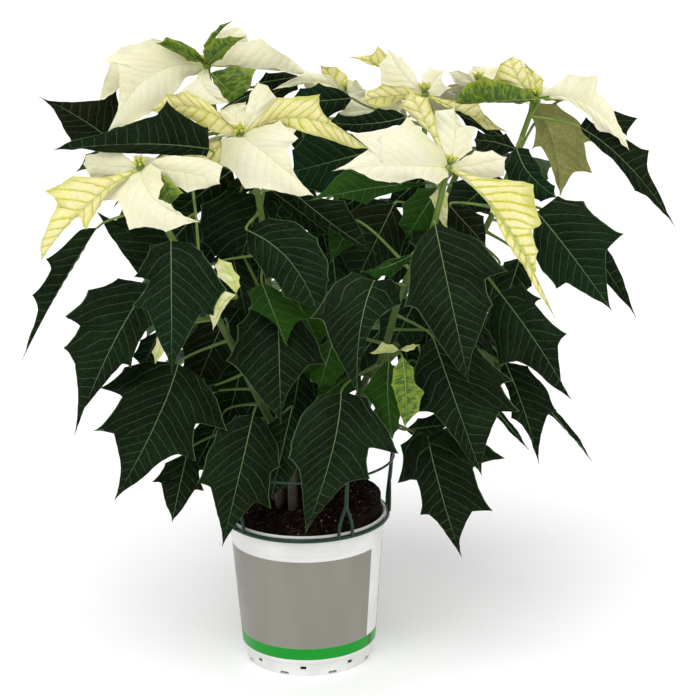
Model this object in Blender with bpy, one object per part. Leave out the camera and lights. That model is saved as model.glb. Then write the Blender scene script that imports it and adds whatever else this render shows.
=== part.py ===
"""A potted white poinsettia: pot, soil, green support, leafy stems, blooms and flower buds.

Z points up and the origin is under the middle of the pot's foot. Blades that face the viewer are
traced on a full-size front sheet: a spot is given as mm across and mm down from the sheet's upper
left corner, read by eye, with a depth in mm behind the pot's axis. Blades at the back are set by
heading, rise and droop. Each blade is moved a little in depth until it is clear of its neighbours.
"""

import math
import random

import bpy
from mathutils import Vector
from mathutils.bvhtree import BVHTree

MM = 0.001

# The front sheet, seen from two metres and a little above
SHEET_MIDDLE = 348.0
VIEW_DISTANCE = 2.0
VIEW_HEIGHT = 0.3254
VIEW_SIDE = 0.0445
VIEW_PITCH = math.radians(15.1)
VIEW_ROLL = math.radians(0.8)

# Pot
POT_SEGMENTS = 32
POT_RIM_RADIUS = 81.0 * MM
POT_HEIGHT = 155.7 * MM
POT_LIP_HEIGHT = 152.2 * MM
POT_HOLLOW_HEIGHT = 3.6 * MM
POT_FOOT_RADIUS = 64.0 * MM
POT_STEP_HEIGHT = 16.0 * MM
POT_STEP_RADIUS = 68.8 * MM
POT_SKIRT_HEIGHT = 132.0 * MM
POT_SKIRT_RADIUS = 77.6 * MM
POT_WALL = 1.6 * MM
POT_FLOOR_HEIGHT = 5.4 * MM
POT_PAD_RADIUS = 12.0 * MM
POT_NOTCHES = 8
POT_NOTCH_SIZE = (14.0 * MM, 9.0 * MM, 4.8 * MM)
POT_SLOT_SIZE = (9.0 * MM, 6.0 * MM, 3.4 * MM)
POT_SLOT_HEIGHT = 8.6 * MM
POT_SLOT_TURN = 18.0

# Soil
SOIL_GAP = 0.9 * MM
SOIL_SEAT = 0.4 * MM
SOIL_EDGE_HEIGHT = 150.0 * MM
SOIL_MOUND = 10.0 * MM
SOIL_TILT = 22.0 * MM
SOIL_LUMP = 1.6 * MM
SOIL_TOP_RADIUS = 76.0 * MM
SOIL_SEGMENTS = 20
STEM_RING_RADIUS = 30.0 * MM
STEM_FOOT_HEIGHT = 141.0 * MM
STEM_COLLAR_HEIGHT = 186.0 * MM
HOLE_FLOOR_HEIGHT = 140.2 * MM
HOLE_GAP = 1.3 * MM

# Support
RING_RADIUS = 83.1 * MM
RING_HEIGHT = 151.6 * MM
RING_WIDTH = 2.6 * MM
RING_THICKNESS = 3.0 * MM
UPRIGHT_HEADINGS = (28.0, 98.0, 168.0, 238.0, 308.0)
LEG_SPREAD = 5.2
LEG_RADIUS = 2.1 * MM
POST_RADIUS = 2.4 * MM
POST_FOOT_HEIGHT = 180.0 * MM
HOOP_HEIGHT = 214.0 * MM
HOOP_RADIUS = 89.5 * MM
HOOP_THICKNESS = 1.3 * MM

# Stems, blades and buds
BLADE_THICKNESS = 0.8 * MM
BLADE_CLEARANCE = 0.8 * MM
STEM_FOOT_RADIUS = 5.2 * MM
STEM_TOP_RADIUS = 2.7 * MM
STEM_SIDES = 5
PETIOLE_RADIUS = 1.5 * MM
PETIOLE_SIDES = 3
BUTTON_RADIUS = 4.5 * MM
BUTTON_GAP = 0.3 * MM
BUD_RADIUS = 2.7 * MM
BUD_LENGTH = 8.0 * MM
FOOT_NUDGE = 0.25 * MM
PETIOLE_LOWEST = 185.0 * MM
PETIOLE_SHORTEST = 26.0 * MM
SHARP_ANGLE = math.radians(40.0)

# Rear blades: how far a leaf stands off its stem, and the turns, tilts and sizes that are tried
REAR_LEAF_REACH = 42.0 * MM
REAR_LEAF_LIFT = 12.0 * MM
REAR_ROLL = math.radians(8.0)
TURNS = (0, 12, -12, 24, -24, 36, -36, 50, -50)
TILTS = (0, -12, 10, -24, 20, -36)
SCALES = (1.0, 0.86, 0.74)

# Widest points of a rear blade: share of its length, and half width as a share of its width
LEAF_SHAPE = ((0.14, 0.36), (0.38, 0.5), (0.56, 0.33), (0.72, 0.3))
BRACT_SHAPE = ((0.24, 0.32), (0.5, 0.46), (0.76, 0.26))

# Moves in depth that a traced blade tries in turn, in mm: foot, tip and, for bracts, the arch
LEAF_SHIFTS = (
    (0, 0), (6, 6), (-6, -6), (0, 10), (0, -10), (10, 0), (-10, 0), (12, 12), (-12, -12),
    (10, 20), (-10, -20), (18, 18), (-18, -18), (0, 20), (0, -20), (20, 0), (-20, 0), (25, 25),
    (-25, -25), (15, 35), (-15, -35), (34, 34), (-34, -34), (0, 34), (0, -34), (34, 0), (-34, 0),
    (45, 45), (-45, -45), (20, 50), (-20, -50), (56, 56), (-56, -56), (70, 70), (-70, -70),
)
BRACT_SHIFTS = (
    (0, 0), (0, 6), (0, -6), (0, 12), (0, -12), (0, 6, 6), (0, -6, -6), (0, 18), (0, -18),
    (0, 0, 8), (0, 0, -8), (0, 12, 8), (0, -12, -8), (0, 24), (0, -24), (0, 24, 10), (0, -24, -10),
    (0, 32), (0, -32), (0, 0, 14), (0, 0, -14), (0, 40), (0, -40), (0, 50, 10), (0, -50, -10),
)

# Colours
CREAM = (0.86, 0.83, 0.62, 1.0)
LEAF_GREEN = (0.018, 0.05, 0.016, 1.0)
BUD_GREEN = (0.45, 0.5, 0.06, 1.0)
POT_WHITE = (0.78, 0.78, 0.76, 1.0)
SOIL_BROWN = (0.02, 0.009, 0.005, 1.0)
SUPPORT_GREEN = (0.012, 0.13, 0.035, 1.0)

# Stems: heading of the foot on its ring, then spots (across, down, depth) up to the bloom
STEMS = {
    1: (264, ((277, 440, 14), (258, 300, 42), (228, 180, 64), (213, 105, 66), (207, 66, 60))),
    2: (298, ((281, 440, -18), (272, 330, -34), (262, 220, -48), (246, 160, -56), (241, 135, -60))),
    3: (334, ((286, 450, -38), (257, 395, -52), (224, 330, -64), (186, 262, -86), (158, 212, -102),
              (141, 168, -110))),
    4: (50, ((352, 440, -28), (384, 350, -50), (402, 290, -64), (430, 235, -84), (439, 205, -90),
             (448, 168, -90))),
    5: (88, ((352, 450, 2), (392, 330, 20), (415, 245, 36), (419, 195, 44), (424, 140, 50),
             (425, 95, 50))),
    6: (124, ((356, 450, 26), (420, 330, 34), (482, 235, 24), (517, 150, 14), (524, 126, 12),
              (536, 99, 10))),
    7: (196, ((308, 430, 44), (330, 250, 76), (342, 150, 92), (347, 93, 92))),
    8: (160, ((338, 440, 50), (400, 300, 100), (462, 160, 146), (478, 84, 150))),
    9: (230, ((280, 440, 54), (258, 330, 112), (250, 210, 164), (262, 138, 176))),
    10: (14, ((324, 470, -38), (344, 425, -52), (370, 390, -64), (388, 362, -76), (397, 344, -84))),
}
BLOOMS = (1, 2, 3, 4, 5, 6, 7, 8, 9)
FRONT_BLOOMS = (2, 3)
NEAR_BLOOMS = (1, 2, 3, 5, 6)

# Outline of the plant on the front sheet: hidden rear blades stay inside it
CANOPY = (
    (60, 106), (112, 104), (122, 66), (150, 46), (196, 48), (214, 44), (243, 46), (262, 68),
    (300, 80), (318, 76), (345, 80), (362, 90), (382, 90), (386, 66), (402, 66), (414, 78),
    (455, 84), (462, 106), (490, 134), (515, 150), (532, 168), (552, 192), (575, 202), (592, 214),
    (598, 230), (602, 252), (603, 284), (565, 280), (556, 284), (540, 268), (528, 285), (538, 300),
    (556, 332), (560, 378), (543, 384), (543, 410), (536, 446), (526, 422), (512, 415), (508, 397),
    (496, 412), (486, 440), (478, 460), (470, 500), (456, 540), (440, 525), (422, 510), (419, 478),
    (400, 474), (401, 450), (385, 447), (366, 444), (364, 474), (345, 478), (300, 482), (268, 496),
    (240, 512), (222, 536), (213, 500), (204, 486), (173, 514), (157, 480), (160, 464), (120, 494),
    (122, 465), (100, 428), (124, 400), (104, 390), (80, 408), (79, 365), (70, 346), (84, 325),
    (72, 315), (90, 292), (134, 280), (120, 246), (117, 224), (126, 226), (106, 198), (60, 236),
    (54, 200), (52, 190), (84, 174), (84, 156), (74, 138), (62, 112),
)
CANOPY_RIGHT = (
    (455, 84), (484, 76), (500, 64), (514, 58), (532, 68), (544, 82), (568, 76), (594, 77),
    (610, 106), (624, 146), (600, 134), (592, 130), (594, 140), (590, 172), (574, 176), (560, 194),
    (540, 170), (531, 128), (520, 104), (462, 102),
)


class Blade:
    """A leaf or bract: midrib and two edges, base to tip, as rows of points."""

    def __init__(self, kind, plant, base, mids, tip, left, right, splits):
        self.kind = kind
        self.plant = plant
        self.base = base
        self.mids = mids
        self.tip = tip
        self.left = left
        self.right = right
        self.splits = splits


def seen(across, down, depth):
    """World point that a spot on the front sheet shows at a depth."""
    over = (across - SHEET_MIDDLE) * MM / VIEW_DISTANCE
    rise = (SHEET_MIDDLE - down) * MM / VIEW_DISTANCE
    side = over * math.cos(VIEW_ROLL) + rise * math.sin(VIEW_ROLL)
    lift = rise * math.cos(VIEW_ROLL) - over * math.sin(VIEW_ROLL)
    forward = Vector((0.0, math.cos(VIEW_PITCH), -math.sin(VIEW_PITCH)))
    above = Vector((0.0, math.sin(VIEW_PITCH), math.cos(VIEW_PITCH)))
    eye = Vector((VIEW_SIDE, 0.0, VIEW_HEIGHT)) - forward * VIEW_DISTANCE
    ray = forward + Vector((side, 0.0, 0.0)) + above * lift
    return eye + ray * ((depth * MM - eye.y) / ray.y)


def shown(point):
    """Spot on the front sheet where a world point is seen."""
    forward = Vector((0.0, math.cos(VIEW_PITCH), -math.sin(VIEW_PITCH)))
    above = Vector((0.0, math.sin(VIEW_PITCH), math.cos(VIEW_PITCH)))
    eye = Vector((VIEW_SIDE, 0.0, VIEW_HEIGHT)) - forward * VIEW_DISTANCE
    away = point - eye
    far = away.dot(forward)
    side = away.x / far * VIEW_DISTANCE / MM
    lift = away.dot(above) / far * VIEW_DISTANCE / MM
    over = side * math.cos(VIEW_ROLL) - lift * math.sin(VIEW_ROLL)
    rise = side * math.sin(VIEW_ROLL) + lift * math.cos(VIEW_ROLL)
    return (SHEET_MIDDLE + over, SHEET_MIDDLE - rise)


def inside(outline, spot):
    """Whether a spot on the sheet lies within an outline."""
    within = False
    before = outline[-1]
    for corner in outline:
        if (corner[1] > spot[1]) != (before[1] > spot[1]):
            cut = (before[0] - corner[0]) * (spot[1] - corner[1]) / (before[1] - corner[1])
            if spot[0] < cut + corner[0]:
                within = not within
        before = corner
    return within


def curve_spot(base, via, tip, share):
    """Point at a share of a bowed line that passes the via point at its middle."""
    rest = 1.0 - share
    bow = tuple(2.0 * v - 0.5 * (b + t) for b, v, t in zip(base, via, tip))
    return tuple(
        rest * rest * b + 2.0 * rest * share * c + share * share * t
        for b, c, t in zip(base, bow, tip)
    )


def nearest_share(base, via, tip, spot):
    """Share along the midrib nearest a spot, and the distance there."""
    best = (1e9, 0.0)
    for step in range(51):
        share = step / 50.0
        place = curve_spot(base, via, tip, share)
        reach = math.hypot(place[0] - spot[0], place[1] - spot[1])
        best = min(best, (reach, share))
    return best[1], best[0]


def turn(a, b, c):
    """Twice the signed area of a triangle on the sheet, positive when it runs anticlockwise."""
    return (b[1] - a[1]) * (c[0] - a[0]) - (b[0] - a[0]) * (c[1] - a[1])


def quad_split(rim_a, rim_b, mid_a, mid_b, left_side):
    """Which way to split one quad of a blade so that neither half folds over."""
    sign = 1.0 if left_side else -1.0
    first = min(sign * turn(rim_a, rim_b, mid_a), sign * turn(rim_b, mid_b, mid_a))
    second = min(sign * turn(rim_a, rim_b, mid_b), sign * turn(rim_a, mid_b, mid_a))
    return 0 if first >= second else 1


def lay_traced(row, base_shift, tip_shift, bow_shift=0.0):
    """Blade from its traced outline, moved in depth along the lines of sight."""
    kind, plant, base, tip, via, depths, left, right = row
    via = via or tuple(0.5 * (b + t) for b, t in zip(base, tip))
    loop = [base, *left, tip, *reversed(right)]
    area = sum(turn((0, 0), loop[i - 1], loop[i]) for i in range(len(loop)))
    if area < 0.0:
        left, right = right, left
    start = depths[0] + base_shift
    change = depths[1] + tip_shift - start
    arch = depths[2] + bow_shift
    fold = depths[3]

    def depth_at(share):
        return start + change * share + arch * 4.0 * share * (1.0 - share)

    def edge_point(spot, order):
        share, reach = nearest_share(base, via, tip, spot)
        wave = 1.5 if order % 2 else -1.0
        extra = spot[2] if len(spot) > 2 else 0.0
        return seen(spot[0], spot[1], depth_at(share) + fold * reach + wave + extra)

    length = math.hypot(tip[0] - base[0], tip[1] - base[1])
    shares = []
    for order, (one, two) in enumerate(zip(left, right)):
        share_one, reach_one = nearest_share(base, via, tip, one)
        share_two, reach_two = nearest_share(base, via, tip, two)
        share = 0.5 * (share_one + share_two) - 0.16 * (reach_one + reach_two) / length
        floor = shares[-1] + 0.05 if shares else 0.06
        shares.append(max(floor, min(share, 0.95 - 0.05 * (len(left) - 1 - order))))
    spots = [curve_spot(base, via, tip, share) for share in shares]
    mids = [seen(p[0], p[1], depth_at(share)) for p, share in zip(spots, shares)]
    splits = []
    for i in range(len(left) - 1):
        splits.append((
            quad_split(left[i], left[i + 1], spots[i], spots[i + 1], True),
            quad_split(right[i], right[i + 1], spots[i], spots[i + 1], False),
        ))
    return Blade(
        kind, plant,
        seen(base[0], base[1], depth_at(0.0)), mids, seen(tip[0], tip[1], depth_at(1.0)),
        [edge_point(spot, order) for order, spot in enumerate(left)],
        [edge_point(spot, order) for order, spot in enumerate(right)],
        splits,
    )


def lay_turned(kind, plant, base, heading, rise, droop, length, width, roll):
    """Blade set by its heading, its rise at the base and its droop at the tip."""
    shape = BRACT_SHAPE if kind == "cream" else LEAF_SHAPE
    way = Vector((math.sin(heading), -math.cos(heading), 0.0))
    side = Vector((math.cos(heading), math.sin(heading), 0.0))
    up = Vector((0.0, 0.0, 1.0))

    def midrib(share):
        pitch = rise + (droop - rise) * share * 0.5
        return base + (way * math.cos(pitch) + up * math.sin(pitch)) * (length * share)

    def across(share):
        pitch = rise + (droop - rise) * share
        normal = up * math.cos(pitch) - way * math.sin(pitch)
        return side * math.cos(roll) + normal * math.sin(roll)

    def edge(share, half, hand):
        pitch = rise + (droop - rise) * share
        normal = up * math.cos(pitch) - way * math.sin(pitch)
        return midrib(share) + across(share) * (hand * half * width) + normal * (0.1 * half * width)

    mids = [midrib(max(0.05, share - 0.1)) for share, half in shape]
    left = [edge(share, half, 1.0) for share, half in shape]
    right = [edge(share, half, -1.0) for share, half in shape]
    splits = [(0, 0)] * (len(shape) - 1)
    return Blade(kind, plant, base, mids, midrib(1.0), left, right, splits)


def blade_faces(blade):
    """Upper-face triangles of a blade and its edge loop, by point number."""
    count = len(blade.mids)
    mid = [1 + i for i in range(count)]
    left = [1 + count + i for i in range(count)]
    right = [1 + 2 * count + i for i in range(count)]
    tip = 1 + 3 * count
    faces = [(0, left[0], mid[0]), (0, mid[0], right[0])]
    for i in range(count - 1):
        if blade.splits[i][0] == 0:
            faces += [(left[i], left[i + 1], mid[i]), (left[i + 1], mid[i + 1], mid[i])]
        else:
            faces += [(left[i], left[i + 1], mid[i + 1]), (left[i], mid[i + 1], mid[i])]
        if blade.splits[i][1] == 0:
            faces += [(mid[i], mid[i + 1], right[i + 1]), (mid[i], right[i + 1], right[i])]
        else:
            faces += [(mid[i], mid[i + 1], right[i]), (mid[i + 1], right[i + 1], right[i])]
    faces += [(left[-1], tip, mid[-1]), (mid[-1], tip, right[-1])]
    loop = [0, *left, tip, *reversed(right)]
    return faces, loop


def blade_solid(blade, thickness, skip_base=False):
    """Points and triangles of a blade as a thin solid, thick evenly about its middle."""
    points = [blade.base, *blade.mids, *blade.left, *blade.right, blade.tip]
    faces, loop = blade_faces(blade)
    if skip_base:
        faces = faces[2:]
        count = len(blade.mids)
        loop = [1 + count, *loop[2:-1], 1 + 2 * count, 1]
    normals = [Vector() for _ in points]
    for a, b, c in faces:
        normal = (points[b] - points[a]).cross(points[c] - points[a])
        for corner in (a, b, c):
            normals[corner] += normal
    half = 0.5 * thickness
    upper = []
    lower = []
    for point, normal in zip(points, normals):
        step = normal.normalized() * half if normal.length else Vector((0.0, 0.0, half))
        upper.append(point + step)
        lower.append(point - step)
    size = len(points)
    solid = [tuple(face) for face in faces]
    solid += [(c + size, b + size, a + size) for a, b, c in faces]
    for i, start in enumerate(loop):
        end = loop[(i + 1) % len(loop)]
        solid.append((start + size, end + size, end))
        solid.append((start + size, end, start))
    return upper + lower, solid


def stalk_end(blade):
    """Unit vectors at a leaf's foot: along the midrib, to its left and out of its upper face."""
    into = (blade.mids[0] - blade.base).normalized()
    left = blade.left[0] - blade.base
    left = left - into * left.dot(into)
    if left.length < 1.0 * MM:
        left = blade.left[0] - blade.right[0]
        left = left - into * left.dot(into)
    left.normalize()
    return into, left, left.cross(into)


def leaf_solid(blade, route):
    """A leaf and its stalk as one closed skin: the stalk's last ring is the foot of the blade."""
    points, faces = blade_solid(blade, BLADE_THICKNESS)
    size = len(points) // 2
    count = len(blade.mids)
    left = 1 + count
    right = 1 + 2 * count
    into, side, up = stalk_end(blade)
    rings = []
    for i in range(len(route) - 1, -1, -1):
        if i < len(route) - 1:
            ahead = (route[i + 1] - route[max(i - 1, 0)]).normalized()
            side = (side - ahead * side.dot(ahead)).normalized()
            up = side.cross(ahead)
        reach = PETIOLE_RADIUS * (0.8 if i == len(route) - 1 else 1.0)
        low = -0.5 * up
        wide = 0.87 * side
        rings.insert(0, [route[i] + way * reach for way in (up, low + wide, low - wide)])
    solid = [face for face in faces if 0 not in face and size not in face]
    first = len(points)
    for ring in rings:
        points.extend(ring)
    top, low_left, low_right = (first + 3 * (len(rings) - 1) + k for k in range(3))
    solid += [
        (top, left, 1), (top, 1, right),
        (low_left, 1 + size, left + size), (low_left, low_right, 1 + size),
        (low_right, right + size, 1 + size), (low_left, left + size, left), (low_left, left, top),
        (low_right, top, right), (low_right, right, right + size),
    ]
    for i in range(len(rings) - 1):
        for k in range(3):
            a = first + 3 * i + k
            b = first + 3 * i + (k + 1) % 3
            solid += [(a, b, b + 3), (a, b + 3, a + 3)]
    solid.append((first, first + 2, first + 1))
    spare = (0, size)
    order = [i for i in range(len(points)) if i not in spare]
    renumber = {old: new for new, old in enumerate(order)}
    points = [points[i] for i in order]
    return points, [tuple(renumber[corner] for corner in face) for face in solid]


def frame_along(path):
    """Side vectors that turn as little as possible along a path."""
    frames = []
    side = None
    for i, point in enumerate(path):
        ahead = path[min(i + 1, len(path) - 1)] - path[max(i - 1, 0)]
        ahead.normalize()
        if side is None:
            side = ahead.cross(Vector((0.31, 0.87, 0.37))).normalized()
        side = (side - ahead * side.dot(ahead)).normalized()
        frames.append((side, ahead.cross(side).normalized()))
    return frames


def tube(path, radii, sides, turn_by=0.0):
    """Points and triangles of a round bar along a path."""
    points = []
    faces = []
    for (side, other), point, radius in zip(frame_along(path), path, radii):
        for k in range(sides):
            angle = 2.0 * math.pi * k / sides + turn_by
            points.append(point + side * (math.cos(angle) * radius) + other * (math.sin(angle) * radius))
    for i in range(len(path) - 1):
        for k in range(sides):
            a = i * sides + k
            b = i * sides + (k + 1) % sides
            faces += [(a, b, b + sides), (a, b + sides, a + sides)]
    last = (len(path) - 1) * sides
    for k in range(1, sides - 1):
        faces.append((0, k + 1, k))
        faces.append((last, last + k, last + k + 1))
    return points, faces


def smooth_path(spots, steps):
    """Points of a smooth curve through the given points."""
    padded = [spots[0] * 2.0 - spots[1], *spots, spots[-1] * 2.0 - spots[-2]]
    path = []
    for i in range(1, len(padded) - 2):
        p0, p1, p2, p3 = padded[i - 1:i + 3]
        for k in range(steps):
            t = k / steps
            path.append(0.5 * (
                p1 * 2.0 + (p2 - p0) * t + (p0 * 2.0 - p1 * 5.0 + p2 * 4.0 - p3) * (t * t)
                + (p1 * 3.0 - p0 - p2 * 3.0 + p3) * (t * t * t)
            ))
    path.append(spots[-1].copy())
    return path


def plain_path(path, slack):
    """The path without the points that lie nearly on the line between their neighbours."""
    kept = [path[0]]
    for i in range(1, len(path) - 1):
        way = path[i + 1] - kept[-1]
        off = path[i] - kept[-1]
        if (off - way * (off.dot(way) / way.dot(way))).length > slack:
            kept.append(path[i])
    kept.append(path[-1])
    return kept


def point_along(path, share):
    """Point at a share of a path's length."""
    left = share * sum((b - a).length for a, b in zip(path, path[1:]))
    for a, b in zip(path, path[1:]):
        step = (b - a).length
        if left <= step:
            return a.lerp(b, left / step)
        left -= step
    return path[-1].copy()


def heading_point(heading, radius, height):
    """Point at a heading in degrees, from the front round towards +X."""
    angle = math.radians(heading)
    return Vector((math.sin(angle) * radius, -math.cos(angle) * radius, height))


def smoothstep(value):
    value = max(0.0, min(1.0, value))
    return value * value * (3.0 - 2.0 * value)


def soil_height(x, y):
    """Height of the soil's top, highest towards the back right."""
    edge = min(1.0, math.hypot(x, y) / SOIL_TOP_RADIUS)
    tilt = smoothstep(0.5 + 0.5 * (0.8 * x + 0.6 * y) / SOIL_TOP_RADIUS)
    return SOIL_EDGE_HEIGHT + SOIL_MOUND * (1.0 - edge ** 4) + SOIL_TILT * tilt


def stem_path(number):
    """Centre line of a stem, from its hole in the soil to just under its bloom."""
    heading, spots = STEMS[number]
    foot = heading_point(heading, STEM_RING_RADIUS, STEM_FOOT_HEIGHT)
    collar = heading_point(heading, STEM_RING_RADIUS, STEM_COLLAR_HEIGHT)
    knee = heading_point(heading, STEM_RING_RADIUS, STEM_COLLAR_HEIGHT + 20.0 * MM)
    points = [foot, collar, knee] + [seen(*spot) for spot in spots]
    if number in BLOOMS:
        back = (points[-2] - points[-1]).normalized()
        points[-1] = points[-1] + back * (BUTTON_RADIUS * 0.85 + BUTTON_GAP)
    path = smooth_path(points, 2)
    return [path[0], *plain_path(path[2:], 1.2 * MM)]


def stem_radii(path):
    last = len(path) - 1
    return [STEM_FOOT_RADIUS + (STEM_TOP_RADIUS - STEM_FOOT_RADIUS) * i / last for i in range(last + 1)]


def bloom_centre(number):
    return seen(*STEMS[number][1][-1])


def bloom_facing(number):
    """Direction in which a bloom looks."""
    if number in FRONT_BLOOMS:
        return Vector((-0.1, -0.62, 0.78)).normalized()
    if number == 4:
        return Vector((0.3, 0.1, 0.95)).normalized()
    if number in (8, 9):
        return Vector((0.0, 0.35, 0.94)).normalized()
    return Vector((0.0, -0.3, 0.95)).normalized()


TRACED = []


def trace(kind, plant, base, tip, via, depths, left, right):
    """Note a blade traced on the front sheet: depths are base, tip, arch and fold."""
    TRACED.append((kind, plant, base, tip, via, depths, tuple(left), tuple(right)))


# Green leaves of the left side
trace("leaf", 3, (171, 241), (172, 373), None, (-146, -176, -8, 0.1),
      [(150, 246), (144, 262), (134, 277), (149, 281), (132, 306), (147, 310), (158, 338)],
      [(192, 243), (203, 252), (213, 268), (227, 290), (214, 316), (200, 315), (184, 344)])
trace("leaf", 3, (150, 284), (74, 436), (112, 346), (-92, -118, -6, 0.08),
      [(118, 278), (88, 290), (65, 316), (80, 326), (63, 348), (75, 364), (78, 400)],
      [(160, 302), (154, 325), (139, 342), (131, 368), (122, 364), (103, 386), (84, 410)])
trace("leaf", 3, (178, 364), (114, 501), (155, 425), (-66, -108, -8, 0.06),
      [(150, 361), (124, 367), (100, 388), (122, 397), (94, 431), (113, 433), (121, 468)],
      [(203, 378), (216, 398), (228, 431), (196, 424), (196, 461), (178, 454), (140, 480)])
trace("leaf", 2, (253, 415), (222, 547), (241, 468), (-80, -104, -6, 0.08),
      [(236, 415), (216, 430), (207, 455), (197, 483), (210, 487), (215, 506), (221, 528)],
      [(264, 421), (277, 445), (281, 467), (271, 473), (271, 508), (256, 501), (235, 526)])
trace("leaf", 3, (187, 453), (172, 522), None, (-50, -62, -4, 0.1),
      [(165, 463), (152, 482), (161, 483), (166, 504)],
      [(200, 468), (204, 491), (195, 490), (183, 508)])
trace("leaf", 3, (97, 228), (22, 360), (60, 288), (-64, -88, -6, 0.0),
      [(80, 230), (46, 259), (51, 270), (32, 295), (38, 310), (30, 338)],
      [(91, 233, 12), (77, 256, 18), (64, 276, 18), (51, 298, 14), (41, 314, 10), (31, 336, 5)])
trace("leaf", 2, (278, 312), (281, 424), None, (-62, -104, -8, 0.06),
      [(250, 309), (237, 326), (226, 361), (240, 372), (262, 400)],
      [(303, 318), (316, 340), (326, 364), (308, 366), (287, 394)])
trace("leaf", 2, (247, 230), (317, 311), (290, 261), (-84, -128, -6, 0.06),
      [(247, 253), (259, 264), (265, 280), (273, 278), (284, 297), (298, 302)],
      [(268, 217), (295, 222), (318, 238), (328, 262), (329, 280), (325, 297)])
trace("leaf", 3, (196, 214), (139, 278), None, (-56, -72, 0, 0.1),
      [(160, 203), (123, 204), (116, 220), (97, 212), (110, 236), (120, 250)],
      [(204, 236), (198, 256), (180, 272), (165, 279), (154, 280), (145, 280)])
trace("leaf", 2, (262, 196), (241, 257), None, (-14, -40, -4, 0.1),
      [(226, 190), (200, 205), (193, 236), (214, 256)],
      [(282, 205), (276, 226), (262, 242), (250, 250)])
trace("leaf", 2, (262, 283), (287, 347), None, (-74, -92, -4, 0.1),
      [(247, 291), (251, 309), (272, 321), (280, 330)],
      [(281, 292), (297, 306), (313, 318), (295, 324)])
trace("leaf", 3, (209, 149), (53, 150), (140, 144), (-78, -128, -6, 0.06),
      [(208, 127), (190, 119), (167, 100), (158, 114), (140, 120), (107, 132), (72, 141)],
      [(207, 157), (180, 155), (150, 154), (122, 153), (103, 152), (86, 150), (70, 150)])
trace("leaf", 1, (118, 146), (39, 97), (80, 118), (66, 40, -4, 0.1),
      [(122, 122), (116, 85), (104, 99), (76, 102), (56, 101)],
      [(95, 145), (71, 142), (65, 131), (58, 117), (48, 104)])
trace("young", 3, (164, 334), (155, 364), None, (-84, -90, 0, 0.1),
      [(156, 338), (152, 352)],
      [(171, 342), (163, 354)])
trace("leaf", 3, (160, 330), (142, 370), None, (-40, -52, 0, 0.1),
      [(140, 340), (132, 356)],
      [(166, 346), (158, 362)])
trace("young", 3, (236, 295), (213, 330), (222, 305), (-112, -118, -2, 0.0),
      [(222, 290), (206, 290), (209, 312)],
      [(234, 297), (226, 305), (219, 318)])
trace("young", 3, (236, 293), (218, 258), (232, 276), (-110, -100, -2, 0.0),
      [(229, 286), (218, 277), (214, 266)],
      [(240, 286), (240, 277), (231, 263)])

# Green leaves of the middle
trace("leaf", 4, (374, 281), (357, 396), (360, 330), (-122, -162, -8, 0.06),
      [(352, 271), (334, 284), (310, 318), (323, 321), (332, 346), (345, 370)],
      [(392, 279), (402, 287), (402, 304), (387, 311), (374, 325), (363, 354)])
trace("leaf", 4, (341, 392), (305, 534), (332, 452), (-104, -142, -8, 0.06),
      [(318, 396), (302, 415), (292, 440), (288, 458), (299, 470), (302, 490), (304, 512)],
      [(368, 398), (388, 430), (399, 454), (369, 448), (370, 479), (347, 482), (324, 507)])
trace("leaf", 4, (433, 182), (308, 201), (372, 188), (-66, -96, -4, 0.12),
      [(405, 184), (385, 182), (362, 175), (347, 168), (335, 178), (324, 191)],
      [(412, 187), (394, 193), (378, 197), (366, 204), (346, 199), (326, 197)])
trace("leaf", 2, (291, 190), (377, 254), (335, 226), (-40, -66, -4, 0.1),
      [(318, 197), (345, 200), (353, 216), (358, 224), (366, 242)],
      [(300, 212), (318, 222), (334, 231), (346, 240), (360, 250)])
trace("leaf", 4, (352, 222), (330, 263), None, (-34, -40, 0, 0.1),
      [(334, 219), (327, 226), (329, 245)],
      [(366, 232), (354, 243), (341, 252)])
trace("young", 4, (412, 254), (360, 272), (388, 266), (-94, -100, -2, 0.1),
      [(400, 257), (386, 261), (374, 269)],
      [(408, 264), (391, 277), (375, 278)])
trace("young", 10, (399, 350), (370, 353), None, (-84, -92, 0, 0.1),
      [(392, 344), (382, 342)],
      [(392, 352), (382, 353)])
trace("young", 10, (400, 350), (420, 345), None, (-84, -90, 0, 0.1),
      [(407, 346), (413, 344)],
      [(407, 352), (414, 350)])
trace("leaf", 10, (389, 360), (393, 440), (388, 400), (-92, -104, -4, 0.1),
      [(374, 374), (361, 392), (369, 400), (382, 427)],
      [(398, 374), (401, 392), (402, 408), (400, 428)])
trace("fleck", 10, (402, 356), (405, 428), (406, 392), (-112, -118, -4, 0.0),
      [(393, 369), (391, 385), (396, 398), (400, 414)],
      [(413, 368), (415, 384), (424, 392), (419, 412)])
trace("leaf", 4, (334, 338), (319, 388), None, (-66, -80, 0, 0.1),
      [(318, 346), (306, 362), (310, 380)],
      [(348, 348), (350, 368), (334, 384)])
trace("leaf", 5, (352, 98), (284, 104), None, (20, -8, -4, 0.1),
      [(338, 89), (318, 83), (300, 88)],
      [(344, 110), (328, 119), (304, 117)])
trace("leaf", 5, (406, 117), (326, 122), (366, 124), (8, -22, -4, 0.1),
      [(395, 110), (378, 108), (355, 116), (338, 113)],
      [(402, 126), (382, 129), (360, 133), (340, 131)])
trace("leaf", 5, (376, 150), (292, 172), None, (-18, -40, 0, 0.1),
      [(362, 136), (338, 130), (306, 132), (292, 150)],
      [(368, 170), (345, 186), (322, 194), (302, 190)])
trace("leaf", 9, (258, 83), (301, 76), None, (110, 100, 0, 0.1),
      [(266, 72), (285, 72)],
      [(268, 86), (286, 84)])
trace("fleck", 1, (211, 73), (238, 100), None, (48, 36, -4, 0.1),
      [(214, 86), (221, 97), (230, 104)],
      [(234, 65), (256, 69), (250, 88)])
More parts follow.
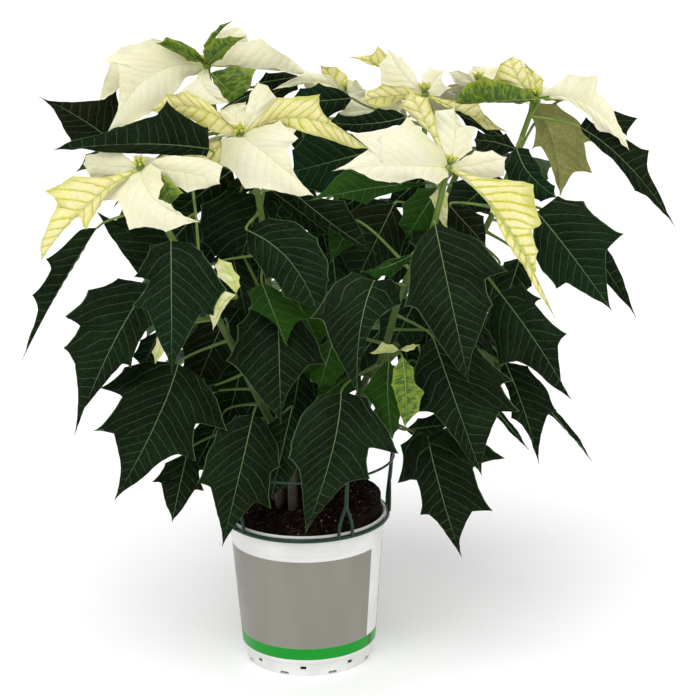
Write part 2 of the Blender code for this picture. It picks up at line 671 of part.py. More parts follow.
trace("leaf", 1, (262, 88), (220, 110), None, (30, 14, 0, 0.1),
      [(247, 92), (236, 99)],
      [(248, 106), (236, 109)])

# Green leaves of the right side
trace("leaf", 4, (435, 224), (469, 383), (451, 300), (-106, -168, -8, 0.06),
      [(420, 240), (410, 262), (409, 284), (404, 307), (417, 309), (437, 340), (457, 368)],
      [(458, 232), (480, 241), (508, 271), (486, 279), (493, 305), (483, 326), (471, 358)])
trace("leaf", 4, (433, 337), (482, 476), (455, 400), (-84, -136, -6, 0.06),
      [(420, 348), (414, 374), (416, 412), (433, 413), (450, 432), (468, 458)],
      [(474, 340), (514, 381), (501, 386), (520, 411), (500, 412), (487, 442)])
trace("leaf", 4, (428, 438), (462, 558), (442, 496), (-54, -88, -6, 0.06),
      [(417, 427), (400, 445), (398, 483), (417, 480), (420, 515), (428, 514), (448, 537)],
      [(448, 426), (480, 440), (505, 458), (473, 468), (493, 511), (472, 512), (460, 538)])
trace("leaf", 6, (537, 212), (612, 311), (574, 258), (-52, -86, -6, 0.08),
      [(533, 234), (532, 254), (542, 270), (556, 289), (566, 283), (591, 297)],
      [(558, 196), (584, 201), (599, 219), (624, 234), (606, 252), (607, 284)])
trace("leaf", 6, (575, 226), (636, 317), (608, 272), (-22, -40, 0, 0.05),
      [(588, 262), (607, 284), (621, 299)],
      [(604, 240), (613, 258), (623, 279)])
trace("leaf", 6, (500, 293), (572, 401), (538, 345), (-66, -112, -6, 0.08),
      [(487, 304), (484, 328), (499, 366), (516, 361), (533, 369), (550, 384)],
      [(522, 283), (542, 299), (535, 304), (567, 334), (558, 346), (562, 383)])
trace("leaf", 6, (505, 362), (539, 464), (524, 410), (-34, -60, -4, 0.08),
      [(497, 376), (508, 391), (511, 418), (522, 425), (532, 442)],
      [(528, 366), (546, 388), (557, 411), (547, 416), (540, 440)])
trace("leaf", 6, (540, 398), (592, 461), None, (-20, -34, 0, 0.2),
      [(546, 413), (561, 426), (575, 440)],
      [(550, 405), (564, 420), (579, 438)])
trace("leaf", 4, (486, 398), (529, 450), None, (-36, -48, 0, 0.2),
      [(491, 411), (503, 424), (514, 436)],
      [(497, 404), (507, 417), (518, 432)])
trace("leaf", 6, (580, 127), (675, 226), (628, 165), (-8, -44, -4, 0.06),
      [(586, 117), (603, 129), (627, 140), (649, 150), (647, 164), (658, 192)],
      [(584, 134), (600, 149), (615, 162), (635, 191), (645, 195), (658, 208)])
trace("leaf", 6, (598, 108), (627, 136), None, (40, 36, 0, 0.1),
      [(598, 118), (612, 125)],
      [(617, 112), (638, 118)])
trace("leaf", 6, (517, 148), (557, 198), (528, 172), (-18, -38, -4, 0.1),
      [(500, 162), (508, 184), (524, 198), (541, 202)],
      [(529, 149), (538, 164), (543, 176), (555, 186)])
trace("leaf", 6, (516, 149), (474, 140), (495, 142), (-10, -20, 0, 0.1),
      [(506, 133), (490, 136), (478, 130)],
      [(502, 156), (490, 153), (476, 151)])
trace("leaf", 6, (450, 206), (486, 246), None, (-24, -34, 0, 0.1),
      [(450, 226), (460, 244), (474, 250)],
      [(468, 206), (484, 216), (486, 232)])
trace("young", 4, (441, 186), (449, 232), (441, 208), (-78, -80, 0, 0.1),
      [(429, 197), (436, 211), (442, 223)],
      [(449, 194), (448, 208), (447, 221)])
trace("fleck", 6, (537, 99), (455, 103), None, (0, -8, -2, 0.0),
      [(520, 102, 16), (500, 101, 22), (484, 101, 22), (472, 102, 14), (462, 103, 6)],
      [(528, 89), (505, 83), (484, 76), (468, 83), (460, 93)])
trace("under", 6, (535, 103), (560, 198), (554, 146), (20, 34, 0, 0.08),
      [(529, 115), (536, 129), (532, 149), (541, 147), (549, 161), (556, 181)],
      [(557, 104), (577, 120), (595, 140), (584, 143), (593, 173), (573, 173)])

# Leaves that fill the shade behind the front ones
trace("leaf", 5, (394, 204), (352, 290), None, (6, -14, 0, 0.1),
      [(366, 196), (340, 216), (334, 246)],
      [(412, 230), (400, 258), (378, 280)])
trace("leaf", 7, (258, 180), (332, 236), None, (20, 8, 0, 0.1),
      [(268, 205), (296, 226), (318, 236)],
      [(284, 180), (314, 188), (332, 210)])
trace("leaf", 2, (230, 244), (246, 314), None, (-16, -30, 0, 0.1),
      [(212, 260), (212, 284), (228, 305)],
      [(250, 256), (258, 280), (254, 300)])
trace("leaf", 3, (224, 320), (194, 390), None, (-8, -24, 0, 0.1),
      [(198, 322), (180, 344), (182, 370)],
      [(242, 336), (240, 358), (220, 380)])
trace("leaf", 2, (300, 370), (290, 428), None, (6, -4, 0, 0.1),
      [(280, 380), (272, 398), (279, 416)],
      [(314, 384), (318, 402), (304, 418)])
trace("leaf", 5, (418, 296), (388, 354), None, (-6, -20, 0, 0.1),
      [(396, 300), (378, 318), (376, 340)],
      [(430, 318), (422, 340), (404, 350)])
trace("leaf", 3, (224, 412), (192, 474), None, (-6, -20, 0, 0.1),
      [(204, 414), (186, 436), (182, 460)],
      [(236, 430), (228, 452), (208, 470)])
trace("leaf", 2, (244, 358), (226, 428), None, (-2, -16, 0, 0.1),
      [(222, 362), (206, 382), (210, 408)],
      [(264, 376), (262, 400), (244, 420)])
trace("leaf", 1, (232, 170), (174, 214), None, (10, -8, 0, 0.1),
      [(208, 164), (182, 176), (168, 196)],
      [(238, 190), (222, 206), (196, 216)])
trace("leaf", 6, (494, 180), (450, 216), None, (30, 16, 0, 0.1),
      [(474, 172), (452, 182), (444, 200)],
      [(496, 198), (484, 212), (466, 218)])
trace("leaf", 6, (520, 258), (504, 306), None, (-8, -18, 0, 0.1),
      [(504, 262), (492, 278), (494, 296)],
      [(536, 268), (532, 286), (518, 300)])
trace("leaf", 5, (332, 250), (338, 300), None, (0, -10, 0, 0.1),
      [(320, 258), (318, 276), (328, 292)],
      [(346, 256), (352, 274), (346, 292)])

# Bracts of the blooms
trace("cream", 1, (207, 66), (108, 132), (150, 76), (60, 2, -6, 0.08),
      [(175, 42), (152, 38), (122, 46), (104, 59), (118, 66), (117, 110)],
      [(198, 74), (186, 78), (177, 89), (165, 102), (150, 114), (130, 124)])
trace("cream", 1, (207, 66), (98, 101), (140, 78), (70, 44, 0, 0.06),
      [(150, 60), (110, 62), (104, 80)],
      [(150, 86), (120, 88), (112, 94)])
trace("cream", 1, (207, 66), (309, 73), None, (60, 86, -4, 0.06),
      [(235, 64), (257, 66), (277, 68), (295, 74)],
      [(233, 42), (262, 38), (279, 52), (293, 60)])
trace("cream", 1, (207, 66), (240, 27), (224, 44), (64, 92, 0, 0.04),
      [(214, 42), (220, 31), (229, 25)],
      [(234, 50), (249, 44), (247, 35)])
trace("fleck", 1, (207, 66), (156, 43), (182, 52), (54, 22, -4, 0.06),
      [(195, 49), (180, 41), (166, 37)],
      [(200, 62), (187, 60), (173, 50)])
trace("fleck", 1, (207, 66), (246, 37), (224, 48), (52, 44, -4, 0.06),
      [(204, 49), (213, 39), (229, 36)],
      [(221, 61), (228, 50), (237, 42)])
trace("fleck", 1, (207, 66), (232, 21), (214, 40), (62, 72, 0, 0.0),
      [(203, 46), (211, 33), (220, 25)],
      [(212, 45), (217, 36), (223, 28)])
trace("cream", 1, (207, 66), (230, 104), (205, 88), (62, 34, 0, 0.06),
      [(190, 83), (175, 95), (201, 104)],
      [(212, 82), (219, 88), (223, 98)])
trace("cream", 2, (241, 135), (314, 196), (276, 162), (-62, -112, -6, 0.08),
      [(221, 139), (219, 163), (232, 172), (246, 189), (272, 190), (298, 196)],
      [(258, 128), (281, 121), (298, 138), (287, 148), (293, 166), (299, 182)])
trace("vein", 2, (241, 135), (370, 150), (304, 118), (-58, -82, -6, 0.06),
      [(262, 126), (281, 125), (300, 131), (318, 136), (335, 142), (352, 147)],
      [(278, 97), (297, 97), (320, 94), (319, 104), (328, 118), (347, 135)])
trace("cream", 2, (241, 135), (258, 82), (255, 108), (-56, -36, -2, 0.06),
      [(245, 118), (247, 104), (251, 92)],
      [(259, 121), (277, 98), (268, 86)])
trace("vein", 2, (241, 135), (148, 111), (198, 108), (-58, -70, -2, 0.1),
      [(224, 117), (204, 100), (187, 91), (167, 94)],
      [(225, 134), (207, 128), (190, 119), (163, 113)])
trace("vein", 2, (241, 135), (152, 158), (196, 155), (-54, -66, 0, 0.08),
      [(222, 139), (203, 145), (177, 150)],
      [(223, 167), (201, 162), (176, 159)])
trace("cream", 2, (241, 135), (246, 102), (236, 116), (-50, -26, 0, 0.06),
      [(228, 122), (217, 112), (229, 106)],
      [(247, 122), (249, 113), (249, 107)])
trace("cream", 3, (141, 168), (200, 222), (156, 200), (-112, -166, -6, 0.08),
      [(113, 184), (102, 201), (119, 202), (130, 230), (140, 227), (166, 232)],
      [(151, 163), (161, 170), (163, 182), (158, 200), (174, 207), (189, 220)])
trace("vein", 3, (141, 168), (40, 262), (86, 206), (-112, -160, -8, 0.08),
      [(106, 177), (72, 176), (45, 191), (57, 203), (49, 222), (41, 244)],
      [(110, 190), (101, 205), (86, 229), (84, 214), (72, 222), (53, 241)])
trace("cream", 3, (141, 168), (83, 164), None, (-108, -118, -2, 0.08),
      [(122, 153), (105, 150), (86, 155)],
      [(122, 176), (105, 174), (88, 174)])
trace("cream", 3, (141, 168), (220, 184), (184, 172), (-108, -124, -4, 0.1),
      [(162, 172), (170, 184), (188, 192), (208, 188)],
      [(160, 158), (183, 156), (207, 159), (223, 166)])
trace("fleck", 3, (141, 168), (170, 206), (163, 186), (-104, -112, 0, 0.0),
      [(155, 180), (158, 192), (159, 204)],
      [(160, 173), (171, 181), (183, 193)])
trace("cream", 4, (448, 168), (332, 171), (388, 165), (-92, -134, -8, 0.06),
      [(441, 148, -5), (407, 116), (400, 127), (350, 133), (382, 136), (356, 158)],
      [(449, 177, -5), (437, 185, -3), (420, 178), (401, 184), (375, 180), (352, 169)])
trace("vein", 4, (448, 168), (410, 91), (428, 128), (-90, -66, -2, 0.06),
      [(430, 135), (413, 118), (400, 106)],
      [(440, 143), (434, 118), (428, 98)])
trace("cream", 4, (448, 168), (454, 107), (455, 140), (-92, -78, -2, 0.08),
      [(441, 148), (434, 126), (435, 111)],
      [(472, 150), (476, 127), (463, 126)])
trace("cream", 4, (448, 168), (507, 157), (478, 164), (-92, -98, -2, 0.08),
      [(462, 159), (475, 151), (492, 151)],
      [(468, 176), (488, 180), (504, 175)])
trace("vein", 4, (448, 168), (556, 320), (506, 226), (-96, -170, -8, 0.06),
      [(468, 180), (484, 191), (491, 208), (501, 230), (511, 249), (522, 265), (536, 289)],
      [(490, 178), (516, 181), (534, 185), (541, 223), (532, 231), (538, 251), (533, 273)])
trace("cream", 5, (425, 95), (388, 49), (402, 72), (48, 74, -2, 0.06),
      [(400, 89), (381, 84), (379, 64)],
      [(420, 84), (413, 71), (402, 57)])
trace("vein", 5, (425, 95), (349, 57), (384, 68), (72, 88, 0, 0.06),
      [(400, 66), (378, 46), (371, 55)],
      [(402, 78), (380, 68), (366, 63)])
trace("cream", 5, (425, 95), (445, 69), (434, 82), (52, 78, 0, 0.06),
      [(420, 86), (421, 75), (431, 67)],
      [(440, 96), (448, 88), (441, 79)])
trace("vein", 5, (425, 95), (361, 102), (392, 96), (44, 14, -2, 0.08),
      [(402, 86), (382, 84), (368, 92)],
      [(406, 100), (393, 106), (375, 107)])
trace("cream", 5, (425, 95), (337, 113), (376, 108), (44, 32, 0, 0.06),
      [(402, 104), (375, 102), (351, 100)],
      [(400, 112), (372, 114), (350, 118)])
trace("vein", 5, (425, 95), (508, 132), (462, 112), (46, 12, -2, 0.06),
      [(446, 107), (470, 117), (487, 130)],
      [(450, 100), (478, 101), (485, 117)])
trace("vein", 6, (536, 99), (513, 56), (516, 76), (10, 26, -2, 0.06),
      [(515, 86), (493, 79), (500, 64)],
      [(530, 86), (527, 74), (521, 61)])
trace("vein", 6, (536, 99), (524, 62), (534, 80), (16, 34, 0, 0.04),
      [(530, 86), (527, 78), (524, 70)],
      [(542, 91), (544, 80), (533, 70)])
trace("cream", 6, (536, 99), (629, 150), (586, 104), (8, -28, -6, 0.08),
      [(563, 100), (578, 106), (592, 119), (600, 132), (612, 134), (622, 143)],
      [(552, 87), (568, 74), (597, 75), (594, 86), (612, 106), (622, 131)])
trace("fleck", 6, (536, 99), (580, 96), None, (2, -8, 0, 0.1),
      [(550, 92), (562, 93)],
      [(549, 101), (563, 100)])
trace("cream", 7, (347, 93), (273, 90), (308, 80), (92, 68, -2, 0.08),
      [(328, 75), (307, 71), (289, 80)],
      [(328, 88), (309, 85), (289, 87)])
trace("vein", 7, (347, 93), (320, 65), None, (94, 104, 0, 0.06),
      [(336, 92), (328, 80), (321, 73)],
      [(350, 82), (346, 74), (337, 67)])
trace("cream", 7, (347, 93), (366, 90), None, (90, 78, 0, 0.06),
      [(347, 80), (358, 79)],
      [(354, 100), (363, 98)])
trace("cream", 8, (478, 84), (448, 72), None, (150, 142, 0, 0.06),
      [(470, 73), (458, 71)],
      [(466, 88), (455, 84)])
trace("cream", 8, (478, 84), (472, 66), (478, 75), (154, 160, 0, 0.06),
      [(471, 77), (468, 71)],
      [(494, 77), (502, 66)])

# Hidden rear bracts: bloom, heading, rise, droop, length and width
REAR_BRACTS = (
    (1, 150, 14, -34, 92, 58), (1, 196, 18, -30, 84, 56), (1, 240, 8, -40, 88, 54),
    (2, 150, 12, -40, 76, 50), (2, 215, 12, -40, 76, 50),
    (3, 160, 10, -36, 80, 52), (3, 215, 12, -36, 84, 54), (3, 262, 4, -44, 78, 48),
    (4, 150, 10, -40, 78, 52), (4, 205, 8, -44, 78, 50),
    (5, 120, 10, -38, 84, 54), (5, 165, 16, -30, 88, 58), (5, 210, 14, -34, 84, 54),
    (6, 120, 6, -44, 84, 50), (6, 170, 12, -36, 88, 56), (6, 220, 10, -40, 80, 50),
    (7, 120, 10, -36, 82, 54), (7, 170, 16, -30, 90, 58), (7, 225, 12, -36, 86, 54),
    (8, 60, 4, -40, 78, 50), (8, 112, 10, -34, 88, 58), (8, 160, 16, -28, 96, 62),
    (8, 208, 14, -32, 92, 58), (8, 262, 6, -40, 80, 52),
    (9, 84, 6, -40, 82, 52), (9, 132, 14, -32, 92, 60), (9, 180, 18, -28, 96, 62),
    (9, 228, 12, -34, 92, 58), (9, 276, 6, -42, 80, 50),
)

# Hidden rear leaves: stem, share of its height, heading, rise, droop, length and width
REAR_LEAVES = (
    (1, 0.84, 205, 5, -62, 104, 78), (1, 0.70, 250, 0, -66, 112, 84),
    (1, 0.46, 225, -10, -72, 108, 80), (1, 0.78, 292, -4, -64, 96, 70),
    (3, 0.72, 262, -8, -70, 96, 72), (3, 0.50, 238, -14, -74, 104, 76),
    (5, 0.80, 140, 4, -62, 108, 80), (5, 0.66, 190, -2, -66, 112, 82),
    (6, 0.84, 140, 0, -66, 104, 76), (6, 0.72, 96, -6, -70, 104, 76), (6, 0.60, 175, -6, -68, 112, 84),
    (6, 0.48, 128, -12, -74, 110, 80),
    (7, 0.84, 150, 6, -60, 104, 78), (7, 0.74, 214, 2, -64, 110, 82), (7, 0.62, 180, -4, -68, 114, 86),
    (7, 0.48, 150, -8, -72, 112, 82),
    (8, 0.86, 130, 4, -60, 108, 82), (8, 0.76, 190, 2, -64, 114, 86),
    (8, 0.56, 155, -6, -70, 118, 88), (8, 0.44, 205, -10, -74, 110, 82),
    (9, 0.86, 160, 4, -60, 108, 82), (9, 0.76, 222, 0, -64, 114, 86), (9, 0.66, 262, -6, -68, 108, 80),
    (9, 0.58, 185, -6, -70, 118, 88), (9, 0.46, 240, -10, -74, 112, 84),
    (5, 0.40, 165, -10, -76, 104, 76), (3, 0.36, 262, -16, -78, 92, 66),
)


class Placer:
    """Keeps what is already placed and finds clear room for each new piece."""

    def __init__(self):
        self.pieces = []

    @staticmethod
    def box(points):
        low = Vector(min(p[i] for p in points) for i in range(3))
        high = Vector(max(p[i] for p in points) for i in range(3))
        return low, high

    def add(self, label, plant, points, faces):
        self.pieces.append((label, plant, self.box(points), BVHTree.FromPolygons(points, faces)))

    def hits(self, points, faces, skip):
        """Which placed pieces a new one would touch."""
        low, high = self.box(points)
        tree = None
        touched = []
        for label, plant, (other_low, other_high), other in self.pieces:
            if skip(label, plant):
                continue
            if any(low[i] > other_high[i] or high[i] < other_low[i] for i in range(3)):
                continue
            if tree is None:
                tree = BVHTree.FromPolygons(points, faces)
            if tree.overlap(other):
                touched.append((label, plant))
        return touched


def placed_thickness():
    return BLADE_THICKNESS + 2.0 * BLADE_CLEARANCE


def try_blade(placer, blade, is_bract):
    """What a blade would touch; a bract's foot may meet the other bracts of its own bloom."""
    points, faces = blade_solid(blade, placed_thickness())
    if not is_bract:
        return placer.hits(points, faces, lambda label, plant: False)
    own = blade.plant
    hits = placer.hits(
        points, faces,
        lambda label, plant: plant == own and label not in ("leaf", "petiole", "support"),
    )
    points, faces = blade_solid(blade, placed_thickness(), skip_base=True)
    hits += placer.hits(
        points, faces,
        lambda label, plant: plant != own or label not in ("stem", "buds", "bract"),
    )
    points, faces = blade_solid(blade, BLADE_THICKNESS + 0.6 * MM)
    hits += placer.hits(
        points, faces, lambda label, plant: plant != own or label not in ("stem", "buds")
    )
    return hits


def keep_blade(placer, blade, is_bract):
    """Note a placed blade; a bract also as it is without its foot."""
    points, faces = blade_solid(blade, placed_thickness())
    placer.add("whole bract" if is_bract else "leaf", blade.plant, points, faces)
    if is_bract:
        points, faces = blade_solid(blade, placed_thickness(), skip_base=True)
        placer.add("bract", blade.plant, points, faces)


def is_bract_row(row):
    """Whether a traced blade grows from the middle of its bloom."""
    kind, plant, base = row[:3]
    return kind in ("cream", "vein") or (kind == "fleck" and base == STEMS[plant][1][-1][:2])


def place_traced(placer):
    """Every traced blade, each at the first depth where it is clear."""
    blades = []
    for number, row in enumerate(TRACED):
        bract = is_bract_row(row)
        shifts = BRACT_SHIFTS if bract else LEAF_SHIFTS
        best = None
        for shift in shifts:
            blade = lay_traced(row, *shift)
            if bract:
                nudge = Vector((number % 5 - 2, number % 3 - 1, number % 7 - 3)) * FOOT_NUDGE
                blade.base = bloom_centre(row[1]) + nudge
            hits = try_blade(placer, blade, bract)
            if best is None or len(hits) < len(best[0]):
                best = (hits, blade)
            if not hits:
                break
        keep_blade(placer, best[1], bract)
        blades.append((best[1], bract))
    return blades


def within_canopy(blade):
    """Whether the front view of a blade stays within the outline of the plant."""
    spots = [shown(point) for point in [*blade.mids, *blade.left, *blade.right, blade.tip]]
    return all(inside(CANOPY, spot) or inside(CANOPY_RIGHT, spot) for spot in spots)


def rear_trials(row, paths, order):
    """Rear blade in each of its turns, tilts and sizes, the wanted one first."""
    kind, plant, share, heading, rise, droop, length, width = row
    roll = REAR_ROLL if order % 2 else -REAR_ROLL
    for scale in SCALES:
        for tilt in TILTS:
            for turning in TURNS:
                angle = math.radians(heading + turning)
                way = Vector((math.sin(angle), -math.cos(angle), 0.0))
                if kind == "cream":
                    base = bloom_centre(plant) + way * (0.8 * MM)
                else:
                    lift = Vector((0.0, 0.0, REAR_LEAF_LIFT + tilt * MM))
                    base = point_along(paths[plant], share) + way * REAR_LEAF_REACH + lift
                yield lay_turned(
                    kind, plant, base, angle, math.radians(rise + tilt), math.radians(droop + tilt),
                    length * scale * MM, width * scale * MM, roll,
                )


def place_rear(placer, paths):
    """Rear bracts and leaves, turned, tilted or shortened until clear and hidden."""
    blades = []
    petioles = []
    rows = [("cream", row[0], 1.0, *row[1:]) for row in REAR_BRACTS]
    rows += [("leaf", *row) for row in REAR_LEAVES]
    for order, row in enumerate(rows):
        bract = row[0] == "cream"
        for blade in rear_trials(row, paths, order):
            if not within_canopy(blade) or try_blade(placer, blade, bract):
                continue
            if not bract:
                hits, route = find_petiole(placer, paths, blade)
                if hits:
                    continue
                petioles.append((blade, route))
                keep_petiole(placer, blade, route)
            keep_blade(placer, blade, bract)
            blades.append((blade, bract))
            break
    return blades, petioles


def petiole_path(start, blade, reach, bulge):
    """Leaf stalk that leaves its stem upwards and runs into the blade's midrib."""
    into = (blade.mids[0] - blade.base).normalized()
    span = (blade.base - start).length
    control = blade.base - into * (reach * span) + Vector((0.0, 0.0, bulge))
    path = []
    for t in (0.0, 0.36, 0.7, 1.0):
        path.append(start * (1.0 - t) ** 2 + control * (2.0 * t * (1.0 - t)) + blade.base * (t * t))
    return path


def petiole_choices(path, blade):
    """Ways to run a petiole, shortest first."""
    starts = []
    for low, high in zip(path[1:], path[2:]):
        starts += [low.lerp(high, share) for share in (0.1, 0.35, 0.6, 0.85)]
    choices = []
    for i, start in enumerate(starts):
        if start.z < PETIOLE_LOWEST:
            continue
        for reach in (0.35, 0.6, 0.15):
            for bulge in (0.0, 14.0 * MM, -10.0 * MM):
                route = petiole_path(start, blade, reach, bulge)
                length = sum((b - a).length for a, b in zip(route, route[1:]))
                short = max(0.0, PETIOLE_SHORTEST - length) * 4.0
                choices.append((length + short + 0.3 * abs(bulge), i, route))
    choices.sort(key=lambda choice: (choice[0], choice[1]))
    return choices


def find_petiole(placer, paths, blade):
    """The shortest clear petiole of a leaf, or the least bad one with what it touches."""
    best = None
    own_points, own_faces = blade_solid(blade, placed_thickness())
    own = BVHTree.FromPolygons(own_points, own_faces)
    for _, _, route in petiole_choices(paths[blade.plant], blade):
        near = min(0.5, 5.0 * MM / (route[-1] - route[-2]).length)
        trial = [*route[:-1], route[-1] + (route[-2] - route[-1]) * near]
        points, faces = tube(trial, [PETIOLE_RADIUS + BLADE_CLEARANCE] * len(trial), PETIOLE_SIDES)
        if BVHTree.FromPolygons(points, faces).overlap(own):
            continue
        hits = placer.hits(
            points, faces, lambda label, plant: plant == blade.plant and label in ("stem", "petiole")
        )
        if best is None or len(hits) < len(best[0]):
            best = (hits, route)
        if not hits:
            break
    return best if best else (["no route"], None)


def keep_petiole(placer, blade, route):
    """Note a placed petiole with clear room round it."""
    points, faces = tube(route, [PETIOLE_RADIUS + BLADE_CLEARANCE] * len(route), PETIOLE_SIDES)
    placer.add("petiole", blade.plant, points, faces)


def place_petioles(placer, paths, blades):
    """A clear petiole for every traced green leaf."""
    petioles = []
    for blade, bract in blades:
        if bract:
            continue
        route = find_petiole(placer, paths, blade)[1]
        petioles.append((blade, route))
        keep_petiole(placer, blade, route)
    return petioles


def mesh_object(name, points, faces):
    mesh = bpy.data.meshes.new(name)
    mesh.from_pydata([tuple(p) for p in points], [], faces)
    mesh.update()
    thing = bpy.data.objects.new(name, mesh)
    bpy.context.scene.collection.objects.link(thing)
    return thing


def material(name, colour, roughness, metallic=0.0):
    made = bpy.data.materials.new(name)
    made.use_nodes = True
    made.diffuse_color = colour
    shader = made.node_tree.nodes["Principled BSDF"]
    shader.inputs["Base Color"].default_value = colour
    shader.inputs["Roughness"].default_value = roughness
    shader.inputs["Metallic"].default_value = metallic
    return made


def combine(thing, others, operation, solver):
    """Apply one Boolean of a collection of pieces to an object, then remove the pieces."""
    group = bpy.data.collections.new(thing.name + "_pieces")
    bpy.context.scene.collection.children.link(group)
    for other in others:
        bpy.context.scene.collection.objects.unlink(other)
        group.objects.link(other)
        other.display_type = "WIRE"
        other.hide_render = True
    join = thing.modifiers.new("join", "BOOLEAN")
    join.operation = operation
    join.operand_type = "COLLECTION"
    join.collection = group
    join.solver = solver
    bpy.context.view_layer.update()
    graph = bpy.context.evaluated_depsgraph_get()
    result = bpy.data.meshes.new_from_object(thing.evaluated_get(graph))
    thing.modifiers.clear()
    old = thing.data
    thing.data = result
    bpy.data.meshes.remove(old)
    for other in list(group.objects):
        data = other.data
        bpy.data.objects.remove(other)
        bpy.data.meshes.remove(data)
    bpy.data.collections.remove(group)
    thing.data.name = thing.name
    return thing


def union(name, solids, look, solver="MANIFOLD"):
    """One named solid from overlapping closed pieces."""
    first = mesh_object(name, *solids[0])
    if len(solids) > 1:
        others = [mesh_object(name + "_piece", *solid) for solid in solids[1:]]
        combine(first, others, "UNION", solver)
    first.data.materials.clear()
    first.data.materials.append(look)
    return first


def turned_solid(profile, segments):
    """Solid of revolution of a profile that starts and ends on the axis."""
    points = []
    rings = []
    for radius, height in profile:
        if radius == 0.0:
            rings.append([len(points)])
            points.append(Vector((0.0, 0.0, height)))
            continue
        ring = []
        for k in range(segments):
            angle = 2.0 * math.pi * k / segments
            ring.append(len(points))
            points.append(Vector((math.cos(angle) * radius, math.sin(angle) * radius, height)))
        rings.append(ring)
    faces = []
    for low, high in zip(rings, rings[1:]):
        for k in range(segments):
            a = low[k % len(low)]
            b = low[(k + 1) % len(low)]
            c = high[(k + 1) % len(high)]
            d = high[k % len(high)]
            corners = [a]
            for corner in (b, c, d):
                if corner not in corners:
                    corners.append(corner)
            faces.append(tuple(corners))
    return points, faces


def box_solid(centre, size, heading):
    """Box turned to a heading: size is along the heading, across it and up."""
    angle = math.radians(heading)
    way = Vector((math.sin(angle), -math.cos(angle), 0.0)) * (0.5 * size[0])
    side = Vector((math.cos(angle), math.sin(angle), 0.0)) * (0.5 * size[1])
    up = Vector((0.0, 0.0, 0.5 * size[2]))
    points = []
    for z in (-1, 1):
        for w, s in ((-1, -1), (1, -1), (1, 1), (-1, 1)):
            points.append(centre + way * w + side * s + up * z)
    faces = [(0, 3, 2, 1), (4, 5, 6, 7), (0, 1, 5, 4), (1, 2, 6, 5), (2, 3, 7, 6), (3, 0, 4, 7)]
    return points, faces


def pot_profile():
    wall = POT_WALL
    return (
        (0.0, 0.0), (POT_PAD_RADIUS, 0.0), (POT_PAD_RADIUS, POT_HOLLOW_HEIGHT),
        (POT_FOOT_RADIUS - 4.0 * MM, POT_HOLLOW_HEIGHT), (POT_FOOT_RADIUS - 3.0 * MM, 0.0),
        (POT_FOOT_RADIUS, 0.0), (POT_FOOT_RADIUS + 1.6 * MM, POT_STEP_HEIGHT - 3.0 * MM),
        (POT_STEP_RADIUS, POT_STEP_HEIGHT), (POT_SKIRT_RADIUS, POT_SKIRT_HEIGHT),
        (POT_SKIRT_RADIUS + 1.0 * MM, POT_SKIRT_HEIGHT + 1.0 * MM),
        (POT_RIM_RADIUS - 1.0 * MM, POT_LIP_HEIGHT - 0.8 * MM), (POT_RIM_RADIUS, POT_LIP_HEIGHT),
        (POT_RIM_RADIUS, POT_HEIGHT - 0.9 * MM), (POT_RIM_RADIUS - 1.4 * MM, POT_HEIGHT),
        (POT_RIM_RADIUS - 2.8 * MM, POT_HEIGHT - 0.9 * MM),
        (POT_SKIRT_RADIUS - wall, POT_SKIRT_HEIGHT - 0.4 * MM),
        (POT_STEP_RADIUS - wall, POT_STEP_HEIGHT + 0.6 * MM),
        (POT_FOOT_RADIUS, POT_STEP_HEIGHT - 2.4 * MM),
        (POT_FOOT_RADIUS - wall, POT_FLOOR_HEIGHT), (0.0, POT_FLOOR_HEIGHT),
    )


def make_pot(look):
    pot = mesh_object("pot", *turned_solid(pot_profile(), POT_SEGMENTS))
    cutters = []
    for k in range(POT_NOTCHES):
        heading = 360.0 * (k + 0.5) / POT_NOTCHES
        centre = heading_point(heading, POT_FOOT_RADIUS, 0.6 * MM)
        cutters.append(mesh_object("notch", *box_solid(centre, POT_NOTCH_SIZE, heading)))
        heading += POT_SLOT_TURN
        slot = heading_point(heading, POT_FOOT_RADIUS, POT_SLOT_HEIGHT)
        cutters.append(mesh_object("drain", *box_solid(slot, POT_SLOT_SIZE, heading)))
    combine(pot, cutters, "DIFFERENCE", "EXACT")
    pot.data.materials.clear()
    pot.data.materials.append(look)
    return pot


